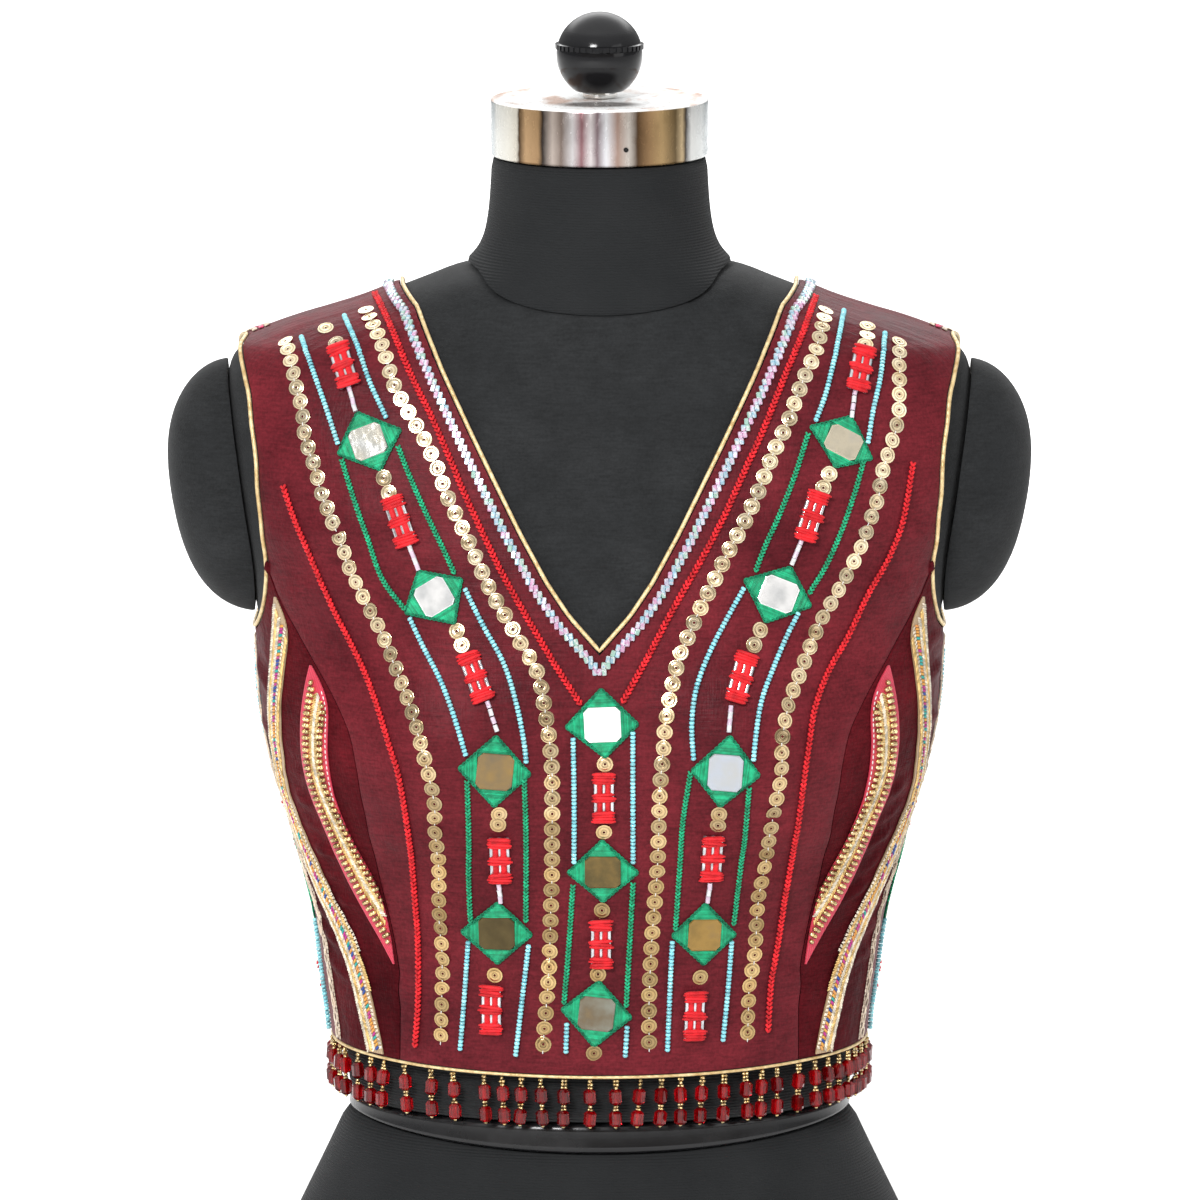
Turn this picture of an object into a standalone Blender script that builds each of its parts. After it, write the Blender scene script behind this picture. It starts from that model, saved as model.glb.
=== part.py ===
"""Choli blouse worn on a limbless dress form that stands on its own flat base.

The tables are in millimetres. Heights are measured up from the blouse's hem, and widths out from the centre
line. +X is the right-hand side as seen from the front, -Y is the front and +Z is up. The origin is the middle
of the form's base. An angle runs around the body from the centre front (0) past the +X side (90 degrees) to
the centre back (180 degrees). A lift is a distance out from the form's skin.
"""

import math
from collections import namedtuple

import bmesh
import bpy
from mathutils import Vector

# ---- Driving dimensions, in millimetres ----------------------------------------------------------------
MILLIMETRE = 0.001
HEM_HEIGHT = 180.0  # from the floor up to the hem
SIDE_LINE_SETBACK = 3.467  # from the side line back to the middle of the whole depth
HEM_RISE = 4.0  # how far the hem stands higher at the sides than at the centre front
SHOULDER_TIP = 337.0  # height where shoulder seam and armhole meet
NECK_POINT = 362.0  # height where shoulder seam and neckline meet
BACK_NECK_DROP = 86.0
BACK_NECK_HALF_WIDTH = 94.0
V_STRAIGHT_SHARE = 0.76  # the rest of the front neckline turns over the shoulder
ARMHOLE_CENTRE = 267.75
ARMHOLE_HALF_HEIGHT = 69.25
ARMHOLE_FRONT_DEPTH = 54.0
ARMHOLE_BACK_DEPTH = 52.0
ARMHOLE_FULLNESS = 2.2
PRINCESS_TOP = 238.0  # height where the princess seam runs into the armhole

CLOTH_THICKNESS = 1.2
SEAM_GAP = 0.4
TRIM_GAP = 0.45  # between the piping and the cloth's edge
TRIM_LIFT = 0.7  # from the cloth up to the ribbons and patches sewn on it
LACE_THICKNESS = 1.0
PATCH_THICKNESS = 1.4
PATCH_HALF_DIAGONAL = 16.8
PIPING_RADIUS = 1.2
PIPING_LIFT = 0.2  # how far the piping stands off the cloth's inner face
FRINGE_REACH = 28.0  # from the hem down to the tips
FRINGE_THICKNESS = 2.6
SIDE_LACE_WIDTH = 6.5

BAND_TOP = -25.5
BAND_SIDE_HEIGHT = 5.5
BAND_FRONT_DIP = 9.0
NECK_SEAM_SIDE = 374.0
NECK_SEAM_FRONT_DROP = 20.0
NECK_TOP = 423.6
BOARD_THICKNESS = 6.0
BOARD_INSET = 4.0
CAP_BOTTOM = 424.0
CAP_HEIGHT = 27.2
CAP_RADIUS = 51.5
CAP_EDGE = 1.2
STEM_RADIUS = 8.5
STEM_HEIGHT = 2.4
BALL_RADIUS = 20.5
BALL_FLAT_RADIUS = 11.5
RIB_REACH = 0.9
RIB_TURN = 12.0  # degrees above the ball's middle
RIB_CLEAR = 2.2  # half height that the rib takes out of the ball's profile
ARM_CENTRE = 266.5
ARM_HALF_HEIGHT = 61.0
ARM_HALF_DEPTH = 40.0
ARM_REACH = 29.5
ARM_GAP = 0.6  # between each arm cap and the torso's skin
ARM_LEAN = 0.6  # share of the torso's widest line in the dome's foot
ARM_LEAST_DEPTH = 0.5
ARM_DOME = 2.9  # fullness of the dome at mid height
ARM_DOME_CHANGE = 0.7  # less full at its top, fuller at its bottom

FORM_DIVISIONS = 36
HEM_DIVISIONS = 58
ARM_DIVISIONS = 24
CAP_DIVISIONS = 48
KNOB_DIVISIONS = 24
FORM_EASE = 0.45  # how far the form's facets lie inside its skin
BUST = {"across": 84.0, "height": 150.0, "half_width": 44.0, "half_height": 48.0, "reach": 16.0}

# ---- Tables --------------------------------------------------------------------------------------------
Section = namedtuple("Section", "height half_width front back squareness ease")
# One row for each section of the form. Ease is how far the cloth stands off the skin at that height.
SECTIONS = (
    # height, half_width, front, back, squareness, ease
    Section(-180.0, 172.0, 104.0, 122.0, 2.2, 7.0),
    Section(-130.0, 164.0, 100.0, 119.0, 2.2, 7.0),
    Section(-90.0, 148.5, 96.0, 111.0, 2.15, 7.0),
    Section(-60.0, 134.0, 92.0, 101.0, 2.1, 7.0),
    Section(-40.0, 123.5, 88.5, 92.0, 2.1, 7.0),
    Section(-27.0, 120.0, 87.0, 87.0, 2.1, 6.5),
    Section(0.0, 121.5, 88.0, 84.0, 2.1, 5.2),
    Section(33.0, 126.5, 90.0, 85.0, 2.1, 4.0),
    Section(60.0, 131.0, 93.0, 87.0, 2.1, 3.2),
    Section(92.0, 140.0, 98.0, 91.0, 2.1, 2.2),
    Section(115.0, 147.0, 102.0, 94.0, 2.1, 1.4),
    Section(133.0, 153.0, 104.5, 96.5, 2.1, 0.9),
    Section(167.0, 159.8, 105.5, 100.0, 2.1, 0.6),
    Section(195.0, 161.5, 103.0, 102.0, 2.12, 0.7),
    Section(232.0, 168.0, 98.0, 102.5, 2.4, 0.7),
    Section(252.0, 172.0, 94.0, 101.0, 2.65, 0.6),
    Section(277.0, 176.0, 88.0, 97.0, 2.8, 0.6),
    Section(301.0, 178.0, 80.5, 89.0, 2.8, 0.6),
    Section(320.0, 177.0, 73.0, 79.0, 2.6, 0.6),
    Section(328.0, 175.0, 69.5, 74.0, 2.45, 0.6),
    Section(334.0, 171.0, 66.5, 70.0, 2.3, 0.9),
    Section(339.0, 160.0, 64.0, 66.5, 2.2, 0.9),
    Section(344.5, 145.0, 62.0, 63.5, 2.1, 0.9),
    Section(349.0, 130.0, 60.5, 61.0, 2.05, 0.9),
    Section(355.0, 111.6, 58.5, 58.0, 2.0, 0.9),
    Section(360.0, 99.0, 57.5, 56.0, 2.0, 0.9),
    Section(365.0, 86.0, 56.5, 54.5, 2.0, 0.9),
    Section(369.0, 75.0, 55.5, 53.5, 2.0, 0.9),
    Section(373.0, 66.0, 54.5, 52.5, 2.0, 0.9),
    Section(379.0, 58.4, 53.5, 52.0, 2.0, 0.6),
    Section(389.0, 54.4, 52.5, 51.8, 2.0, 0.6),
    Section(403.0, 52.5, 51.6, 51.6, 2.0, 0.6),
    Section(426.0, 51.4, 51.4, 51.4, 2.0, 0.6),
)

NeckEdge = namedtuple("NeckEdge", "across height")
# The front neckline, from the bottom of the V up to the shoulder.
V_NECK = (
    # across, height
    NeckEdge(0.0, 201.0),
    NeckEdge(15.5, 218.5),
    NeckEdge(26.0, 234.0),
    NeckEdge(38.2, 256.0),
    NeckEdge(60.0, 299.0),
    NeckEdge(75.3, 330.0),
    NeckEdge(86.5, 355.0),
)

SideRow = namedtuple("SideRow", "height princess seam_angle")
# Across measure of the princess seam, and angle of the side seam.
SIDE_ROWS = (
    # height, princess, seam_angle
    SideRow(-30.0, 90.0, 74.0),
    SideRow(0.0, 90.5, 74.0),
    SideRow(45.0, 92.0, 75.0),
    SideRow(66.0, 95.5, 76.5),
    SideRow(90.0, 101.5, 79.5),
    SideRow(112.0, 106.5, 83.0),
    SideRow(130.0, 110.5, 85.5),
    SideRow(145.0, 112.8, 87.0),
    SideRow(160.0, 116.0, 88.0),
    SideRow(175.0, 123.0, 89.0),
    SideRow(193.0, 134.0, 89.8),
    SideRow(198.5, 137.2, 90.0),
    SideRow(220.0, 149.3, 90.0),
    SideRow(238.0, 157.0, 90.0),
)

LaceRow = namedtuple("LaceRow", "height outer inner")
# Across measures of the two edges of each ribbon, from the hem or the seam upwards.
BRIGHT_LACE = (
    # height, outer, inner
    LaceRow(3.5, 104.5, 97.5),
    LaceRow(23.0, 109.0, 101.5),
    LaceRow(38.0, 112.6, 105.2),
    LaceRow(53.0, 118.0, 110.8),
    LaceRow(67.0, 124.5, 117.0),
    LaceRow(80.0, 130.5, 123.5),
    LaceRow(96.0, 137.5, 131.0),
    LaceRow(110.0, 143.5, 137.0),
    LaceRow(124.0, 148.6, 142.6),
    LaceRow(146.0, 153.0, 147.2),
    LaceRow(162.0, 154.3, 148.6),
    LaceRow(180.0, 153.4, 147.0),
    LaceRow(198.0, 152.4, 145.0),
    LaceRow(208.0, 152.0, 144.2),
    LaceRow(216.0, 151.6, 147.9),
    LaceRow(221.0, 151.2, 150.4),
)
PINK_LACE = (
    # height, outer, inner
    LaceRow(49.0, 94.2, 93.6),
    LaceRow(56.0, 97.6, 94.6),
    LaceRow(66.0, 103.6, 96.3),
    LaceRow(79.0, 111.6, 99.4),
    LaceRow(89.0, 116.6, 102.3),
    LaceRow(96.0, 120.2, 107.0),
    LaceRow(109.0, 126.0, 114.6),
    LaceRow(123.0, 132.0, 120.6),
    LaceRow(138.0, 137.6, 124.6),
    LaceRow(154.0, 139.0, 126.0),
    LaceRow(168.0, 138.4, 125.4),
    LaceRow(175.0, 137.6, 124.4),
    LaceRow(183.0, 136.2, 129.2),
    LaceRow(190.0, 134.4, 133.6),
)

Patch = namedtuple("Patch", "name across height turn")
BackPatch = namedtuple("BackPatch", "name angle height turn")
# Mirror patches: centre, and turn anticlockwise in degrees as seen from outside.
FRONT_PATCHES = (
    # name, across, height, turn
    Patch("left_1", -107.3, 298.0, 22.0),
    Patch("left_2", -76.6, 228.0, 33.0),
    Patch("left_3", -48.9, 148.0, 0.0),
    Patch("left_4", -47.2, 69.5, 0.0),
    Patch("centre_1", 0.5, 169.5, 3.0),
    Patch("centre_2", 1.5, 100.0, 0.0),
    Patch("centre_3", -1.5, 30.5, -5.0),
    Patch("right_1", 112.7, 297.5, -22.0),
    Patch("right_2", 82.6, 229.0, -23.0),
    Patch("right_3", 59.0, 148.0, -6.0),
    Patch("right_4", 48.1, 69.0, -1.0),
)
BACK_PATCHES = (
    # name, angle, height, turn
    BackPatch("1", 147.0, 292.0, -18.0),
    BackPatch("2", 150.0, 222.0, -12.0),
    BackPatch("3", 157.5, 142.0, -4.0),
    BackPatch("4", 157.0, 62.0, 0.0),
    BackPatch("5", 101.0, 142.0, 0.0),
    BackPatch("6", 99.0, 62.0, 0.0),
)

Finish = namedtuple("Finish", "colour roughness metallic")
FINISHES = {
    "form_knit": Finish((0.012, 0.013, 0.015), 0.85, 0.0),
    "form_band": Finish((0.010, 0.010, 0.012), 0.30, 0.0),
    "form_board": Finish((0.020, 0.018, 0.016), 0.60, 0.0),
    "chrome": Finish((0.86, 0.85, 0.83), 0.12, 1.0),
    "black_plastic": Finish((0.010, 0.010, 0.011), 0.18, 0.0),
    "maroon_cloth": Finish((0.115, 0.012, 0.022), 0.48, 0.0),
    "tan_piping": Finish((0.45, 0.27, 0.12), 0.50, 0.1),
    "bright_braid": Finish((0.62, 0.42, 0.28), 0.50, 0.2),
    "pink_gold_braid": Finish((0.66, 0.26, 0.20), 0.45, 0.3),
    "cream_lace": Finish((0.66, 0.50, 0.36), 0.60, 0.0),
    "green_mirror": Finish((0.010, 0.30, 0.16), 0.35, 0.0),
    "red_beads": Finish((0.36, 0.010, 0.016), 0.15, 0.0),
}

Place = namedtuple("Place", "angle height")

# The rib round the knob: reach out from the ball's radius, and rise above the rib's height.
RIB_PROFILE = (
    # reach, rise
    (0.0, -1.3),
    (RIB_REACH, -1.1),
    (RIB_REACH, 0.9),
    (-0.9, 1.6),
)


# ---- The body's skin -----------------------------------------------------------------------------------
def interpolate(rows, column, height):
    """Read a table's column at a height, on a smooth curve that never overshoots its rows."""
    heights = [row.height for row in rows]
    values = [getattr(row, column) for row in rows]
    height = min(max(height, heights[0]), heights[-1])
    step = 0
    while step < len(rows) - 2 and height > heights[step + 1]:
        step += 1
    slopes = [
        (values[i + 1] - values[i]) / (heights[i + 1] - heights[i]) for i in range(len(rows) - 1)
    ]

    def tangent(index):
        if index == 0 or index == len(rows) - 1:
            return slopes[min(index, len(slopes) - 1)]
        before, after = slopes[index - 1], slopes[index]
        if before * after <= 0:
            return 0.0
        return 2 * before * after / (before + after)

    span = heights[step + 1] - heights[step]
    t = (height - heights[step]) / span
    return (
        (2 * t**3 - 3 * t**2 + 1) * values[step]
        + (t**3 - 2 * t**2 + t) * span * tangent(step)
        + (3 * t**2 - 2 * t**3) * values[step + 1]
        + (t**3 - t**2) * span * tangent(step + 1)
    )


def section(height):
    """Half width, front depth, back depth and squareness of the form at a height."""
    return [interpolate(SECTIONS, name, height) for name in Section._fields[1:5]]


def bare_skin(angle, height):
    """Point of the form's skin, with the crown of the bust added to the front."""
    half_width, front, back, squareness = section(height)
    sine, cosine = math.sin(angle), math.cos(angle)
    reach = (abs(sine) ** squareness + abs(cosine) ** squareness) ** (-1 / squareness)
    x = half_width * sine * reach
    y = -(front if cosine > 0 else back) * cosine * reach
    if cosine > 0:
        across = (abs(x) - BUST["across"]) / BUST["half_width"]
        up = (height - BUST["height"]) / BUST["half_height"]
        y -= BUST["reach"] * math.exp(-(across**2) - up**2) * min(1.0, 3 * cosine)
    return Vector((x, y, height))


def skin_normal(angle, height):
    """Direction straight out of the skin."""
    turn, rise = 0.001, 0.5
    around = bare_skin(angle + turn, height) - bare_skin(angle - turn, height)
    upwards = bare_skin(angle, height + rise) - bare_skin(angle, height - rise)
    return around.cross(upwards).normalized()


def skin(place, lift=0.0):
    """Point at a lift off the form's skin."""
    return bare_skin(place.angle, place.height) + skin_normal(place.angle, place.height) * lift


def place_across(across, height, at_back=False):
    """Place on the front or back that lies this far from the centre line."""
    half_width, _, _, squareness = section(height)
    share = min(abs(across) / half_width, 1.0)
    angle = math.atan2(share, (1 - share**squareness) ** (1 / squareness))
    if at_back:
        angle = math.pi - angle
    return Place(math.copysign(angle, across), height)


def place_along(depth, height):
    """Place on the +X side that lies this far in front of (minus) or behind the side line."""
    _, front, back, squareness = section(height)
    share = min(abs(depth) / (front if depth < 0 else back), 1.0)
    angle = math.atan2((1 - share**squareness) ** (1 / squareness), share)
    return Place(angle if depth < 0 else math.pi - angle, height)


def cloth_inside(height):
    """Lift of the cloth's inner face."""
    return interpolate(SECTIONS, "ease", height)


def cloth_outside(height):
    """Lift of the cloth's outer face."""
    return cloth_inside(height) + CLOTH_THICKNESS


# ---- Edges of the panels, all on the +X side -----------------------------------------------------------
def shares(count):
    """Evenly spaced numbers from 0 to 1, with count steps."""
    return [step / count for step in range(count + 1)]


def blend(low, high, share):
    """Number between two others."""
    return low + (high - low) * share


def hem_height(angle):
    """Height of the hem, which dips a little at the centre front and back."""
    return HEM_RISE * math.sin(angle) ** 2


def princess_place(height, shift=0.0):
    """Place on the princess seam, moved sideways by shift."""
    return place_across(interpolate(SIDE_ROWS, "princess", height) + shift, height)


def side_seam_place(height, shift=0.0):
    """Place on the side seam, moved back by shift."""
    angle = math.radians(interpolate(SIDE_ROWS, "seam_angle", height))
    return Place(angle + shift / section(height)[1], height)


def armhole_place(turn):
    """Place on the armhole's edge: turn is 0 at its bottom, 1 at the shoulder tip, minus along the front."""
    swing = math.pi * (abs(turn) - 0.5)
    up = math.copysign(abs(math.sin(swing)) ** (2 / ARMHOLE_FULLNESS), math.sin(swing))
    depth = math.cos(swing) ** (2 / ARMHOLE_FULLNESS)
    depth *= -ARMHOLE_FRONT_DEPTH if turn < 0 else ARMHOLE_BACK_DEPTH
    return place_along(depth, ARMHOLE_CENTRE + ARMHOLE_HALF_HEIGHT * up)


def princess_turn():
    """The armhole's turn at which its front edge reaches the top of the princess seam."""
    low, high = 0.0, 0.5
    for _ in range(40):
        middle = (low + high) / 2
        if armhole_place(-middle).height < PRINCESS_TOP:
            low = middle
        else:
            high = middle
    return low


def v_neck_place(share):
    """Place on the front neckline: share is 0 at the bottom of the V and 1 at the shoulder seam."""
    lengths = [0.0]
    for before, after in zip(V_NECK, V_NECK[1:]):
        step = math.hypot(after.across - before.across, after.height - before.height)
        lengths.append(lengths[-1] + step)
    if share > V_STRAIGHT_SHARE:
        last = place_across(V_NECK[-1].across, V_NECK[-1].height)
        rest = (share - V_STRAIGHT_SHARE) / (1 - V_STRAIGHT_SHARE)
        angle = blend(last.angle, math.pi / 2, rest)
        return Place(angle, blend(last.height, NECK_POINT, rest**1.3))
    wanted = lengths[-1] * share / V_STRAIGHT_SHARE
    step = 0
    while step < len(V_NECK) - 2 and wanted > lengths[step + 1]:
        step += 1
    part = (wanted - lengths[step]) / (lengths[step + 1] - lengths[step])
    before, after = V_NECK[step], V_NECK[step + 1]
    across = blend(before.across, after.across, part)
    return place_across(across, blend(before.height, after.height, part))


def back_neck_place(share):
    """Place on the back neckline: share is 0 at the centre back and 1 at the shoulder seam."""
    swing = (1 - (1 - share) ** 1.5) * math.pi / 2
    height = NECK_POINT - BACK_NECK_DROP * math.cos(swing)
    across = BACK_NECK_HALF_WIDTH * math.sin(swing)
    if share >= 1.0:
        return Place(math.pi / 2, NECK_POINT)
    return place_across(max(across, 0.001), height, at_back=True)


# ---- Meshes --------------------------------------------------------------------------------------------
def world(point):
    """Turn a point in millimetres above the hem into metres above the floor."""
    return Vector((point.x, point.y - SIDE_LINE_SETBACK, point.z + HEM_HEIGHT)) * MILLIMETRE


def material(name):
    """Get a finish's material, making it the first time."""
    found = bpy.data.materials.get(name)
    if found:
        return found
    finish = FINISHES[name]
    made = bpy.data.materials.new(name)
    made.use_nodes = True
    shader = made.node_tree.nodes["Principled BSDF"]
    shader.inputs["Base Color"].default_value = (*finish.colour, 1.0)
    shader.inputs["Roughness"].default_value = finish.roughness
    shader.inputs["Metallic"].default_value = finish.metallic
    return made


def add_object(name, built, finish):
    """Turn a bmesh into a named, smoothly shaded object."""
    mesh = bpy.data.meshes.new(name)
    built.to_mesh(mesh)
    built.free()
    mesh.shade_smooth()
    mesh.set_sharp_from_angle(angle=math.radians(40))
    mesh.materials.append(material(finish))
    made = bpy.data.objects.new(name, mesh)
    bpy.context.collection.objects.link(made)
    return made


def plate(name, cells, low, high, finish):
    """Closed plate over cells of places, between the points that low and high give for each place.

    A cell's corners run anticlockwise as seen from outside. Cells that share corners are joined, and
    a rim closes every edge that only one cell has.
    """
    built = bmesh.new()
    corners = {}

    def corner(place):
        key = (round(place.angle % math.tau, 6), round(place.height, 4))
        if key not in corners:
            corners[key] = (built.verts.new(world(low(place))), built.verts.new(world(high(place))))
        return key

    rim = set()
    for cell in cells:
        keys = list(dict.fromkeys(corner(place) for place in cell))
        if len(keys) < 3:
            continue
        built.faces.new([corners[key][1] for key in keys])
        built.faces.new([corners[key][0] for key in reversed(keys)])
        for start, end in zip(keys, keys[1:] + keys[:1]):
            if (end, start) in rim:
                rim.remove((end, start))
            else:
                rim.add((start, end))
    for start, end in sorted(rim):
        built.faces.new((corners[end][1], corners[start][1], corners[start][0], corners[end][0]))
    return add_object(name, built, finish)


def lifted(distance):
    """Make a function that lifts a place by a fixed distance above the cloth's outer face."""
    return lambda place: skin(place, cloth_outside(place.height) + distance)


def cloth_low(place):
    """Point on the cloth's inner face."""
    return skin(place, cloth_inside(place.height))


def cloth_high(place):
    """Point on the cloth's outer face."""
    return skin(place, cloth_outside(place.height))


def cells_between(first_edge, second_edge, columns, foot=None):
    """Cells between two edges with as many rows each; the second edge has the larger angle.

    A foot function gives the lowest row's height at each angle.
    """
    rows = []
    for first, second in zip(first_edge, second_edge):
        row = [
            Place(blend(first.angle, second.angle, share), blend(first.height, second.height, share))
            for share in shares(columns)
        ]
        rows.append(row)
    if foot:
        rows[0] = [Place(place.angle, foot(place.angle)) for place in rows[0]]
    cells = []
    for below, above in zip(rows, rows[1:]):
        for column in range(columns):
            cells.append((below[column], below[column + 1], above[column + 1], above[column]))
    return cells


def mirrored(cells):
    """The same cells on the -X side."""
    return [tuple(Place(-place.angle, place.height) for place in reversed(cell)) for cell in cells]


def stack(name, loops, finish):
    """Closed solid through loops of points, from the lowest up, with a fan of faces on each end."""
    built = bmesh.new()
    rings = [[built.verts.new(world(point)) for point in loop] for loop in loops]
    count = len(loops[0])
    for below, above in zip(rings, rings[1:]):
        for i in range(count):
            j = (i + 1) % count
            built.faces.new((below[i], below[j], above[j], above[i]))
    for loop, ring, top in ((loops[0], rings[0], False), (loops[-1], rings[-1], True)):
        middle = built.verts.new(world(sum(loop, Vector()) / count))
        for i in range(count):
            j = (i + 1) % count
            face = (ring[i], ring[j], middle) if top else (ring[j], ring[i], middle)
            built.faces.new(face)
    return add_object(name, built, finish)


def tube(name, points, finish):
    """Closed loop of piping through points in millimetres."""
    curve = bpy.data.curves.new(name, "CURVE")
    curve.dimensions = "3D"
    curve.bevel_depth = PIPING_RADIUS * MILLIMETRE
    curve.bevel_resolution = 1
    spline = curve.splines.new("POLY")
    spline.points.add(len(points) - 1)
    for knot, point in zip(spline.points, points):
        knot.co = (*world(point), 1.0)
    spline.use_cyclic_u = True
    curve.materials.append(material(finish))
    made = bpy.data.objects.new(name, curve)
    bpy.context.collection.objects.link(made)
    return made


def beside_edge(places, lift, clearance):
    """Loop of points that keeps a clearance to the left of a closed edge, seen from outside."""
    edge = [skin(place, lift) for place in places]
    normals = [skin_normal(place.angle, place.height) for place in places]
    points = []
    for i, point in enumerate(edge):
        behind = (point - edge[i - 1]).normalized()
        ahead = (edge[(i + 1) % len(edge)] - point).normalized()
        left_behind = normals[i].cross(behind).normalized()
        left_ahead = normals[i].cross(ahead).normalized()
        mitre = (left_behind + left_ahead) / (1 + left_behind.dot(left_ahead))
        points.append(point + mitre * clearance)
    return points


def ring_places(count, height_at):
    """Places all round the body, at the height that a function gives for each angle."""
    angles = [math.tau * i / count for i in range(count)]
    return [Place(angle, height_at(angle)) for angle in angles]


# ---- The blouse ----------------------------------------------------------------------------------------
CENTRE_ROWS = 12
UPPER_ROWS = 14
LOW_SIDE_ROWS = 11
FRONT_COLUMNS = 9
SIDE_COLUMNS = 8
BACK_COLUMNS = 12
BACK_CENTRE_ROWS = 15
ARMHOLE_ROWS = 11
BACK_NECK_ROWS = 11
BACK_ARMHOLE_ROWS = BACK_CENTRE_ROWS + BACK_NECK_ROWS - LOW_SIDE_ROWS
LOW_ARMHOLE_ROWS = CENTRE_ROWS + UPPER_ROWS - ARMHOLE_ROWS - LOW_SIDE_ROWS


def princess_heights():
    """Heights of the rows along the princess seam."""
    rows = CENTRE_ROWS + UPPER_ROWS - ARMHOLE_ROWS
    foot = hem_height(princess_place(HEM_RISE).angle)
    return [blend(foot, PRINCESS_TOP, share) for share in shares(rows)]


def front_armhole():
    """Places along the armhole's front edge, from the princess seam up to the shoulder."""
    start = princess_turn()
    return [armhole_place(-blend(start, 1.0, share)) for share in shares(ARMHOLE_ROWS)]


def low_armhole():
    """Places along the armhole's front edge, from its bottom up to the princess seam."""
    return [armhole_place(-princess_turn() * share) for share in shares(LOW_ARMHOLE_ROWS)]


def back_armhole():
    """Places along the armhole's back edge, from its bottom up to the shoulder."""
    return [armhole_place(share) for share in shares(BACK_ARMHOLE_ROWS)]


def add_front_panel():
    """Centre front: one piece from princess seam to princess seam, with the V neck."""
    middle = [Place(0.0, V_NECK[0].height * share) for share in shares(CENTRE_ROWS)]
    middle += [v_neck_place(share) for share in shares(UPPER_ROWS)[1:]]
    middle[-1] = Place(middle[-1].angle - SEAM_GAP / 2 / section(NECK_POINT)[1], NECK_POINT)
    armhole = front_armhole()
    outer = [princess_place(height, -SEAM_GAP / 2) for height in princess_heights()[:-1]]
    outer.append(Place(armhole[0].angle - SEAM_GAP / 2 / ARMHOLE_FRONT_DEPTH, PRINCESS_TOP))
    outer += armhole[1:]
    outer[-1] = Place(math.pi / 2 - SEAM_GAP / 2 / section(SHOULDER_TIP)[1], SHOULDER_TIP)
    cells = cells_between(middle, outer, FRONT_COLUMNS, hem_height)
    plate("front_panel", cells + mirrored(cells), cloth_low, cloth_high, "maroon_cloth")


def add_side_fronts():
    """Side fronts: from the princess seam round to the side seam, under the armhole."""
    heights = princess_heights()
    inner = [princess_place(height, SEAM_GAP / 2) for height in heights]
    bottom = armhole_place(0.0).height
    foot = hem_height(side_seam_place(HEM_RISE).angle)
    outer = [
        side_seam_place(blend(foot, bottom, share), -SEAM_GAP / 2) for share in shares(LOW_SIDE_ROWS)
    ]
    armhole = low_armhole()
    outer += armhole[1:]
    inner[-1] = outer[-1]
    cells = cells_between(inner, outer, SIDE_COLUMNS, hem_height)
    plate("side_front_right", cells, cloth_low, cloth_high, "maroon_cloth")
    plate("side_front_left", mirrored(cells), cloth_low, cloth_high, "maroon_cloth")


def add_back_panels():
    """Two backs that meet edge to edge down the centre, where hidden hooks close the blouse."""
    bottom = armhole_place(0.0).height
    foot = hem_height(side_seam_place(HEM_RISE).angle)
    outer = [
        side_seam_place(blend(foot, bottom, share), SEAM_GAP / 2) for share in shares(LOW_SIDE_ROWS)
    ]
    outer += back_armhole()[1:]
    outer[-1] = Place(math.pi / 2 + SEAM_GAP / 2 / section(SHOULDER_TIP)[2], SHOULDER_TIP)
    gap_angle = SEAM_GAP / 2 / BACK_NECK_HALF_WIDTH
    neck_bottom = back_neck_place(0.0).height
    inner = [
        Place(math.pi - gap_angle, neck_bottom * share) for share in shares(BACK_CENTRE_ROWS)
    ]
    inner += [back_neck_place(share) for share in shares(BACK_NECK_ROWS)[1:]]
    inner[-1] = Place(math.pi / 2 + SEAM_GAP / 2 / section(NECK_POINT)[2], NECK_POINT)
    cells = cells_between(outer, inner, BACK_COLUMNS, hem_height)
    plate("back_panel_right", cells, cloth_low, cloth_high, "maroon_cloth")
    plate("back_panel_left", mirrored(cells), cloth_low, cloth_high, "maroon_cloth")


def add_piping():
    """Corded piping round the neckline, the armholes and the hem."""
    lift = cloth_inside(NECK_POINT) + PIPING_RADIUS + PIPING_LIFT
    clearance = PIPING_RADIUS + TRIM_GAP
    front = [v_neck_place(share) for share in shares(UPPER_ROWS)]
    back = [back_neck_place(share) for share in shares(BACK_NECK_ROWS)]
    right = front + back[-2:0:-1]
    left = [Place(-place.angle, place.height) for place in right[:0:-1]]
    loop = right + [Place(math.pi, back[0].height)] + left
    tube("neck_piping", beside_edge(loop, lift, clearance), "tan_piping")

    armhole = front_armhole()[::-1] + low_armhole()[-2:0:-1] + back_armhole()[:-1]
    points = beside_edge(armhole, lift, clearance)
    tube("armhole_piping_right", points, "tan_piping")
    flipped = [Vector((-point.x, point.y, point.z)) for point in reversed(points)]
    tube("armhole_piping_left", flipped, "tan_piping")

    hem = ring_places(HEM_DIVISIONS, hem_height)
    below = Vector((0.0, 0.0, -clearance))
    points = [skin(place, cloth_inside(0.0) + CLOTH_THICKNESS / 2) + below for place in hem]
    tube("hem_piping", points, "tan_piping")


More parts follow.
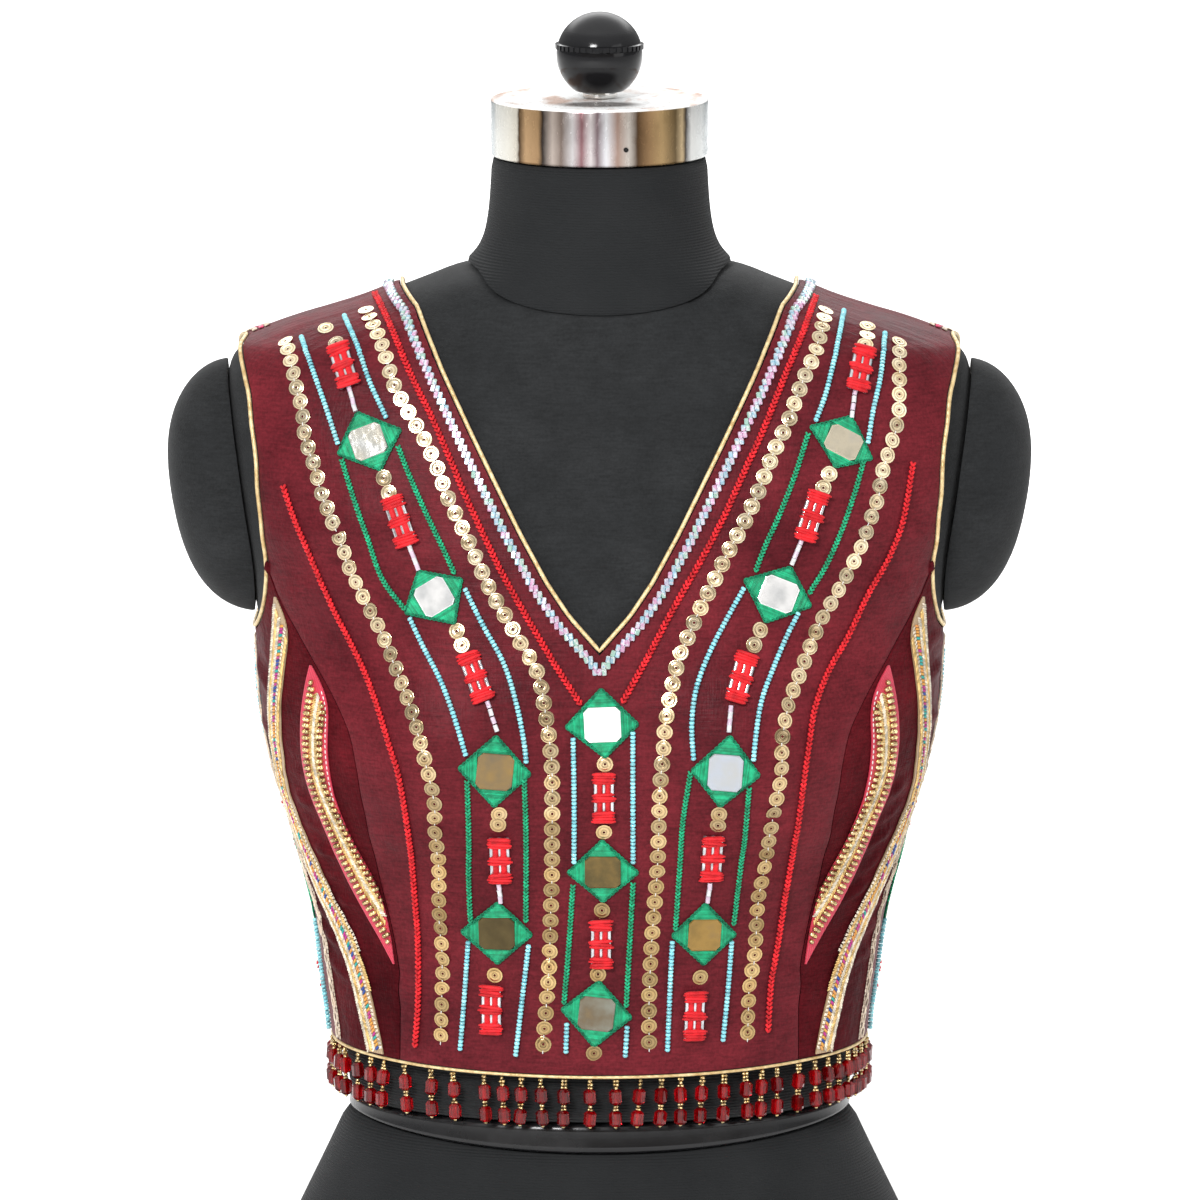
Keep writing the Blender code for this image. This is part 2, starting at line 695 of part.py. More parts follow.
def add_fringe():
    """Bead fringe as one plain ring that hangs straight down from the hem piping."""
    top = 2 * PIPING_RADIUS + 2 * TRIM_GAP
    middle = cloth_inside(0.0) + CLOTH_THICKNESS / 2

    def hang(lift):
        def point(place):
            foot = Place(place.angle, hem_height(place.angle))
            drop = Vector((0.0, 0.0, place.height - foot.height))
            return skin(foot, lift) + drop

        return point

    heights = (-FRINGE_REACH, -FRINGE_REACH / 2, -top)
    rows = [ring_places(HEM_DIVISIONS, lambda angle, h=height: hem_height(angle) + h) for height in heights]
    cells = []
    for below, above in zip(rows, rows[1:]):
        for i in range(len(below)):
            j = (i + 1) % len(below)
            cells.append((below[i], below[j], above[j], above[i]))
    low, high = hang(middle - FRINGE_THICKNESS / 2), hang(middle + FRINGE_THICKNESS / 2)
    plate("bead_fringe", cells, low, high, "red_beads")


def add_lace():
    """The ribbons sewn on each side front, and the chain lace that covers each side seam."""
    low, high = lifted(TRIM_LIFT), lifted(TRIM_LIFT + LACE_THICKNESS)
    for name, table, finish in (
        ("bright_lace", BRIGHT_LACE, "bright_braid"),
        ("pink_lace", PINK_LACE, "pink_gold_braid"),
    ):
        inner = [place_across(row.inner, row.height) for row in table]
        outer = [place_across(row.outer, row.height) for row in table]
        cells = cells_between(inner, outer, 3)
        plate(f"{name}_right", cells, low, high, finish)
        plate(f"{name}_left", mirrored(cells), low, high, finish)

    bottom = armhole_place(0.0).height - 2 * PIPING_RADIUS
    heights = [blend(HEM_RISE, bottom, share) for share in shares(14)]
    half = SIDE_LACE_WIDTH / 2
    front = [side_seam_place(height, -half) for height in heights]
    back = [side_seam_place(height, half) for height in heights]
    cells = cells_between(front, back, 2)
    plate("side_lace_right", cells, low, high, "cream_lace")
    plate("side_lace_left", mirrored(cells), low, high, "cream_lace")


def patch_cells(middle, turn):
    """Cells of a square patch that stands on one corner, turned by degrees, laid on the cloth."""
    side = 3
    lift = cloth_outside(middle.height)
    origin = skin(middle, lift)
    around = (skin(Place(middle.angle + 0.01, middle.height), lift) - origin).length / 0.01
    upwards = (skin(Place(middle.angle, middle.height + 1.0), lift) - origin).length
    slant = place_across(bare_skin(*middle).x, middle.height + 1.0).angle - middle.angle
    slant *= 1.0 if abs(middle.angle) < math.pi / 2 else 0.0
    cosine, sine = math.cos(math.radians(turn)), math.sin(math.radians(turn))

    def place(column, row):
        i = 2 * column / side - 1
        j = 2 * row / side - 1
        along = (i - j) / 2 * PATCH_HALF_DIAGONAL
        up = (i + j) / 2 * PATCH_HALF_DIAGONAL
        rise = (along * sine + up * cosine) / upwards
        sweep = (along * cosine - up * sine) / around + slant * rise
        return Place(middle.angle + sweep, middle.height + rise)

    return [
        (place(c, r), place(c + 1, r), place(c + 1, r + 1), place(c, r + 1))
        for c in range(side)
        for r in range(side)
    ]


def add_mirror_patches():
    """Satin-stitched squares that hold small mirrors, down the front and the back."""
    low, high = lifted(TRIM_LIFT), lifted(TRIM_LIFT + PATCH_THICKNESS)
    for patch in FRONT_PATCHES:
        cells = patch_cells(place_across(patch.across, patch.height), patch.turn)
        plate(f"mirror_patch_{patch.name}", cells, low, high, "green_mirror")
    for patch in BACK_PATCHES:
        cells = patch_cells(Place(math.radians(patch.angle), patch.height), patch.turn)
        plate(f"mirror_patch_back_right_{patch.name}", cells, low, high, "green_mirror")
        name = f"mirror_patch_back_left_{patch.name}"
        plate(name, mirrored(cells), low, high, "green_mirror")


# ---- The dress form ------------------------------------------------------------------------------------
def form_loop(height_at, lift=0.0):
    """Loop of points round the form's skin."""
    return [skin(place, lift - FORM_EASE) for place in ring_places(FORM_DIVISIONS, height_at)]


def level(height):
    """Make a function that gives the same height at every angle."""
    return lambda angle: height


def neck_seam(angle):
    """Height of the seam at the foot of the neck, which dips at the front."""
    return NECK_SEAM_SIDE - NECK_SEAM_FRONT_DROP * max(0.0, math.cos(angle)) ** 3.4


def band_bottom(angle):
    """Height of the waist band's lower edge, which dips at the front."""
    return BAND_TOP - BAND_SIDE_HEIGHT - BAND_FRONT_DIP * max(0.0, math.cos(angle)) ** 2


def add_torso():
    """Torso with its shoulders, from the waist band to the seam of the neck."""
    levels = [BAND_TOP, 0.0, 33.0, 62.0, 92.0, 115.0, 133.0, 150.0, 167.0, 188.0, 202.0, 216.0]
    levels += [235.0, 262.0, 290.0, 310.0, 324.0, 332.0, 338.0, 344.0, 349.0]
    loops = [form_loop(level(height)) for height in levels]
    for share in (0.25, 0.5, 0.75, 1.0):
        top = levels[-1]
        loops.append(form_loop(lambda angle, s=share: blend(top, neck_seam(angle), s)))
    stack("form_torso", loops, "form_knit")


def add_neck():
    """Neck, from its slanted seam to the metal cap."""
    foot = [neck_seam(math.tau * i / FORM_DIVISIONS) + SEAM_GAP for i in range(FORM_DIVISIONS)]
    loops = []
    for share in (0.0, 0.12, 0.3, 0.55, 1.0):
        heights = iter([blend(height, NECK_TOP, share) for height in foot])
        loops.append(form_loop(lambda angle, h=heights: next(h)))
    stack("form_neck", loops, "form_knit")


def add_hips():
    """Waist band, hips and the board that closes the form's base."""
    gap = SEAM_GAP
    band = [
        form_loop(band_bottom),
        form_loop(lambda angle: blend(band_bottom(angle), BAND_TOP - gap, 0.5)),
        form_loop(level(BAND_TOP - gap)),
    ]
    stack("form_waist_band", band, "form_band")
    floor = SECTIONS[0].height
    board_top = floor + BOARD_THICKNESS
    hips = [form_loop(level(board_top + gap))]
    for height in (-150.0, -125.0, -100.0, -80.0, -62.0):
        hips.append(form_loop(level(height)))
    hips.append(form_loop(lambda angle: band_bottom(angle) - gap))
    stack("form_hips", hips, "form_knit")
    board = [form_loop(level(height), -BOARD_INSET) for height in (floor, board_top)]
    for loop, height in zip(board, (floor, board_top)):
        for point in loop:
            point.z = height
    stack("form_base_board", board, "form_board")


def add_arm_caps():
    """Padded end of each arm: its inner face follows the torso, its outer face is a full dome."""
    rings = []
    for share, outside in (
        (0.35, False),
        (0.7, False),
        (1.0, False),
        (0.99, True),
        (0.95, True),
        (0.87, True),
        (0.74, True),
        (0.55, True),
        (0.3, True),
    ):
        ring = []
        for i in range(ARM_DIVISIONS):
            swing = math.tau * i / ARM_DIVISIONS
            depth = ARM_HALF_DEPTH * math.cos(swing) * share
            height = ARM_CENTRE + ARM_HALF_HEIGHT * math.sin(swing) * share
            point = skin(place_along(depth, height), ARM_GAP)
            if outside:
                fullness = ARM_DOME - ARM_DOME_CHANGE * math.sin(swing)
                side = skin(place_along(depth, height)).x
                top = section(height)[0]
                dome = ARM_REACH * math.sqrt(1 - share**fullness)
                point.x = max(blend(side, top, ARM_LEAN) + dome, point.x + ARM_LEAST_DEPTH)
            ring.append(point)
        rings.append(ring)
    stack("form_arm_cap_right", rings, "form_knit")
    flipped = [[Vector((-p.x, p.y, p.z)) for p in reversed(ring)] for ring in rings]
    stack("form_arm_cap_left", flipped, "form_knit")


def turned(name, profile, finish, count):
    """Solid turned about the upright axis from (radius, height) pairs, lowest first."""
    loops = []
    for radius, height in profile:
        angles = [math.tau * i / count for i in range(count)]
        loops.append([Vector((radius * math.sin(a), -radius * math.cos(a), height)) for a in angles])
    stack(name, loops, finish)


def add_neck_cap():
    """Chromed cap on the neck, with a ball knob on a short stem."""
    top = CAP_BOTTOM + CAP_HEIGHT
    turned(
        "form_neck_cap",
        (
            (CAP_RADIUS - CAP_EDGE, CAP_BOTTOM),
            (CAP_RADIUS, CAP_BOTTOM + CAP_EDGE),
            (CAP_RADIUS, top - CAP_EDGE),
            (CAP_RADIUS - CAP_EDGE, top),
        ),
        "chrome",
        CAP_DIVISIONS,
    )
    stem_foot = top + SEAM_GAP
    stem_top = stem_foot + STEM_HEIGHT
    turned("form_knob_stem", ((STEM_RADIUS, stem_foot), (STEM_RADIUS, stem_top)), "chrome", KNOB_DIVISIONS)
    flat = math.asin(BALL_FLAT_RADIUS / BALL_RADIUS)
    centre = stem_top + SEAM_GAP + BALL_RADIUS * math.cos(flat)
    profile = []
    for share in shares(13)[:-1]:
        swing = blend(flat - math.pi / 2, math.pi / 2, share)
        profile.append((BALL_RADIUS * math.cos(swing), centre + BALL_RADIUS * math.sin(swing)))
    rib = centre + BALL_RADIUS * math.sin(math.radians(RIB_TURN))
    profile = [knot for knot in profile if abs(knot[1] - rib) > RIB_CLEAR]
    profile += [(BALL_RADIUS + reach, rib + rise) for reach, rise in RIB_PROFILE]
    profile.sort(key=lambda knot: knot[1])
    turned("form_knob", profile, "black_plastic", KNOB_DIVISIONS)


def main():
    """Clear the scene and build every piece."""
    for existing in list(bpy.data.objects):
        bpy.data.objects.remove(existing)
    add_torso()
    add_neck()
    add_hips()
    add_arm_caps()
    add_neck_cap()
    add_front_panel()
    add_side_fronts()
    add_back_panels()
    add_piping()
    add_fringe()
    add_lace()
    add_mirror_patches()


main()
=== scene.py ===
"""Looks of a choli blouse with mirror and bead embroidery, worn on a limbless dress form.

Tables are in millimetres. A place on the body is an angle round it, from the centre front (0) past the +X side
to the centre back (180 degrees), and a height above the blouse's hem. A lift is a distance out from the skin of
the form or from the cloth. Meshes are in metres: +Z is up, -Y is the front, and the floor is at zero.
"""

from __future__ import annotations

import logging
import math
import random
from collections.abc import Callable, Sequence
from dataclasses import dataclass
from enum import Enum

import bmesh
import bpy
import numpy as np
from mathutils import Matrix, Vector
from mathutils.bvhtree import BVHTree


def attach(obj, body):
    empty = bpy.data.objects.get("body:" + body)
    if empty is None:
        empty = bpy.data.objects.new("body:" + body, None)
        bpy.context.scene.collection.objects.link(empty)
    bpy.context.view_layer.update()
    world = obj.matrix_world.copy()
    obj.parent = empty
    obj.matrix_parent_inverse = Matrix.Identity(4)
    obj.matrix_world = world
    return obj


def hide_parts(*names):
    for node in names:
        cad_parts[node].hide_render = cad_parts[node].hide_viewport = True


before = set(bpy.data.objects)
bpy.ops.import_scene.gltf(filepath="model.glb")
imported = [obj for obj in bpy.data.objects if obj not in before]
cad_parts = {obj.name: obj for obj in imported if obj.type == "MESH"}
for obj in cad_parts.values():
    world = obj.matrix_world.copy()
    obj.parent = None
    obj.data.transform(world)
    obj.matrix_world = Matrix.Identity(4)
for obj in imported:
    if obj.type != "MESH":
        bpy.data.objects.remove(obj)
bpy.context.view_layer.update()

logging.basicConfig(level=logging.INFO, format="%(name)s: %(message)s")
log = logging.getLogger("choli")

Array = np.ndarray
Values = float | np.ndarray
Piece = bpy.types.Object
Material = bpy.types.Material
Node = bpy.types.Node
Socket = bpy.types.NodeSocket
Input = Socket | float | tuple

MM = 0.001
HEM_HEIGHT = 180.0
SIDE_LINE_SETBACK = 3.467
CLOTH_THICKNESS = 1.2
SEAM_GAP = 0.4
SEED = 1107

# ---- Tables of the body and the cut, in millimetres -----------------------------------------------------
# height, half width, front depth, back depth, squareness, ease of the cloth
SECTIONS = (
    (-180.0, 172.0, 104.0, 122.0, 2.2, 7.0),
    (-130.0, 164.0, 100.0, 119.0, 2.2, 7.0),
    (-90.0, 148.5, 96.0, 111.0, 2.15, 7.0),
    (-60.0, 134.0, 92.0, 101.0, 2.1, 7.0),
    (-40.0, 123.5, 88.5, 92.0, 2.1, 7.0),
    (-27.0, 120.0, 87.0, 87.0, 2.1, 6.5),
    (0.0, 121.5, 88.0, 84.0, 2.1, 5.2),
    (33.0, 126.5, 90.0, 85.0, 2.1, 4.0),
    (60.0, 131.0, 93.0, 87.0, 2.1, 3.2),
    (92.0, 140.0, 98.0, 91.0, 2.1, 2.2),
    (115.0, 147.0, 102.0, 94.0, 2.1, 1.4),
    (133.0, 153.0, 104.5, 96.5, 2.1, 0.9),
    (167.0, 159.8, 105.5, 100.0, 2.1, 0.6),
    (195.0, 161.5, 103.0, 102.0, 2.12, 0.7),
    (232.0, 168.0, 98.0, 102.5, 2.4, 0.7),
    (252.0, 172.0, 94.0, 101.0, 2.65, 0.6),
    (277.0, 176.0, 88.0, 97.0, 2.8, 0.6),
    (301.0, 178.0, 80.5, 89.0, 2.8, 0.6),
    (320.0, 177.0, 73.0, 79.0, 2.6, 0.6),
    (328.0, 175.0, 69.5, 74.0, 2.45, 0.6),
    (334.0, 171.0, 66.5, 70.0, 2.3, 0.9),
    (339.0, 160.0, 64.0, 66.5, 2.2, 0.9),
    (344.5, 145.0, 62.0, 63.5, 2.1, 0.9),
    (349.0, 130.0, 60.5, 61.0, 2.05, 0.9),
    (355.0, 111.6, 58.5, 58.0, 2.0, 0.9),
    (360.0, 99.0, 57.5, 56.0, 2.0, 0.9),
    (365.0, 86.0, 56.5, 54.5, 2.0, 0.9),
    (369.0, 75.0, 55.5, 53.5, 2.0, 0.9),
    (373.0, 66.0, 54.5, 52.5, 2.0, 0.9),
    (379.0, 58.4, 53.5, 52.0, 2.0, 0.6),
    (389.0, 54.4, 52.5, 51.8, 2.0, 0.6),
    (403.0, 52.5, 51.6, 51.6, 2.0, 0.6),
    (426.0, 51.4, 51.4, 51.4, 2.0, 0.6),
)
# across, height of the front neckline from the bottom of the V
V_NECK = (
    (0.0, 201.0), (15.5, 218.5), (26.0, 234.0), (38.2, 256.0), (60.0, 299.0), (75.3, 330.0), (86.5, 355.0),
)
# height, across of the princess seam, angle of the side seam
SIDE_ROWS = (
    (-30.0, 90.0, 74.0), (0.0, 90.5, 74.0), (45.0, 92.0, 75.0), (66.0, 95.5, 76.5), (90.0, 101.5, 79.5),
    (112.0, 106.5, 83.0), (130.0, 110.5, 85.5), (145.0, 112.8, 87.0), (160.0, 116.0, 88.0),
    (175.0, 123.0, 89.0), (193.0, 134.0, 89.8), (198.5, 137.2, 90.0), (220.0, 149.3, 90.0),
    (238.0, 157.0, 90.0),
)
# height, across of the outer edge, across of the inner edge
BRIGHT_LACE = (
    (3.5, 104.5, 97.5), (23.0, 109.0, 101.5), (38.0, 112.6, 105.2), (53.0, 118.0, 110.8), (67.0, 124.5, 117.0),
    (80.0, 130.5, 123.5), (96.0, 137.5, 131.0), (110.0, 143.5, 137.0), (124.0, 148.6, 142.6),
    (146.0, 153.0, 147.2), (162.0, 154.3, 148.6), (180.0, 153.4, 147.0), (198.0, 152.4, 145.0),
    (208.0, 152.0, 144.2), (216.0, 151.6, 147.9), (221.0, 151.2, 150.4),
)
PINK_LACE = (
    (49.0, 94.2, 93.6), (56.0, 97.6, 94.6), (66.0, 103.6, 96.3), (79.0, 111.6, 99.4), (89.0, 116.6, 102.3),
    (96.0, 120.2, 107.0), (109.0, 126.0, 114.6), (123.0, 132.0, 120.6), (138.0, 137.6, 124.6),
    (154.0, 139.0, 126.0), (168.0, 138.4, 125.4), (175.0, 137.6, 124.4), (183.0, 136.2, 129.2),
    (190.0, 134.4, 133.6),
)
# start angle, start height, end angle, end height, half width, reach outwards
CREASES = (
    (67.0, 152.0, 86.0, 158.0, 3.2, 1.7),
    (66.0, 139.0, 82.0, 143.0, 2.4, 1.2),
    (60.0, 126.0, 84.0, 131.0, 3.0, 1.8),
    (62.0, 114.0, 82.0, 117.0, 2.4, 1.3),
    (56.0, 103.0, 80.0, 106.0, 3.0, 1.8),
    (60.0, 91.0, 80.0, 95.0, 2.4, 1.4),
    (54.0, 79.0, 78.0, 83.0, 3.0, 1.8),
    (60.0, 68.0, 76.0, 70.0, 2.4, 1.2),
    (54.0, 56.0, 76.0, 60.0, 3.0, 1.2),
    (58.0, 42.0, 74.0, 46.0, 2.6, 0.9),
    (64.0, 172.0, 87.0, 182.0, 4.0, 1.4),
    (70.0, 198.0, 88.0, 190.0, 4.0, 1.0),
    (22.0, 118.0, 50.0, 110.0, 6.0, 0.9),
    (16.0, 96.0, 44.0, 84.0, 5.0, 0.7),
    (34.0, 52.0, 52.0, 24.0, 4.0, 0.8),
    (-18.0, 122.0, -48.0, 112.0, 6.0, 0.9),
    (-14.0, 88.0, -40.0, 78.0, 5.0, 0.7),
    (-32.0, 60.0, -50.0, 30.0, 4.0, 0.8),
    (30.0, 262.0, 58.0, 246.0, 6.0, 1.0),
    (-28.0, 270.0, -56.0, 250.0, 6.0, 1.0),
    (44.0, 232.0, 60.0, 216.0, 5.0, 0.9),
    (-44.0, 236.0, -62.0, 218.0, 5.0, 0.9),
    (-66.0, 150.0, -86.0, 156.0, 3.2, 1.7),
    (-65.0, 137.0, -82.0, 141.0, 2.4, 1.3),
    (-60.0, 124.0, -84.0, 130.0, 3.0, 1.8),
    (-62.0, 112.0, -81.0, 114.0, 2.4, 1.3),
    (-56.0, 101.0, -80.0, 105.0, 3.0, 1.9),
    (-60.0, 89.0, -79.0, 92.0, 2.4, 1.4),
    (-54.0, 77.0, -78.0, 82.0, 3.0, 1.9),
    (-58.0, 66.0, -76.0, 69.0, 2.4, 1.3),
    (-54.0, 54.0, -76.0, 59.0, 3.0, 1.3),
    (-58.0, 40.0, -74.0, 44.0, 2.6, 0.9),
    (-64.0, 172.0, -86.0, 184.0, 4.0, 1.4),
    (110.0, 196.0, 138.0, 186.0, 6.0, 1.2),
    (112.0, 120.0, 142.0, 112.0, 6.0, 1.1),
    (118.0, 94.0, 150.0, 84.0, 6.0, 1.0),
    (126.0, 40.0, 152.0, 46.0, 6.0, 0.9),
    (-110.0, 200.0, -138.0, 184.0, 6.0, 1.2),
    (-112.0, 116.0, -142.0, 110.0, 6.0, 1.1),
    (-118.0, 88.0, -150.0, 82.0, 6.0, 1.0),
    (-126.0, 44.0, -152.0, 38.0, 6.0, 0.9),
)


# ---- Shapes of the body and the cloth on it --------------------------------------------------------------
class Profile:
    """Smooth curve through a table's column, which never overshoots its rows."""

    def __init__(self, heights: Array, values: Array) -> None:
        """Keep the rows and work out the slope at each.

        Args:
            heights: heights of the rows, rising.
            values: value at each row.
        """
        self.heights = np.array(heights, float)
        self.values = np.array(values, float)
        slopes = np.diff(self.values) / np.diff(self.heights)
        product = slopes[:-1] * slopes[1:]
        total = np.where(product > 0, slopes[:-1] + slopes[1:], 1.0)
        middle = np.where(product > 0, 2 * product / total, 0.0)
        self.slopes = np.concatenate([slopes[:1], middle, slopes[-1:]])

    def __call__(self, height: Values) -> Array:
        """Value at one height or an array of heights.

        Args:
            height: one height or an array of them; beyond the table the end value holds.

        Returns:
            The value or values.
        """
        height = np.clip(height, self.heights[0], self.heights[-1])
        low = np.clip(np.searchsorted(self.heights, height) - 1, 0, len(self.heights) - 2)
        span = self.heights[low + 1] - self.heights[low]
        t = (height - self.heights[low]) / span
        rise = self.values[low] * (2 * t**3 - 3 * t**2 + 1) + self.values[low + 1] * (3 * t**2 - 2 * t**3)
        bend = self.slopes[low] * (t**3 - 2 * t**2 + t) + self.slopes[low + 1] * (t**3 - t**2)
        return rise + span * bend


# how sharp an edge has to be, in degrees, to be bevelled or creased, or to stay crisp when it is shaded
SHARP_EDGE = 60.0
SOFT_PIECE = 50.0
TURNED_PIECE = 35.0
SMALL_PIECE = 20.0


def unit(vectors: Array) -> Array:
    """Vectors of length one in the same directions."""
    return vectors / np.linalg.norm(vectors, axis=-1, keepdims=True)


def shares(count: int) -> Array:
    """Evenly spaced numbers from 0 to 1, with count steps."""
    return np.linspace(0.0, 1.0, count + 1)


def places(angle: Values, height: Values) -> Array:
    """Array of places from angles in radians and heights."""
    angle, height = np.broadcast_arrays(np.asarray(angle, float), np.asarray(height, float))
    return np.stack([angle, height], axis=-1)


def mirrored(spots: Array) -> Array:
    """The same places on the other side of the body."""
    return spots * np.array([-1.0, 1.0])


# the cloth's slight unevenness: millimetres high, steps of the wave per degree and per millimetre up, its start
WAVES = ((0.16, 0.11, 0.045, 0.0), (0.12, -0.19, 0.07, 1.0))
# millimetres high, then the steps of two waves that cross
CROSSED_WAVES = (0.05, (0.21, 0.33), (0.17, -0.06))


@dataclass
class Body:
    """Skin of the dress form, and the cloth that lies on it with its creases."""

    bust_across: float = 84.0
    bust_height: float = 150.0
    bust_half_width: float = 44.0
    bust_half_height: float = 48.0
    bust_reach: float = 16.0
    hem_rise: float = 4.0
    girth_radius: float = 140.0
    least_lift: float = 0.25
    crease_depth: float = 1.35
    crease_bow: float = 3.0
    trough: float = 0.35
    trough_place: float = 2.1
    taper_least: float = 0.25
    taper_power: float = 0.7
    held: float = 0.92
    hold_fade: float = 3.0
    settle_rounds: int = 4
    lattice_turn: float = 1.5
    lattice_rise: float = 3.0
    lattice_span: tuple = (-36.0, 372.1)
    half_cell: tuple = (0.013, 1.5)

    def __post_init__(self) -> None:
        """Make a curve from each column of the table of sections."""
        rows = np.array(SECTIONS)
        columns = [Profile(rows[:, 0], rows[:, i]) for i in range(1, 6)]
        self.half_width, self.front, self.back, self.squareness, self.ease = columns
        self.tree = None

    def bare(self, spots: Array) -> Array:
        """Points of the form's skin in millimetres.

        Args:
            spots: array of places.

        Returns:
            Array of points above the hem's level.
        """
        angle, height = spots[..., 0], spots[..., 1]
        sine, cosine = np.sin(angle), np.cos(angle)
        power = self.squareness(height)
        reach = (np.abs(sine) ** power + np.abs(cosine) ** power) ** (-1 / power)
        x = self.half_width(height) * sine * reach
        y = -np.where(cosine > 0, self.front(height), self.back(height)) * cosine * reach
        across = (np.abs(x) - self.bust_across) / self.bust_half_width
        up = (height - self.bust_height) / self.bust_half_height
        y = y - self.bust_reach * np.exp(-(across**2) - up**2) * np.clip(3 * cosine, 0.0, 1.0)
        return np.stack([x, y, height], axis=-1)

    def normal(self, spots: Array) -> Array:
        """Directions straight out of the skin.

        Args:
            spots: array of places.

        Returns:
            Array of directions of length one.
        """
        turn, rise = np.array([0.001, 0.0]), np.array([0.0, 0.5])
        around = self.bare(spots + turn) - self.bare(spots - turn)
        upwards = self.bare(spots + rise) - self.bare(spots - rise)
        return unit(np.cross(around, upwards))

    def skin(self, spots: Array, lift: Values = 0.0) -> Array:
        """Points in metres at a lift off the form's skin.

        Args:
            spots: array of places.
            lift: in millimetres, one number or one for each place.

        Returns:
            Array of points in metres.
        """
        lift = np.asarray(lift, float)[..., None]
        point = self.bare(spots) + self.normal(spots) * lift
        return (point + np.array([0.0, -SIDE_LINE_SETBACK, HEM_HEIGHT])) * MM

    def creases(self, spots: Array) -> Array:
        """How far the cloth's creases and slight unevenness stand out, in millimetres.

        Args:
            spots: array of places.

        Returns:
            Array of distances, minus where the cloth sinks in.
        """
        angle, height = np.degrees(spots[..., 0]), spots[..., 1]
        angle = (angle + 180.0) % 360.0 - 180.0
        scale = math.radians(self.girth_radius)
        total, uneven = np.zeros(angle.shape), np.zeros(angle.shape)
        for size, by_angle, by_height, start in WAVES:
            uneven = uneven + size * np.sin(by_angle * angle + by_height * height + start)
        size, (first_angle, first_height), (second_angle, second_height) = CROSSED_WAVES
        crossed = size * np.sin(first_angle * angle + first_height * height)
        uneven = uneven + crossed * np.sin(second_angle * angle + second_height * height)
        for start_angle, start_height, end_angle, end_height, half, reach in CREASES:
            run = np.array([(end_angle - start_angle) * scale, end_height - start_height])
            length = np.hypot(*run)
            x, y = (angle - start_angle) * scale, height - start_height
            along = np.clip((x * run[0] + y * run[1]) / length**2, 0.0, 1.0)
            bow = self.crease_bow * np.sin(np.pi * along)
            off = (x * run[1] - y * run[0]) / length + bow
            beyond = np.hypot(x - along * run[0], y - along * run[1])
            far = np.where((along > 0) & (along < 1), np.abs(off), beyond)
            taper = self.taper_least + (1 - self.taper_least) * np.sin(np.pi * along) ** self.taper_power
            total = total + reach * taper * np.exp(-((far / half) ** 2))
            beside = (far - self.trough_place * half) / half
            total = total - self.trough * reach * taper * np.exp(-(beside**2))
        return uneven + self.crease_depth * total * self.held_flat(spots)

    def held_flat(self, spots: Array) -> Array:
        """Share of a crease that is left where the ribbons hold the cloth flat.

        Args:
            spots: array of places.

        Returns:
            Array of shares from 0 to 1.
        """
        across, height = np.abs(self.bare(spots)[..., 0]), spots[..., 1]
        share = np.ones(across.shape)
        for table in (BRIGHT_LACE, PINK_LACE):
            rows = np.array(table)
            outer, inner = (np.interp(height, rows[:, 0], rows[:, column]) for column in (1, 2))
            off = np.maximum(np.maximum(inner - across, across - outer), 0.0)
            off = off + np.maximum(np.maximum(rows[0, 0] - height, height - rows[-1, 0]), 0.0)
            share = share * (1 - self.held * np.exp(-((off / self.hold_fade) ** 2)))
        return share

    def cloth_lift(self, spots: Array) -> Array:
        """Lift of the cloth's outer face off the skin."""
        ease = self.ease(spots[..., 1])
        return CLOTH_THICKNESS + np.maximum(ease + self.creases(spots), self.least_lift)

    def cloth(self, spots: Array, lift: Values = 0.0) -> Array:
        """Points in metres at a lift off the cloth's outer face."""
        return self.skin(spots, self.cloth_lift(spots) + lift)

    def across(self, across: Values, height: Values, at_back: bool = False) -> Array:
        """Places on the front or back that lie this far from the centre line.

        Args:
            across: distance from the centre line, minus on the -X side.
            height: one height or an array of them.
            at_back: whether the places are on the back.

        Returns:
            Array of places.
        """
        across, height = np.broadcast_arrays(np.asarray(across, float), np.asarray(height, float))
        power = self.squareness(height)
        share = np.minimum(np.abs(across) / self.half_width(height), 1.0)
        angle = np.arctan2(share, (1 - share**power) ** (1 / power))
        angle = np.where(at_back, np.pi - angle, angle)
        return places(np.copysign(angle, across), height)

    def along(self, depth: Values, height: Values) -> Array:
        """Places on the +X side that lie this far in front of (minus) or behind the side line.

        Args:
            depth: distance from the side line.
            height: one height or an array of them.

        Returns:
            Array of places.
        """
        power = self.squareness(height)
        share = np.minimum(np.abs(depth) / np.where(depth < 0, self.front(height), self.back(height)), 1.0)
        angle = np.arctan2((1 - share**power) ** (1 / power), share)
        return places(np.where(depth < 0, angle, np.pi - angle), height)

    def hem(self, angle: Values) -> Values:
        """Height of the hem, which dips a little at the centre front and back."""
        return self.hem_rise * np.sin(angle) ** 2

    def settle(self, points: Array, spots: Array) -> Array:
        """Slide places over the cloth until they lie under the given points.

        Args:
            points: array of points in metres.
            spots: array of places to start from.

        Returns:
            Array of places.
        """
        spots = spots.copy()
        turn, rise = 0.002, 0.5
        for _ in range(self.settle_rounds):
            here = self.cloth(spots)
            by_angle = (self.cloth(spots + [turn, 0.0]) - here) / turn
            by_height = (self.cloth(spots + [0.0, rise]) - here) / rise
            off = points - here
            aa, hh = (by_angle**2).sum(-1), (by_height**2).sum(-1)
            ah = (by_angle * by_height).sum(-1)
            ra, rh = (off * by_angle).sum(-1), (off * by_height).sum(-1)
            base = aa * hh - ah * ah
            spots[..., 0] += (ra * hh - rh * ah) / base
            spots[..., 1] += (rh * aa - ra * ah) / base
        return spots

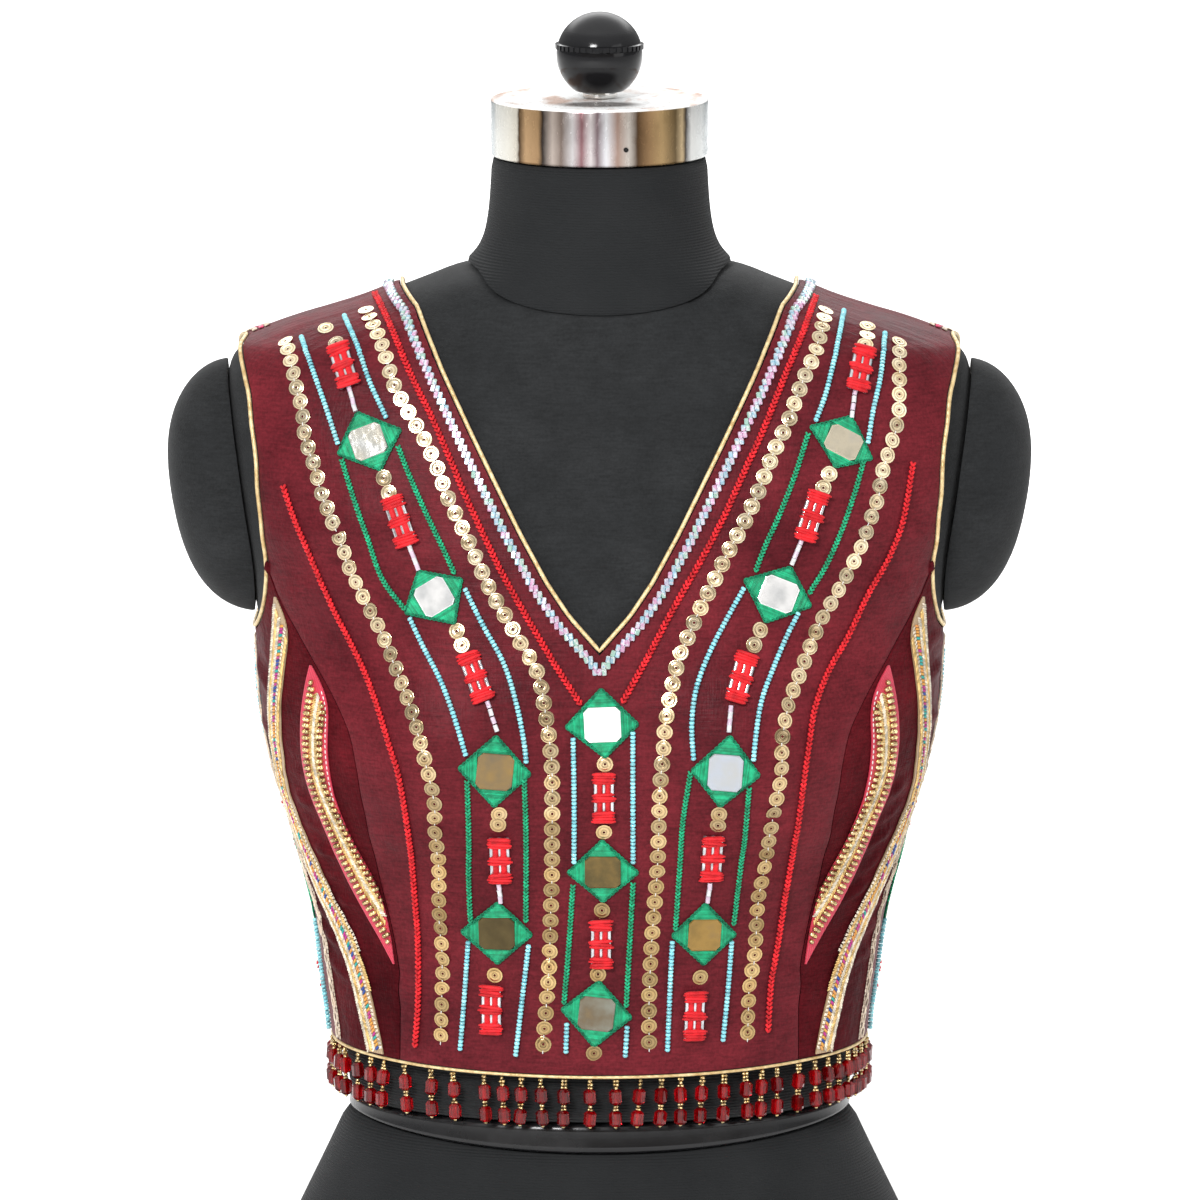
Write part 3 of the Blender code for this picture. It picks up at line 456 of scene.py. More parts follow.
    def shifted(self, spots: Array, sideways: Values) -> Array:
        """Path of places moved to its right, seen from outside, by millimetres over the cloth.

        Args:
            spots: array of places along the path.
            sideways: one distance or one for each place.

        Returns:
            Array of places.
        """
        points = self.cloth(spots)
        run = unit(np.gradient(points, axis=0))
        side = unit(np.cross(run, self.normal(spots)))
        sideways = np.broadcast_to(np.asarray(sideways, float), spots.shape[:1])
        return self.settle(points + side * sideways[:, None] * MM, spots)

    def make_tree(self) -> None:
        """Lay a lattice over the whole cloth, for rays to hit."""
        self.lattice_angles = np.radians(np.arange(-180.0, 180.1, self.lattice_turn))
        self.lattice_heights = np.arange(*self.lattice_span, self.lattice_rise)
        grid = places(self.lattice_angles[None, :], self.lattice_heights[:, None])
        points = self.cloth(grid).reshape(-1, 3)
        columns = len(self.lattice_angles)
        faces = []
        for row in range(len(self.lattice_heights) - 1):
            for column in range(columns - 1):
                first = row * columns + column
                faces.append((first, first + 1, first + columns + 1, first + columns))
        self.tree = BVHTree.FromPolygons(points.tolist(), faces)

    def hit(self, start: Array, direction: Array) -> Array:
        """Places where rays meet the cloth.

        Args:
            start: point that the rays start from, in metres.
            direction: array of directions.

        Returns:
            Array of places; a ray that misses takes no part.
        """
        if self.tree is None:
            self.make_tree()
        columns = len(self.lattice_angles) - 1
        found, points = [], []
        turn, rise = self.half_cell
        for way in direction:
            point, _, index, _ = self.tree.ray_cast(Vector(start), Vector(way))
            if point is None:
                continue
            row, column = divmod(index, columns)
            found.append((self.lattice_angles[column] + turn, self.lattice_heights[row] + rise))
            points.append(point)
        if len(found) < len(direction):
            log.info("%d of %d rays miss the cloth", len(direction) - len(found), len(direction))
        return self.settle(np.array(points), np.array(found))


@dataclass
class FrontView:
    """Camera that looks at the front, with a grid of 1200 by 1200 units laid over its picture."""

    aim: tuple = (0.00024, -0.003467, 0.3908)
    distance: float = 6.0
    elevation: float = 9.2
    unit_size: float = 0.000475
    units: int = 1200
    sensor: float = 36.0

    def __post_init__(self) -> None:
        """Work out the directions of the view."""
        tilt = math.radians(self.elevation)
        self.forward = np.array([0.0, math.cos(tilt), -math.sin(tilt)])
        self.up = np.array([0.0, math.sin(tilt), math.cos(tilt)])
        self.eye = np.array(self.aim) - self.forward * self.distance

    def rays(self, marks: Sequence) -> Array:
        """Directions from the camera through marks on the grid.

        Args:
            marks: pairs of units from the grid's left and from its top.

        Returns:
            Array of directions, one for each mark.
        """
        marks = np.asarray(marks, float)
        half = self.units / 2
        right = (marks[:, 0] - half) * self.unit_size
        rise = (half - marks[:, 1]) * self.unit_size
        return self.forward * self.distance + np.outer(right, [1.0, 0.0, 0.0]) + np.outer(rise, self.up)

    def add_camera(self) -> None:
        """Put the camera in place and make it the scene's."""
        bpy.ops.object.camera_add(location=tuple(self.eye), rotation=(math.radians(90.0 - self.elevation), 0, 0))
        camera = bpy.context.object
        camera.name = "front_camera"
        camera.data.lens = self.sensor * self.distance / (self.units * self.unit_size)
        camera.data.sensor_width = self.sensor
        camera.data.clip_end = 200.0
        bpy.context.scene.camera = camera


def smooth_line(knots: Sequence, step: float) -> Array:
    """Points on a smooth line through knots, about a step apart.

    Args:
        knots: array of points, two columns.
        step: spacing in the knots' own units.

    Returns:
        Array of points.
    """
    knots = np.asarray(knots, float)
    if len(knots) == 2:
        count = max(2, int(np.linalg.norm(knots[1] - knots[0]) / step) + 1)
        return knots[0] + (knots[1] - knots[0]) * shares(count)[:, None]
    ends = np.vstack([2 * knots[0] - knots[1], knots, 2 * knots[-1] - knots[-2]])
    line = []
    for a, b, c, d in zip(ends, ends[1:], ends[2:], ends[3:]):
        count = max(2, int(np.linalg.norm(c - b) / step) + 1)
        t = shares(count)[:-1, None]
        curve = 2 * b + (c - a) * t + (2 * a - 5 * b + 4 * c - d) * t**2 + (3 * b - a - 3 * c + d) * t**3
        line.append(curve / 2)
    return np.vstack(line + [knots[-1:]])


class Course:
    """Line over the cloth that stitches, beads and sequins follow."""

    probe: float = 0.6

    def __init__(self, body: Body, spots: Array) -> None:
        """Measure the line.

        Args:
            body: the body that the line lies on.
            spots: array of places along it, close together.
        """
        self.body = body
        self.spots = spots
        points = body.cloth(spots) / MM
        steps = np.linalg.norm(np.diff(points, axis=0), axis=1)
        self.lengths = np.concatenate([[0.0], np.cumsum(steps)])
        self.length = self.lengths[-1]

    def at(self, distances: Array) -> Array:
        """Places at distances along the line.

        Args:
            distances: in millimetres from the line's start.

        Returns:
            Array of places.
        """
        angle = np.interp(distances, self.lengths, self.spots[:, 0])
        height = np.interp(distances, self.lengths, self.spots[:, 1])
        return places(angle, height)

    def frames(
        self, pitch: float, lift: float, side: Values = 0.0, start: float = 0.0, stop: float | None = None,
        turn: float = 0.0,
    ) -> Array:
        """Upright frames evenly along the line: X runs along it and Z points out of the cloth.

        Args:
            pitch: spacing in millimetres.
            lift: distance off the cloth's outer face.
            side: shift to the line's right, seen from outside, in millimetres.
            start: where the first frame's space begins, in millimetres.
            stop: where the last one's ends; the line's own end if it isn't given.
            turn: turn about Z in degrees.

        Returns:
            Array of 4 by 4 matrices.
        """
        stop = self.length if stop is None else stop
        count = max(1, int(round((stop - start) / pitch)))
        middles = start + (np.arange(count) + 0.5) * (stop - start) / count
        spots = self.at(middles)
        points = self.body.cloth(spots, lift)
        run = self.body.cloth(self.at(middles + self.probe)) - self.body.cloth(self.at(middles - self.probe))
        normal = self.body.normal(spots)
        run = unit(run - normal * (run * normal).sum(-1)[:, None])
        left = np.cross(normal, run)
        points = points - left * np.broadcast_to(np.asarray(side, float), (count,))[:, None] * MM
        if turn:
            angle = math.radians(turn)
            cosine, sine = math.cos(angle), math.sin(angle)
            run, left = run * cosine + left * sine, left * cosine - run * sine
        made = np.zeros((count, 4, 4))
        made[:, :3, 0], made[:, :3, 1], made[:, :3, 2], made[:, :3, 3] = run, left, normal, points
        made[:, 3, 3] = 1.0
        return made


# ---- Working in Blender as by hand -----------------------------------------------------------------------
def deselect() -> None:
    """Leave edit mode and select nothing."""
    if bpy.context.object and bpy.context.object.mode != "OBJECT":
        bpy.ops.object.mode_set(mode="OBJECT")
    bpy.ops.object.select_all(action="DESELECT")


def choose(*objects: Piece) -> None:
    """Select these objects alone, the first one active.

    Args:
        objects: what to select.
    """
    deselect()
    for item in objects:
        item.select_set(True)
    bpy.context.view_layer.objects.active = objects[0]


def edit(item: Piece, mode: str = "FACE") -> None:
    """Open an object in edit mode with nothing selected.

    Args:
        item: the object.
        mode: whether corners, edges or faces are picked.
    """
    choose(item)
    bpy.ops.object.mode_set(mode="EDIT")
    bpy.ops.mesh.select_mode(type=mode)
    bpy.ops.mesh.select_all(action="DESELECT")


def close_edit() -> None:
    """Go back to object mode."""
    bpy.ops.object.mode_set(mode="OBJECT")


def pick_faces(item: Piece, test: Callable[[Vector, Vector], bool]) -> None:
    """Select the faces of the object in edit mode whose centre and normal pass a test.

    Args:
        item: the object.
        test: gets a face's centre and its normal.
    """
    mesh = bmesh.from_edit_mesh(item.data)
    for face in mesh.faces:
        face.select_set(bool(test(face.calc_center_median(), face.normal)))
    bmesh.update_edit_mesh(item.data)


def apply_modifier(item: Piece, kind: str, **settings: object) -> None:
    """Add a modifier and apply it.

    Args:
        item: the object.
        kind: the modifier's type.
        settings: its properties by name.
    """
    choose(item)
    made = item.modifiers.new(kind.lower(), kind)
    for key, value in settings.items():
        setattr(made, key, value)
    bpy.ops.object.modifier_apply(modifier=made.name)


def bevel(item: Piece, width: float, segments: int) -> None:
    """Round the sharp edges of an object.

    Args:
        item: the object.
        width: in millimetres.
        segments: faces across the rounding.
    """
    sharp = math.radians(SHARP_EDGE)
    apply_modifier(item, "BEVEL", width=width * MM, segments=segments, limit_method="ANGLE", angle_limit=sharp)


def clean(item: Piece, distance: float = 1e-7) -> None:
    """Merge doubled corners and turn the faces outwards.

    Args:
        item: the object.
        distance: how near two corners are merged, in metres.
    """
    edit(item)
    bpy.ops.mesh.select_all(action="SELECT")
    bpy.ops.mesh.remove_doubles(threshold=distance)
    bpy.ops.mesh.dissolve_degenerate(threshold=distance)
    bpy.ops.mesh.select_all(action="SELECT")
    bpy.ops.mesh.normals_make_consistent(inside=False)
    close_edit()


def shade(item: Piece, angle: float | None = None) -> None:
    """Shade smooth all over, or only across edges flatter than an angle in degrees.

    Args:
        item: the object.
        angle: in degrees; without it the whole piece is smooth.
    """
    choose(item)
    if angle is None:
        bpy.ops.object.shade_smooth()
    else:
        bpy.ops.object.shade_smooth_by_angle(angle=math.radians(angle))


def join(name: str, items: list[Piece]) -> Piece:
    """Join objects into one, with its place in its mesh.

    Args:
        name: the joined object's name.
        items: list of objects.

    Returns:
        The joined object.
    """
    choose(*items)
    if len(items) > 1:
        bpy.ops.object.join()
    made = bpy.context.object
    bpy.ops.object.transform_apply(location=True, rotation=True, scale=True)
    made.name = name
    made.data.name = name
    return made


def hand_in(item: Piece, slot: str, *nodes: str) -> Piece:
    """Give a finished piece its place in the frame, and hide the CAD nodes that it stands for.

    Args:
        item: the piece.
        slot: the record's material slot; not used.
        nodes: names of the CAD nodes.

    Returns:
        The piece.
    """
    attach(item, "root")
    if nodes:
        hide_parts(*nodes)
    log.info("%s: %d faces", item.name, len(item.data.polygons))
    return item


def set_tone(item: Piece, tone: float) -> None:
    """Store one number for the whole piece, from which its finish takes a shade.

    Args:
        item: the piece.
        tone: the number, mostly from 0 to 1.
    """
    mesh = item.data
    layer = mesh.attributes.get("tone") or mesh.attributes.new("tone", "FLOAT", "POINT")
    layer.data.foreach_set("value", np.full(len(mesh.vertices), tone, np.float32))


def variants(master: Piece, tones: tuple = (0.0, 0.25, 0.5, 0.75, 1.0)) -> list[Piece]:
    """Copies of a master, each with its own tone; the master itself is taken away.

    Args:
        master: the piece to copy.
        tones: a tone for each copy.

    Returns:
        List of the copies.
    """
    made = []
    for tone in tones:
        copy = bpy.data.objects.new(f"{master.name}_{tone:.2f}", master.data.copy())
        set_tone(copy, tone)
        made.append(copy)
    bpy.data.objects.remove(master)
    return made


def strew(
    masters: list[Piece], frames: Array, chance: random.Random, wobble: float = 0.0,
    order: Callable[[int], int] | None = None,
) -> list[Piece]:
    """Put a copy of a master, each with a mesh of its own, on every frame.

    Args:
        masters: list of masters to choose from.
        frames: array of 4 by 4 matrices.
        chance: the source of random choices.
        wobble: largest random tilt in degrees.
        order: function that gives the master's number for a frame's number.

    Returns:
        List of objects.
    """
    made = []
    for index, matrix in enumerate(frames):
        master = masters[order(index)] if order else chance.choice(masters)
        copy = bpy.data.objects.new("copy", master.data.copy())
        sizes = np.linalg.norm(matrix[:3, :3], axis=0)
        turned = matrix.copy()
        turned[:3, :3] /= sizes
        place = Matrix(turned.tolist())
        if wobble:
            for axis in "XYZ":
                place = place @ Matrix.Rotation(math.radians(chance.uniform(-wobble, wobble)), 4, axis)
        copy.matrix_world = place @ Matrix.Diagonal((*sizes, 1.0))
        bpy.context.collection.objects.link(copy)
        made.append(copy)
    return made


def raw_piece(name: str, vertices: list, faces: list, chart: list, finish: Material) -> Piece:
    """Object from corners and faces.

    Args:
        name: its name.
        vertices: its corners in metres.
        faces: tuples of corners' numbers.
        chart: a place on the map for each corner of each face in turn.
        finish: its material.

    Returns:
        The object.
    """
    mesh = bpy.data.meshes.new(name)
    mesh.from_pydata(vertices, [], faces)
    layer = mesh.uv_layers.new(name="UVMap")
    for loop, spot in zip(layer.data, chart):
        loop.uv = spot
    mesh.materials.append(finish)
    made = bpy.data.objects.new(name, mesh)
    bpy.context.collection.objects.link(made)
    return made


def grid_piece(name: str, grids: list[tuple[Array, Array]], finish: Material, thickness: float) -> Piece:
    """Sheet from grids of points, welded where they meet and given its thickness inwards.

    Args:
        name: the piece's name.
        grids: list of (points, map) pairs: rows by columns by 3, in metres, and rows by columns by 2.
        finish: its material.
        thickness: in millimetres.

    Returns:
        The object.
    """
    vertices, faces, flat = [], [], []
    for points, chart in grids:
        first = len(vertices)
        rows, columns = points.shape[:2]
        vertices += points.reshape(-1, 3).tolist()
        flat += chart.reshape(-1, 2).tolist()
        for row in range(rows - 1):
            for column in range(columns - 1):
                corner = first + row * columns + column
                faces.append((corner, corner + 1, corner + columns + 1, corner + columns))
    made = raw_piece(name, vertices, faces, [flat[corner] for face in faces for corner in face], finish)
    edit(made)
    bpy.ops.mesh.select_all(action="SELECT")
    bpy.ops.mesh.remove_doubles(threshold=2e-6)
    close_edit()
    apply_modifier(made, "SOLIDIFY", thickness=thickness * MM, offset=-1.0)
    shade(made, SOFT_PIECE)
    return made


def tube_piece(
    name: str, points: Array, normals: Array, radius: float, finish: Material, sides: int = 8, closed: bool = True
) -> Piece:
    """Round cord through points, with a map that runs along it in metres.

    Args:
        name: the piece's name.
        points: array of points in metres.
        normals: array of directions out of the surface that it lies on.
        radius: in millimetres.
        finish: its material.
        sides: corners of its section.
        closed: whether its end meets its start.

    Returns:
        The object.
    """
    count = len(points)
    ahead = np.roll(points, -1, axis=0) - np.roll(points, 1, axis=0)
    if not closed:
        ahead = np.gradient(points, axis=0)
    run = unit(ahead)
    normals = unit(normals - run * (normals * run).sum(-1)[:, None])
    side = np.cross(run, normals)
    turns = np.linspace(0.0, math.tau, sides, endpoint=False)
    ring = np.cos(turns)[None, :, None] * side[:, None, :] + np.sin(turns)[None, :, None] * normals[:, None, :]
    vertices = (points[:, None, :] + ring * radius * MM).reshape(-1, 3)
    steps = np.linalg.norm(np.diff(points, axis=0, append=points[:1]), axis=1)
    travelled = np.concatenate([[0.0], np.cumsum(steps)])
    faces, chart = [], []
    for i in range(count if closed else count - 1):
        j = (i + 1) % count
        for k in range(sides):
            m = (k + 1) % sides
            faces.append((i * sides + k, j * sides + k, j * sides + m, i * sides + m))
            low, high = k / sides, (k + 1) / sides
            here, there = travelled[i], travelled[i + 1]
            chart += [(here, low), (there, low), (there, high), (here, high)]
    if not closed:
        faces += [tuple(range(sides))[::-1], tuple(range((count - 1) * sides, count * sides))]
        chart += [(0.0, 0.0)] * (2 * sides)
    made = raw_piece(name, vertices.tolist(), faces, chart, finish)
    clean(made, 1e-8)
    shade(made)
    return made


# ---- Finishes ----------------------------------------------------------------------------------------------
WAVE_SCALE = math.tau / 20  # a wave texture's scale for bands one unit apart
WAIST_RIB_PITCH = 0.0014
SHARP_FADE = 0.001  # half the height over which one look gives way to the next, in metres
MID_NOISE = (0.3, 0.7)  # the part of a noise pattern's range that most of it lies in
PAINTED_SHADE_SPAN = (0.27, 0.45)  # heights in metres between which a finish's painted shade below fades out


class Pattern(Enum):
    """Fine relief of a finish."""

    PLAIN = "plain"
    WEAVE = "weave"
    RIBBED = "ribbed"
    TWIST = "twist"
    RINGS = "rings"
    FIBRE = "fibre"
    BRUSHED = "brushed"


class Recipe:
    """Nodes of one material, put together step by step."""

    def __init__(self, name: str) -> None:
        """Start a material with its shader.

        Args:
            name: the material's name.
        """
        self.material = bpy.data.materials.new(name)
        self.material.use_nodes = True
        self.tree = self.material.node_tree
        self.shader = self.tree.nodes["Principled BSDF"]

    def node(self, kind: str, **settings: object) -> Node:
        """Add a node and set its properties.

        Args:
            kind: the node's type.
            settings: its properties by name.

        Returns:
            The node.
        """
        made = self.tree.nodes.new(kind)
        for key, value in settings.items():
            setattr(made, key, value)
        return made

    def link(self, output: Socket, socket: Socket) -> None:
        """Join an output to an input."""
        self.tree.links.new(output, socket)

    def sockets(self, **values: object) -> None:
        """Set the shader's own inputs; an underscore in a name stands for a space."""
        for key, value in values.items():
            self.shader.inputs[key.replace("_", " ")].default_value = value

    def place(self, flat: bool = False, stretch: tuple = (1.0, 1.0, 1.0)) -> Socket:
        """The piece's own map, or its object's coordinates, stretched.

        Args:
            flat: whether to use the piece's own map.
            stretch: how often the pattern repeats along each axis.

        Returns:
            Socket of the coordinates.
        """
        source = self.node("ShaderNodeTexCoord").outputs["UV" if flat else "Object"]
        mapping = self.node("ShaderNodeMapping")
        mapping.inputs["Scale"].default_value = stretch
        self.link(source, mapping.inputs["Vector"])
        return mapping.outputs["Vector"]

    def noise(self, where: Socket, scale: float, detail: float = 2.0) -> Socket:
        """Soft random pattern from 0 to 1.

        Args:
            where: coordinates.
            scale: patches to a unit.
            detail: how many finer layers it has.

        Returns:
            Socket of the pattern.
        """
        made = self.node("ShaderNodeTexNoise")
        made.inputs["Scale"].default_value = scale
        made.inputs["Detail"].default_value = detail
        self.link(where, made.inputs["Vector"])
        return made.outputs["Fac"]

    def wave(self, where: Socket, scale: float, direction: str = "X", bend: float = 0.0) -> Socket:
        """Even bands from 0 to 1.

        Args:
            where: coordinates.
            scale: the texture's scale.
            direction: axis that the bands cross.
            bend: how wavy they are.

        Returns:
            Socket of the pattern.
        """
        made = self.node("ShaderNodeTexWave", bands_direction=direction)
        made.inputs["Scale"].default_value = scale
        made.inputs["Distortion"].default_value = bend
        self.link(where, made.inputs["Vector"])
        return made.outputs["Fac"]

    def sum(self, first: Input, second: Input, how: str = "ADD") -> Socket:
        """Two values or sockets put together by a sum.

        Args:
            first: a number or a socket.
            second: a number or a socket.
            how: the kind of sum.

        Returns:
            Socket of the result.
        """
        made = self.node("ShaderNodeMath", operation=how)
        for socket, value in zip(made.inputs, (first, second)):
            if isinstance(value, (int, float)):
                socket.default_value = value
            else:
                self.link(value, socket)
        return made.outputs[0]

    def reach(self, value: Socket, low: float, high: float, start: float = 0.0, end: float = 1.0) -> Socket:
        """A value's range laid on another one.

        Args:
            value: the value's socket.
            low: what its start becomes.
            high: what its end becomes.
            start: the start of its range.
            end: the end of its range.

        Returns:
            Socket of the result.
        """
        made = self.node("ShaderNodeMapRange")
        for key, number in (("From Min", start), ("From Max", end), ("To Min", low), ("To Max", high)):
            made.inputs[key].default_value = number
        self.link(value, made.inputs["Value"])
        return made.outputs["Result"]

    def mix(self, share: Input, first: Input, second: Input, how: str = "MIX") -> Socket:
        """Two colours mixed; each is a colour or a socket.

        Args:
            share: how much of the second colour there is.
            first: a colour or a socket.
            second: a colour or a socket.
            how: the kind of mix.

        Returns:
            Socket of the colour.
        """
        made = self.node("ShaderNodeMix", data_type="RGBA", blend_type=how)
        for socket, value in zip((made.inputs[0], made.inputs[6], made.inputs[7]), (share, first, second)):
            if isinstance(value, (int, float)):
                socket.default_value = value
            elif isinstance(value, tuple):
                socket.default_value = (*value, 1.0)
            else:
                self.link(value, socket)
        return made.outputs[2]

    def ramp(self, share: Socket, stops: tuple) -> Socket:
        """Colour read off a row of (position, colour) stops.

        Args:
            share: where to read the row.
            stops: the row, from 0 to 1.

        Returns:
            Socket of the colour.
        """
        made = self.node("ShaderNodeValToRGB")
        row = made.color_ramp.elements
        row[0].position, row[1].position = stops[0][0], stops[-1][0]
        row[0].color, row[1].color = (*stops[0][1], 1.0), (*stops[-1][1], 1.0)
        for position, colour in stops[1:-1]:
            row.new(position).color = (*colour, 1.0)
        self.link(share, made.inputs["Fac"])
        return made.outputs["Color"]

    def axis(self, letter: str) -> Socket:
        """One of the piece's coordinates.

        Args:
            letter: X, Y or Z.

        Returns:
            Socket of the coordinate in metres.
        """
        split = self.node("ShaderNodeSeparateXYZ")
        self.link(self.place(), split.inputs[0])
        return split.outputs[letter]

    def tone(self) -> Socket:
        """The number stored on the piece."""
        return self.node("ShaderNodeAttribute", attribute_name="tone").outputs["Fac"]

    def colour(self, output: Socket) -> None:
        """Use a colour as the base."""
        self.link(output, self.shader.inputs["Base Color"])

    def rough(self, output: Socket) -> None:
        """Use a value as the roughness."""
        self.link(output, self.shader.inputs["Roughness"])

    def bump(self, height: Socket, depth: Values, strength: float = 1.0) -> None:
        """Relief as deep as a distance in metres.

        Args:
            height: socket of the relief's pattern.
            depth: in metres.
            strength: share of the relief that shows.
        """
        made = self.node("ShaderNodeBump")
        made.inputs["Strength"].default_value = strength
        made.inputs["Distance"].default_value = depth
        self.link(height, made.inputs["Height"])
        self.link(made.outputs["Normal"], self.shader.inputs["Normal"])


class SkyRecipe(Recipe):
    """Nodes of the light that comes from all round."""

    def __init__(self) -> None:
        """Start a new world as the scene's own."""
        world = bpy.data.worlds.new("studio")
        bpy.context.scene.world = world
        world.use_nodes = True
        self.tree = world.node_tree


@dataclass(frozen=True)
class Finish:
    """One finish: two shades that drift over the piece, its gloss and its fine relief.

    Sizes are in metres: drift is the size of the patches of shade, pitch and depth are the relief's.
    """

    name: str
    dark: tuple
    light: tuple
    drift: float = 0.02
    rough: tuple = (0.5, 0.6)
    metal: float = 0.0
    sheen: float = 0.0
    sheen_tint: tuple = (1.0, 1.0, 1.0)
    coat: float = 0.0
    pattern: Pattern = Pattern.FIBRE
    pitch: float = 0.001
    depth: float = 0.0001
    toned: float = 0.0
    tint: tuple = None
    clear: float = 0.0
    gloss: float = 0.5
    # painted shade: the colour is multiplied by this towards the bottom
    painted_shade_below: tuple = None
    grain: float = 0.0
    # how much painted shade darkens the grooves of the relief
    painted_groove_shade: float = 0.0
    ribbed_below: float = 0.0
    rib_share: float = 1.6
    fuzz_scale: float = 900.0
    yarn_stretch: tuple = (0.12, 0.08)
    crush_scale: float = 90.0
    crush_share: float = 5.0
    brush_stretch: float = 0.06
    cord_stretch: float = 0.25
    painted_groove_span: tuple = (-1.0, 0.1)
    cloud_scale: float = 70.0
    cloud_share: float = 0.8
    speckle_span: tuple = (1.0, 1.8)

    def relief(self, recipe: Recipe) -> Socket | None:
        """Height pattern of the relief.

        Args:
            recipe: the material's nodes.

        Returns:
            Socket of the pattern.
        """
        if self.pattern is Pattern.WEAVE:
            flat = recipe.place(flat=True)
            down, across = self.yarn_stretch
            upright, level = (1 / self.pitch, down / self.pitch, 1.0), (across / self.pitch, 1 / self.pitch, 1.0)
            warp = recipe.noise(recipe.place(flat=True, stretch=upright), 1.0, 2.0)
            slub = recipe.noise(recipe.place(flat=True, stretch=level), 1.0, 3.0)
            crush = recipe.noise(flat, self.crush_scale, 3.0)
            return recipe.sum(recipe.sum(warp, slub), recipe.sum(crush, self.crush_share, "MULTIPLY"))
        if self.pattern is Pattern.RIBBED:
            ribs = recipe.wave(recipe.place(), WAVE_SCALE / self.pitch, "Z", 0.0)
            return recipe.sum(ribs, recipe.noise(recipe.place(), self.fuzz_scale, 2.0))
        if self.pattern is Pattern.TWIST:
            flat = recipe.place(flat=True, stretch=(WAVE_SCALE / self.pitch, self.cord_stretch, 1.0))
            made = recipe.node("ShaderNodeTexWave", bands_direction="DIAGONAL")
            made.inputs["Scale"].default_value = 1.0
            recipe.link(flat, made.inputs["Vector"])
            return made.outputs["Fac"]
        if self.pattern is Pattern.RINGS:
            centred = recipe.node("ShaderNodeVectorMath", operation="SUBTRACT")
            centred.inputs[1].default_value = (0.5, 0.5, 0.0)
            recipe.link(recipe.place(flat=True), centred.inputs[0])
            length = recipe.node("ShaderNodeVectorMath", operation="LENGTH")
            recipe.link(centred.outputs[0], length.inputs[0])
            return recipe.sum(recipe.sum(length.outputs["Value"], 1 / self.pitch, "MULTIPLY"), 0.0, "SINE")
        if self.pattern is Pattern.BRUSHED:
            return recipe.noise(recipe.place(stretch=(1.0, 1.0, self.brush_stretch)), 1 / self.pitch, 3.0)
        fibre = recipe.noise(recipe.place(), 1 / self.pitch, 2.0)
        if not self.ribbed_below:
            return fibre
        edge = (self.ribbed_below - SHARP_FADE, self.ribbed_below + SHARP_FADE)
        low = recipe.reach(recipe.axis("Z"), 1.0, 0.0, *edge)
        ribs = recipe.wave(recipe.place(), WAVE_SCALE / WAIST_RIB_PITCH, "Z", 0.0)
        return recipe.sum(fibre, recipe.sum(recipe.sum(ribs, low, "MULTIPLY"), self.rib_share, "MULTIPLY"))

    def make(self) -> Material:
        """Build the material.

        Returns:
            The material.
        """
        recipe = Recipe(self.name)
        patches = recipe.noise(recipe.place(), 1 / self.drift, 3.0)
        colour = recipe.mix(recipe.reach(patches, 0.0, 1.0, *MID_NOISE), self.dark, self.light)
        if self.toned:
            low, high = 1.0 - self.toned, 1.0 + self.toned
            shade_of = recipe.reach(recipe.tone(), low, high)
            grey = recipe.node("ShaderNodeCombineColor")
            for socket in grey.inputs[:3]:
                recipe.link(shade_of, socket)
            colour = recipe.mix(1.0, colour, grey.outputs[0], "MULTIPLY")
        if self.grain:
            fine = recipe.noise(recipe.place(), 0.55 / self.pitch, 2.0)
            streaks = recipe.noise(recipe.place(stretch=(0.16, 0.16, 1.0)), 0.7 / self.pitch, 2.0)
            cloud = recipe.noise(recipe.place(), self.cloud_scale, 3.0)
            share = recipe.sum(recipe.sum(fine, streaks), recipe.sum(cloud, self.cloud_share, "MULTIPLY"))
            speckle = recipe.reach(share, 1 - self.grain, 1 + self.grain, *self.speckle_span)
            colour = recipe.mix(1.0, colour, speckle, "MULTIPLY")
        relief = self.relief(recipe)
        # painted shade: the colour is darker in the relief's grooves
        if self.painted_groove_shade:
            line = recipe.reach(relief, 1 - self.painted_groove_shade, 1.0, *self.painted_groove_span)
            colour = recipe.mix(1.0, colour, line, "MULTIPLY")
        # painted shade, darker towards the bottom
        if self.painted_shade_below:
            low = recipe.reach(recipe.axis("Z"), 1.0, 0.0, *PAINTED_SHADE_SPAN)
            colour = recipe.mix(1.0, recipe.mix(low, (1.0, 1.0, 1.0), self.painted_shade_below), colour, "MULTIPLY")
        if self.tint:
            colour = recipe.mix(recipe.tone(), colour, self.tint)
        recipe.colour(colour)
        recipe.rough(recipe.reach(patches, *self.rough, *MID_NOISE))
        recipe.sockets(Metallic=self.metal, Sheen_Weight=self.sheen, Coat_Weight=self.coat)
        recipe.sockets(Sheen_Tint=(*self.sheen_tint, 1.0), Transmission_Weight=self.clear)
        recipe.sockets(Specular_IOR_Level=self.gloss)
        if self.pattern is not Pattern.PLAIN:
            recipe.bump(relief, self.depth)
        return recipe.material


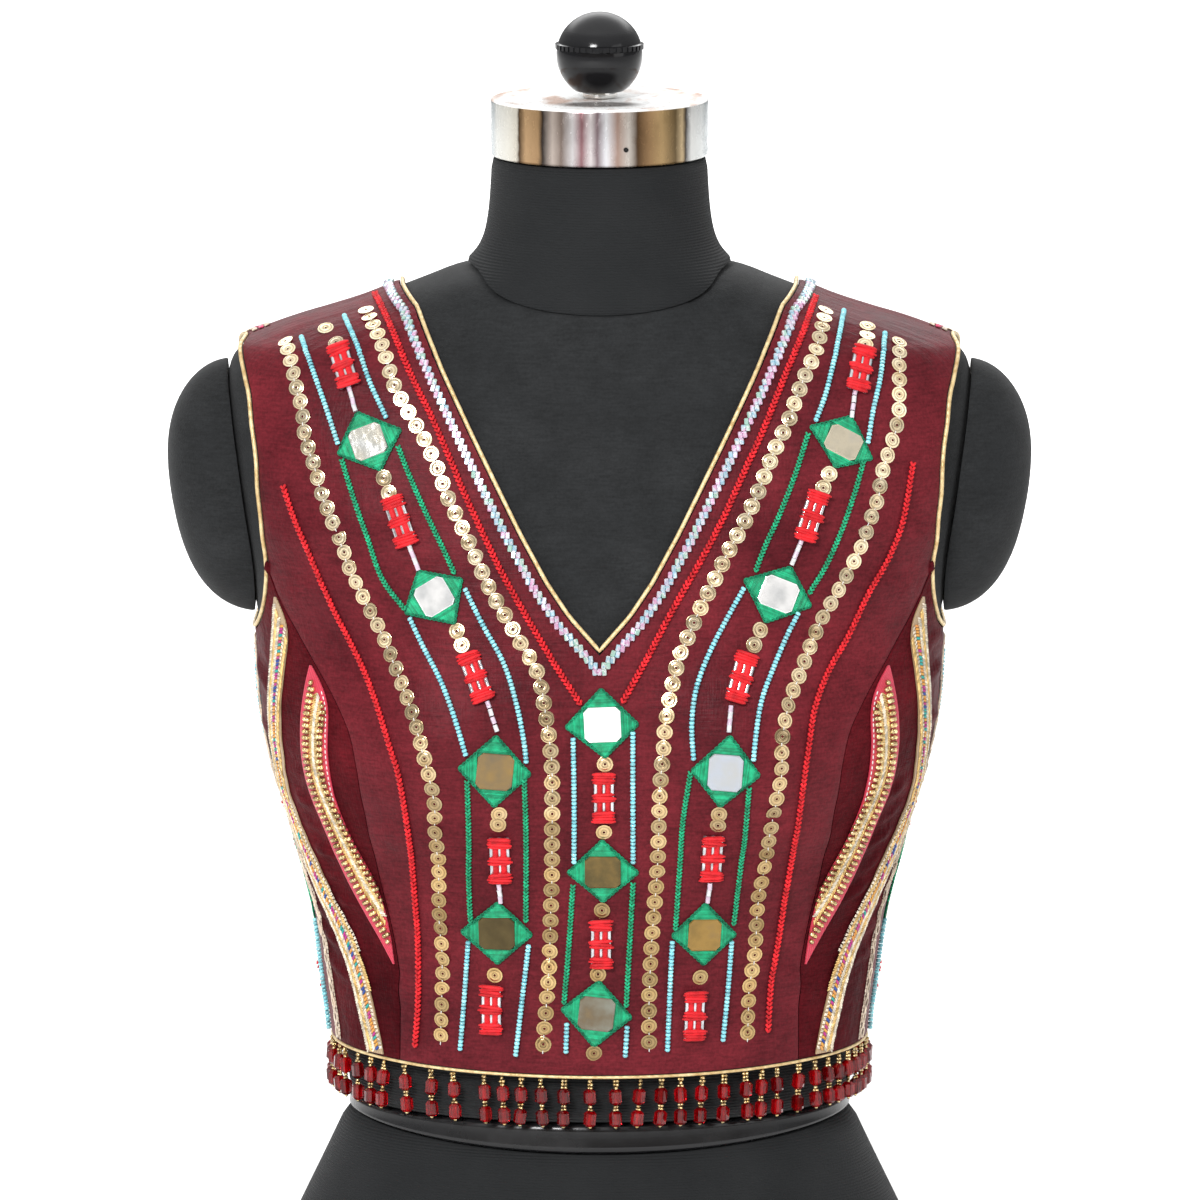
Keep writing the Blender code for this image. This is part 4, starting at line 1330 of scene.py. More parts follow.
@dataclass(frozen=True)
class MirrorFinish:
    """Small glass mirror: silvered, its colour a painted reflection of what stands round it, read off by its tone
    and drifting a little over the glass.
    """

    name: str = "mirror_glass"
    # painted reflections, from dark brown through olive and grey to white, read off by each mirror's tone
    stops: tuple = (
        (0.0, (0.05, 0.035, 0.012)), (0.12, (0.11, 0.08, 0.030)), (0.24, (0.32, 0.195, 0.055)),
        (0.36, (0.16, 0.125, 0.08)), (0.45, (0.24, 0.25, 0.21)), (0.6, (0.60, 0.53, 0.40)),
        (0.7, (0.44, 0.43, 0.39)), (0.8, (0.42, 0.45, 0.50)), (0.9, (0.56, 0.58, 0.60)), (1.0, (1.0, 1.0, 1.0)),
    )
    reflection_drift: float = 0.010
    reflection_drift_reach: float = 0.05
    rough: tuple = (0.03, 0.14)
    metal: float = 0.45
    gloss: float = 0.3
    ripple_scale: float = 260.0
    ripple_depth: float = 0.00006

    def make(self) -> Material:
        """Build the material.

        Returns:
            The material.
        """
        recipe = Recipe(self.name)
        where = recipe.place()
        clouds = recipe.noise(where, 1 / self.reflection_drift, 3.0)
        drift = recipe.reach(clouds, -self.reflection_drift_reach, self.reflection_drift_reach, *MID_NOISE)
        tone = recipe.sum(recipe.tone(), drift)
        recipe.colour(recipe.ramp(tone, self.stops))
        recipe.rough(recipe.reach(clouds, *self.rough))
        recipe.sockets(Metallic=self.metal, Specular_IOR_Level=self.gloss)
        recipe.bump(recipe.noise(where, self.ripple_scale, 1.0), self.ripple_depth)
        return recipe.material


@dataclass(frozen=True)
class PearlFinish:
    """Iridescent bead, whose colour drifts from white to lilac, pink, aqua and pale green."""

    name: str = "pearl"
    stops: tuple = (
        (0.0, (0.62, 0.62, 0.70)), (0.2, (0.38, 0.34, 0.56)), (0.38, (0.72, 0.72, 0.78)),
        (0.52, (0.64, 0.30, 0.50)), (0.66, (0.62, 0.66, 0.72)), (0.8, (0.26, 0.48, 0.60)),
        (0.92, (0.74, 0.75, 0.74)), (1.0, (0.36, 0.56, 0.48)),
    )
    drift_scale: float = 420.0
    tone_share: float = 0.6
    drift_share: float = 0.8
    rough: tuple = (0.12, 0.3)
    metal: float = 0.3
    coat: float = 0.4
    coat_rough: float = 0.08

    def make(self) -> Material:
        """Build the material.

        Returns:
            The material.
        """
        recipe = Recipe(self.name)
        drift = recipe.noise(recipe.place(), self.drift_scale, 2.0)
        own = recipe.sum(recipe.tone(), self.tone_share, "MULTIPLY")
        share = recipe.sum(own, recipe.sum(drift, self.drift_share, "MULTIPLY"))
        recipe.colour(recipe.ramp(share, self.stops))
        recipe.rough(recipe.reach(drift, *self.rough))
        recipe.sockets(Metallic=self.metal, Coat_Weight=self.coat, Coat_Roughness=self.coat_rough)
        return recipe.material


@dataclass(frozen=True)
class KnobFinish:
    """Black knob: satin above its rib and glossy below."""

    name: str = "knob_black"
    rib_height: float = 0.6625
    below: tuple = (0.006, 0.006, 0.007)
    above: tuple = (0.014, 0.014, 0.015)
    rough: tuple = (0.12, 0.34)
    scuff_scale: float = 500.0
    scuff_rough: tuple = (-0.04, 0.06)
    scuff_depth: float = 0.00003
    gloss: float = 0.36

    def make(self) -> Material:
        """Build the material.

        Returns:
            The material.
        """
        recipe = Recipe(self.name)
        edge = (self.rib_height - SHARP_FADE, self.rib_height + SHARP_FADE)
        upper = recipe.reach(recipe.axis("Z"), 0.0, 1.0, *edge)
        scuffs = recipe.noise(recipe.place(), self.scuff_scale, 3.0)
        recipe.rough(recipe.sum(recipe.reach(upper, *self.rough), recipe.reach(scuffs, *self.scuff_rough)))
        recipe.colour(recipe.mix(upper, self.below, self.above))
        recipe.sockets(Specular_IOR_Level=self.gloss)
        recipe.bump(scuffs, self.scuff_depth)
        return recipe.material


@dataclass(frozen=True)
class CapFinish:
    """Chromed cap: polished and scratched round its side, which is painted with bands of reflected surroundings; a
    brushed and smudged top, painted near-white for its reflection of the bright sky, with the knob's reflection
    painted as a dark patch in front of the knob.
    """

    name: str = "cap_chrome"
    top_height: float = 0.6300
    half_width: float = 0.0525
    # near-white painted reflection of the bright sky on the top, which is hardly metallic
    painted_top_reflection: tuple = (0.98, 0.98, 0.97)
    stain_shade: tuple = (0.50, 0.30, 0.21)
    # the knob's reflection in the top, painted as a dark ellipse in front of it: its colour, its half sizes and how
    # far ahead it lies
    painted_knob_reflection: tuple = (0.05, 0.035, 0.03)
    knob_reflection_reach: tuple = (0.019, 0.011)
    knob_reflection_ahead: float = 2.6
    # painted reflections of the surroundings round the side, from its -X edge across to its +X edge
    stops: tuple = (
        (0.0, (0.20, 0.23, 0.24)), (0.022, (0.32, 0.36, 0.37)), (0.04, (0.66, 0.66, 0.62)),
        (0.09, (0.70, 0.68, 0.61)), (0.13, (0.60, 0.56, 0.48)), (0.14, (0.05, 0.025, 0.01)),
        (0.17, (0.42, 0.27, 0.14)), (0.225, (0.32, 0.20, 0.10)), (0.245, (0.015, 0.010, 0.008)),
        (0.29, (0.40, 0.34, 0.30)), (0.33, (0.16, 0.12, 0.10)), (0.38, (0.46, 0.44, 0.44)),
        (0.42, (0.20, 0.09, 0.10)), (0.46, (0.52, 0.48, 0.48)), (0.49, (0.16, 0.11, 0.12)),
        (0.53, (0.60, 0.60, 0.62)), (0.58, (0.30, 0.20, 0.16)), (0.63, (0.46, 0.42, 0.38)),
        (0.67, (0.06, 0.03, 0.012)), (0.72, (0.22, 0.13, 0.06)), (0.78, (0.36, 0.24, 0.11)),
        (0.84, (0.12, 0.08, 0.035)), (0.87, (0.50, 0.38, 0.22)), (0.885, (0.02, 0.012, 0.008)),
        (0.91, (0.68, 0.68, 0.66)), (0.96, (0.64, 0.66, 0.65)), (0.978, (0.32, 0.36, 0.37)),
        (1.0, (0.20, 0.23, 0.24)),
    )
    smudge_scale: float = 70.0
    smudge_span: tuple = (0.52, 0.66)
    stain_share: float = 0.8
    scratch_scale: float = 420.0
    scratch_shift: float = 0.006
    scratch_span: tuple = (0.35, 0.7)
    shadow_share: float = 0.85
    shadow_span: tuple = (0.7, 1.2)
    rough: tuple = (0.12, 0.32)
    top_rough: float = 0.12
    metal: tuple = (0.4, 0.03)
    gloss: tuple = (0.2, 0.02)
    relief: float = 0.00002

    def make(self) -> Material:
        """Build the material.

        Returns:
            The material.
        """
        recipe = Recipe(self.name)
        top = recipe.reach(recipe.axis("Z"), 0.0, 1.0, self.top_height, self.top_height + 0.0004)
        smudge = recipe.noise(recipe.place(stretch=(1.0, 0.4, 1.0)), self.smudge_scale, 4.0)
        scratch = recipe.noise(recipe.place(stretch=(1.0, 1.0, 0.5)), self.scratch_scale, 4.0)
        smudged = recipe.reach(smudge, 0.0, self.stain_share, *self.smudge_span)
        stain = recipe.sum(top, smudged, "MULTIPLY")
        # the side's colour is painted reflection, read off the bands by the place across the cap
        round_it = recipe.reach(recipe.axis("X"), 0.0, 1.0, -self.half_width, self.half_width)
        streaky = recipe.sum(round_it, recipe.reach(scratch, -self.scratch_shift, self.scratch_shift))
        side = recipe.ramp(streaky, self.stops)
        # the top takes its painted reflection of the sky
        plain = recipe.mix(top, side, self.painted_top_reflection)
        stained = recipe.mix(stain, plain, self.stain_shade)
        # painted reflection of the knob: a dark ellipse on the top in front of its stem
        near = recipe.node("ShaderNodeVectorMath", operation="LENGTH")
        moved = recipe.node("ShaderNodeMapping")
        moved.inputs["Location"].default_value = (0.0, self.knob_reflection_ahead, 0.0)
        across, along = self.knob_reflection_reach
        recipe.link(recipe.place(stretch=(1 / across, 1 / along, 0.0)), moved.inputs["Vector"])
        recipe.link(moved.outputs["Vector"], near.inputs[0])
        under = recipe.reach(near.outputs["Value"], self.shadow_share, 0.0, *self.shadow_span)
        shadow = recipe.sum(under, top, "MULTIPLY")
        recipe.colour(recipe.mix(shadow, stained, self.painted_knob_reflection))
        side_rough = recipe.reach(scratch, *self.rough, *self.scratch_span)
        recipe.rough(recipe.sum(side_rough, recipe.sum(top, self.top_rough, "MULTIPLY")))
        recipe.link(recipe.reach(top, *self.metal), recipe.shader.inputs["Metallic"])
        recipe.link(recipe.reach(top, *self.gloss), recipe.shader.inputs["Specular IOR Level"])
        recipe.bump(recipe.sum(scratch, smudge), self.relief)
        return recipe.material


@dataclass(frozen=True)
class BraidFinish:
    """Tape of a ribbon: bright thread rows along it over a ground colour."""

    name: str
    ground: tuple
    thread: tuple
    row_pitch: float = 0.0012
    row_bend: float = 0.6
    fibre_scales: tuple = (1500.0, 300.0, 1.0)
    rough: tuple = (0.4, 0.65)
    sheen: float = 0.3
    depth: float = 0.00012

    def make(self) -> Material:
        """Build the material.

        Returns:
            The material.
        """
        recipe = Recipe(self.name)
        flat = recipe.place(flat=True)
        rows = recipe.wave(flat, WAVE_SCALE / self.row_pitch, "Y", self.row_bend)
        fine = recipe.noise(recipe.place(flat=True, stretch=self.fibre_scales), 1.0, 3.0)
        share = recipe.sum(rows, fine, "MULTIPLY")
        recipe.colour(recipe.mix(share, self.ground, self.thread))
        recipe.rough(recipe.reach(fine, *self.rough))
        recipe.sockets(Sheen_Weight=self.sheen)
        recipe.bump(recipe.sum(rows, fine), self.depth)
        return recipe.material


FINISHES = {
    "cloth": Finish(
        "maroon_cloth", (0.080, 0.0075, 0.0120), (0.146, 0.0138, 0.0205), 0.045, (0.40, 0.55), sheen=0.02,
        sheen_tint=(1.0, 0.3, 0.35), pattern=Pattern.WEAVE, pitch=0.0008, depth=0.00018, gloss=0.09, grain=0.36,
    ),
    # the side panels: a darker copy of the cloth, painted for the shade that falls on the sides, and darker still
    # towards the waist by painted shade
    "shaded_side_cloth": Finish(
        "maroon_cloth_painted_shade", (0.060, 0.0050, 0.0080), (0.122, 0.0100, 0.0152), 0.045, (0.34, 0.46),
        sheen=0.02, sheen_tint=(1.0, 0.3, 0.35), pattern=Pattern.WEAVE, pitch=0.0008, depth=0.00034, gloss=0.02,
        painted_shade_below=(0.76, 0.70, 0.70), grain=0.36,
    ),
    "knit": Finish(
        "ribbed_knit", (0.010, 0.011, 0.012), (0.016, 0.017, 0.018), 0.03, (0.75, 0.9), sheen=0.05,
        pattern=Pattern.RIBBED, pitch=0.0013, depth=0.00022, gloss=0.2,
    ),
    "jersey": Finish(
        "plain_jersey", (0.011, 0.012, 0.013), (0.018, 0.019, 0.020), 0.03, (0.75, 0.9), sheen=0.06,
        pitch=0.0007, depth=0.00025, gloss=0.2, grain=0.35, ribbed_below=0.262,
    ),
    "band": Finish(
        "gloss_band", (0.006, 0.006, 0.007), (0.010, 0.010, 0.011), 0.02, (0.2, 0.34), coat=0.15, gloss=0.4,
        pattern=Pattern.BRUSHED, pitch=0.004, depth=0.00006,
    ),
    "board": Finish("black_board", (0.018, 0.016, 0.014), (0.03, 0.026, 0.022), 0.01, (0.5, 0.7), pitch=0.002),
    "steel": Finish(
        "polished_stem", (0.7, 0.7, 0.68), (0.86, 0.86, 0.84), 0.004, (0.1, 0.25), metal=1.0, pitch=0.001,
        depth=0.00002,
    ),
    # near-black paint for the shade inside the cap's shallow hole
    "dark": Finish("cap_hole_painted_shade", (0.004, 0.004, 0.004), (0.01, 0.009, 0.008), 0.002, (0.8, 0.9)),
    "piping": Finish(
        "tan_piping", (0.56, 0.37, 0.15), (0.90, 0.72, 0.40), 0.004, (0.3, 0.45), metal=0.3, sheen=0.05,
        pattern=Pattern.TWIST, pitch=0.0019, depth=0.0002,
    ),
    # gold sequins, their ring grooves darkened by painted shade and the lower ones darker by painted shade
    "sequin": Finish(
        "gold_sequin", (0.76, 0.58, 0.34), (0.98, 0.84, 0.60), 0.006, (0.13, 0.28), metal=0.75,
        pattern=Pattern.RINGS, pitch=0.0335, depth=0.00006, toned=0.28, painted_shade_below=(0.58, 0.48, 0.32),
        painted_groove_shade=0.42,
    ),
    "turquoise": Finish(
        "turquoise_bead", (0.18, 0.58, 0.68), (0.36, 0.80, 0.86), 0.006, (0.08, 0.2), coat=0.8, toned=0.22,
        pitch=0.0008, depth=0.00003,
    ),
    "green": Finish(
        "green_thread", (0.003, 0.22, 0.095), (0.010, 0.42, 0.20), 0.003, (0.36, 0.5), sheen=0.1, gloss=0.35,
        sheen_tint=(0.5, 1.0, 0.8), toned=0.25, pitch=0.00035, depth=0.00012,
    ),
    "dark_green": Finish(
        "dark_green_thread", (0.001, 0.10, 0.046), (0.005, 0.27, 0.13), 0.003, (0.45, 0.6), sheen=0.05,
        gloss=0.25, sheen_tint=(0.5, 1.0, 0.8), toned=0.25, pitch=0.00035, depth=0.00012,
    ),
    "red": Finish(
        "red_thread", (0.50, 0.008, 0.014), (0.80, 0.020, 0.028), 0.004, (0.45, 0.62), sheen=0.08, gloss=0.25,
        sheen_tint=(1.0, 0.5, 0.5), toned=0.25, pitch=0.00035, depth=0.00012,
    ),
    "cream": Finish(
        "cream_thread", (0.55, 0.42, 0.30), (0.78, 0.66, 0.52), 0.004, (0.45, 0.6), sheen=0.4, toned=0.2,
        pitch=0.0004, depth=0.00012,
    ),
    "lace_thread": Finish(
        "lace_thread", (0.62, 0.52, 0.38), (0.94, 0.86, 0.72), 0.0015, (0.4, 0.55), toned=0.3, pitch=0.0004,
        depth=0.00012,
    ),
    "gold_thread": Finish(
        "gold_thread", (0.66, 0.42, 0.14), (0.95, 0.70, 0.32), 0.003, (0.3, 0.45), metal=0.5, toned=0.25,
        pitch=0.0004, depth=0.0001,
    ),
    "white": Finish("white_thread", (0.7, 0.68, 0.66), (0.86, 0.85, 0.83), 0.003, (0.5, 0.6), pitch=0.0004),
    "bugle": Finish(
        "white_bugle", (0.5, 0.5, 0.52), (0.8, 0.8, 0.81), 0.003, (0.1, 0.25), coat=0.6, toned=0.1, pitch=0.001
    ),
    "lilac": Finish(
        "lilac_bugle", (0.55, 0.40, 0.52), (0.72, 0.60, 0.70), 0.003, (0.1, 0.25),
        coat=0.6, toned=0.15, pitch=0.001,
    ),
    "pink": Finish(
        "pink_thread", (0.50, 0.018, 0.085), (0.74, 0.05, 0.16), 0.004, (0.45, 0.6), sheen=0.4, toned=0.2,
        pitch=0.0004, depth=0.00012,
    ),
    "colours": Finish(
        "bright_threads", (0.72, 0.30, 0.05), (0.8, 0.42, 0.08), 0.002, (0.45, 0.6),
        tint=(0.5, 0.03, 0.26), pitch=0.0004,
    ),
    "cool_colours": Finish(
        "cool_threads", (0.02, 0.06, 0.3), (0.04, 0.1, 0.4), 0.002, (0.45, 0.6),
        tint=(0.03, 0.4, 0.36), pitch=0.0004,
    ),
    "gold_bead": Finish(
        "gold_bead", (0.56, 0.38, 0.15), (0.94, 0.74, 0.42), 0.003, (0.14, 0.3), metal=0.85, toned=0.35,
        pitch=0.001, depth=0.00003,
    ),
    "ruby": Finish(
        "red_glass", (0.20, 0.001, 0.003), (0.46, 0.003, 0.006), 0.004, (0.03, 0.1), coat=0.08, gloss=0.3,
        pattern=Pattern.PLAIN, toned=0.3, clear=0.72,
    ),
    # bright red core of the glass beads, painted to stand for the light that shines through them
    "painted_light_core": Finish(
        "ruby_core_painted_light", (0.8, 0.05, 0.06), (0.95, 0.2, 0.2), 0.002, (0.2, 0.3), coat=0.5, pattern=Pattern.PLAIN
    ),
    "bright_tape": BraidFinish("bright_tape", (0.34, 0.22, 0.11), (0.68, 0.52, 0.32)),
    "pink_tape": BraidFinish("pink_tape", (0.50, 0.010, 0.038), (0.84, 0.032, 0.105)),
    "mirror": MirrorFinish(),
    "pearl": PearlFinish(),
    "silver_tube": Finish(
        "silver_tube", (0.45, 0.46, 0.48), (0.85, 0.86, 0.88), 0.0025, (0.1, 0.2), metal=0.8, toned=0.2,
        pitch=0.001, depth=0.00004,
    ),
    "knob": KnobFinish(),
    "cap": CapFinish(),
}


class Paintbox:
    """Every material, made the first time that it is asked for."""

    def __init__(self) -> None:
        """Start empty."""
        self.made = {}

    def __getitem__(self, name: str) -> Material:
        """The material of a finish by its short name.

        Args:
            name: its key in the table of finishes.

        Returns:
            The material.
        """
        if name not in self.made:
            self.made[name] = FINISHES[name].make()
        return self.made[name]


@dataclass
class Studio:
    """Plain pale floor and soft light, most of it from beside the camera."""

    floor_size: float = 60.0
    floor_shade: float = 0.9
    sky: float = 1.0
    zenith: tuple = (1.0, 1.0, 1.0)
    horizon: tuple = (0.22, 0.22, 0.22)
    behind: tuple = (0.22, 0.19, 0.15)
    low_span: tuple = (0.45, 0.05)
    behind_span: tuple = (-0.35, -0.8)
    zenith_from: float = 0.9
    key_power: float = 96.0
    fill_power: float = 5.0
    backdrop_power: float = 230.0
    floor_rough: tuple = (0.8, 0.9)
    floor_gloss: float = 0.1

    def add_floor(self) -> None:
        """Lay the floor."""
        bpy.ops.mesh.primitive_plane_add(size=self.floor_size, location=(0, 0, 0))
        floor = bpy.context.object
        floor.name = "floor"
        recipe = Recipe("pale_floor")
        grain = recipe.noise(recipe.place(), 3.0, 3.0)
        shade_of = self.floor_shade
        recipe.colour(recipe.mix(grain, (shade_of,) * 3, (shade_of + 0.02,) * 3))
        recipe.rough(recipe.reach(grain, *self.floor_rough))
        recipe.sockets(Specular_IOR_Level=self.floor_gloss)
        floor.data.materials.append(recipe.material)

    def add_sky(self) -> None:
        """Light the scene from all round: white above and beside, darker and warmer low behind the camera."""
        sky = SkyRecipe()
        split = sky.node("ShaderNodeSeparateXYZ")
        sky.link(sky.node("ShaderNodeTexCoord").outputs["Generated"], split.inputs[0])
        low = sky.reach(split.outputs["Z"], 0.0, 1.0, *self.low_span)
        ahead = sky.reach(split.outputs["Y"], 0.0, 1.0, *self.behind_span)
        for fade in (low, ahead):
            fade.node.interpolation_type = "SMOOTHSTEP"
        rise = sky.reach(split.outputs["Z"], 0.0, 1.0, 0.0, self.zenith_from)
        above = sky.mix(rise, self.horizon, self.zenith)
        colour = sky.mix(sky.sum(low, ahead, "MULTIPLY"), above, self.behind)
        light = sky.tree.nodes["Background"]
        light.inputs["Strength"].default_value = self.sky
        sky.link(colour, light.inputs["Color"])

    def add_lamp(self, name: str, place: tuple, aim: tuple, size: float, power: float) -> None:
        """Put up a soft square lamp that points at a spot.

        Args:
            name: the lamp's name.
            place: where it hangs, in metres.
            aim: the spot that it points at.
            size: its width in metres.
            power: in watts.
        """
        bpy.ops.object.light_add(type="AREA", location=place)
        lamp = bpy.context.object
        lamp.name = name
        lamp.data.size = size
        lamp.data.energy = power
        lamp.rotation_euler = (Vector(aim) - Vector(place)).to_track_quat("-Z", "Y").to_euler()

    def build(self) -> None:
        """Put up the whole studio."""
        self.add_floor()
        self.add_sky()
        self.add_lamp("key_lamp", (-1.0, -3.0, 2.1), (0.0, 0.0, 0.4), 0.9, self.key_power)
        self.add_lamp("fill_lamp", (1.8, -1.4, 1.2), (0.0, 0.0, 0.4), 1.2, self.fill_power)
        self.add_lamp("backdrop_lamp", (0.0, 4.2, 2.6), (0.0, 4.2, 0.0), 5.0, self.backdrop_power)
        bpy.context.scene.view_settings.view_transform = "Standard"


# ---- The dress form ----------------------------------------------------------------------------------------
@dataclass
class DressForm:
    """Knit-covered torso, neck, hips and arm ends, with the metal cap and the knob on the neck."""

    paint: Paintbox
    cap_bottom: float = 424.0
    cap_height: float = 27.2
    cap_radius: float = 51.5
    cap_edge: float = 1.6
    hole_place: tuple = (12.4, 432.4)
    hole_radius: float = 1.1
    stem_radius: float = 8.5
    stem_height: float = 3.2
    ball_radius: float = 20.5
    ball_flat: float = 11.5
    rib_turn: float = 12.0
    rib_teeth: int = 40
    rib_reach: float = 0.9
    rib_height: float = 2.4
    crisp_angle: float = 48.0
    soft: tuple = (
        ("form_torso", "jersey", "form_knit"), ("form_neck", "knit", "form_knit"),
        ("form_hips", "knit", "form_knit"), ("form_arm_cap_left", "jersey", "form_knit"),
        ("form_arm_cap_right", "jersey", "form_knit"), ("form_waist_band", "band", "form_band"),
        ("form_base_board", "board", "form_board"),
    )
    weld: float = 1e-6
    flat_angle: float = 30.0
    skew_angle: float = 50.0
    crease: float = 0.9
    rim_steps: tuple = ((0.0022, 0.0), (0.0006, -0.0004), (0.03, 0.0))
    stem_gap: float = 0.2
    stem_edge: float = 0.5
    knob_gap: float = 3.2

    def smooth_copy(self, node: str, finish: str, slot: str) -> None:
        """Finer copy of a CAD node, with its rims kept crisp.

        Args:
            node: the CAD node's name.
            finish: short name of its finish.
            slot: the record's material slot.
        """
        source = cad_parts[node]
        made = bpy.data.objects.new(f"{node}_shell", source.data.copy())
        bpy.context.collection.objects.link(made)
        clean(made, self.weld)
        edit(made, "EDGE")
        bpy.ops.mesh.select_all(action="SELECT")
        limits = {"face_threshold": math.radians(self.flat_angle), "shape_threshold": math.radians(self.skew_angle)}
        bpy.ops.mesh.tris_convert_to_quads(**limits)
        mesh = bmesh.from_edit_mesh(made.data)
        for line in mesh.edges:
            line.select_set(line.is_manifold and line.calc_face_angle(0.0) > math.radians(self.crisp_angle))
        bmesh.update_edit_mesh(made.data)
        bpy.ops.transform.edge_crease(value=self.crease)
        close_edit()
        apply_modifier(made, "SUBSURF", levels=2, render_levels=2)
        made.data.materials.clear()
        made.data.materials.append(self.paint[finish])
        shade(made, SOFT_PIECE)
        hand_in(made, slot, node)

    def height(self, above_hem: float) -> float:
        """Height above the floor in metres."""
        return (above_hem + HEM_HEIGHT) * MM

    def turned(self, vertices: int, radius: float, depth: float, above_hem: float) -> Piece:
        """Upright cylinder on the form's axis, with its place in its mesh.

        Args:
            vertices: corners of its rim.
            radius: in millimetres.
            depth: its height in millimetres.
            above_hem: height of its middle.

        Returns:
            The object.
        """
        place = (0.0, -SIDE_LINE_SETBACK * MM, self.height(above_hem))
        sizes = {"radius": radius * MM, "depth": depth * MM}
        bpy.ops.mesh.primitive_cylinder_add(vertices=vertices, location=place, **sizes)
        bpy.ops.object.transform_apply(location=True, rotation=True, scale=True)
        return bpy.context.object

    def add_cap(self) -> None:
        """Chromed cap with a rolled rim, a turned step on its top and a small shallow hole, painted near-black for
        the shade inside it.
        """
        cap = self.turned(96, self.cap_radius, self.cap_height, self.cap_bottom + self.cap_height / 2)
        edit(cap)
        pick_faces(cap, lambda centre, normal: normal.z > 0.9)
        for thickness, depth in self.rim_steps:
            bpy.ops.mesh.inset(thickness=thickness, depth=depth)
        close_edit()
        bevel(cap, self.cap_edge, 3)
        cap.data.materials.clear()
        cap.data.materials.append(self.paint["cap"])
        shade(cap, TURNED_PIECE)
        across, up = self.hole_place
        depth = math.sqrt(self.cap_radius**2 - across**2) + 0.05
        bpy.ops.mesh.primitive_cylinder_add(
            vertices=16, radius=self.hole_radius * MM, depth=0.0012,
            location=(across * MM, -(depth + SIDE_LINE_SETBACK) * MM, self.height(up)),
            rotation=(math.radians(90), 0.0, math.atan2(across, depth)),
        )
        hole = bpy.context.object
        bpy.ops.object.transform_apply(location=True, rotation=True, scale=True)
        edit(hole)
        pick_faces(hole, lambda centre, normal: normal.y < -0.9)
        bpy.ops.mesh.inset(thickness=0.0003, depth=-0.0005)
        close_edit()
        # the shallow hole is painted near-black for the shade inside it
        hole.data.materials.append(self.paint["dark"])
        shade(hole, 40)
        hand_in(join("neck_cap", [cap, hole]), "chrome", "form_neck_cap")

    def add_stem(self) -> None:
        """Short bright stem under the knob."""
        foot = self.cap_bottom + self.cap_height + self.stem_gap
        stem = self.turned(48, self.stem_radius, self.stem_height, foot + self.stem_height / 2)
        edit(stem)
        pick_faces(stem, lambda centre, normal: abs(normal.z) > 0.9)
        bpy.ops.mesh.inset(thickness=0.0009, depth=0.0)
        close_edit()
        bevel(stem, self.stem_edge, 2)
        stem.data.materials.append(self.paint["steel"])
        stem.name = "knob_stem"
        shade(stem, TURNED_PIECE)
        hand_in(stem, "chrome", "form_knob_stem")

    def add_knob(self) -> None:
        """Ball knob with a flat foot and a knurled rib above its middle."""
        flat = math.asin(self.ball_flat / self.ball_radius)
        foot = self.cap_bottom + self.cap_height + self.knob_gap
        centre = foot + self.ball_radius * math.cos(flat)
        bpy.ops.mesh.primitive_uv_sphere_add(
            segments=64, ring_count=36, radius=self.ball_radius * MM,
            location=(0.0, -SIDE_LINE_SETBACK * MM, self.height(centre)),
        )
        ball = bpy.context.object
        bpy.ops.object.transform_apply(location=True, rotation=True, scale=True)
        edit(ball)
        bpy.ops.mesh.select_all(action="SELECT")
        bpy.ops.mesh.bisect(
            plane_co=(0.0, 0.0, self.height(foot)), plane_no=(0.0, 0.0, -1.0), clear_outer=True, use_fill=True
        )
        close_edit()
        shade(ball, SOFT_PIECE)
        ball.data.materials.append(self.paint["knob"])
        rise = centre + self.ball_radius * math.sin(math.radians(self.rib_turn))
        reach = self.ball_radius * math.cos(math.radians(self.rib_turn))
        rib = self.turned(self.rib_teeth * 2, reach + self.rib_reach, self.rib_height, rise)
        edit(rib)
        pick_faces(rib, lambda centre, normal: abs(normal.z) > 0.9)
        bpy.ops.mesh.inset(thickness=0.0012, depth=0.0004)
        tooth = math.tau / self.rib_teeth
        half = tooth / 2
        middle = SIDE_LINE_SETBACK * MM
        pick_faces(rib, lambda c, n: abs(n.z) < 0.3 and (math.atan2(c.y + middle, c.x) % tooth) < half)
        bpy.ops.mesh.inset(thickness=0.00012, depth=-0.0005, use_individual=True)
        close_edit()
        rib.data.materials.append(self.paint["knob"])
        shade(rib, 30)
        hand_in(join("knob", [ball, rib]), "black_plastic", "form_knob")

    def build(self) -> None:
        """Build and dress the whole form."""
        for node, finish, slot in self.soft:
            self.smooth_copy(node, finish, slot)
        self.add_cap()
        self.add_stem()
        self.add_knob()


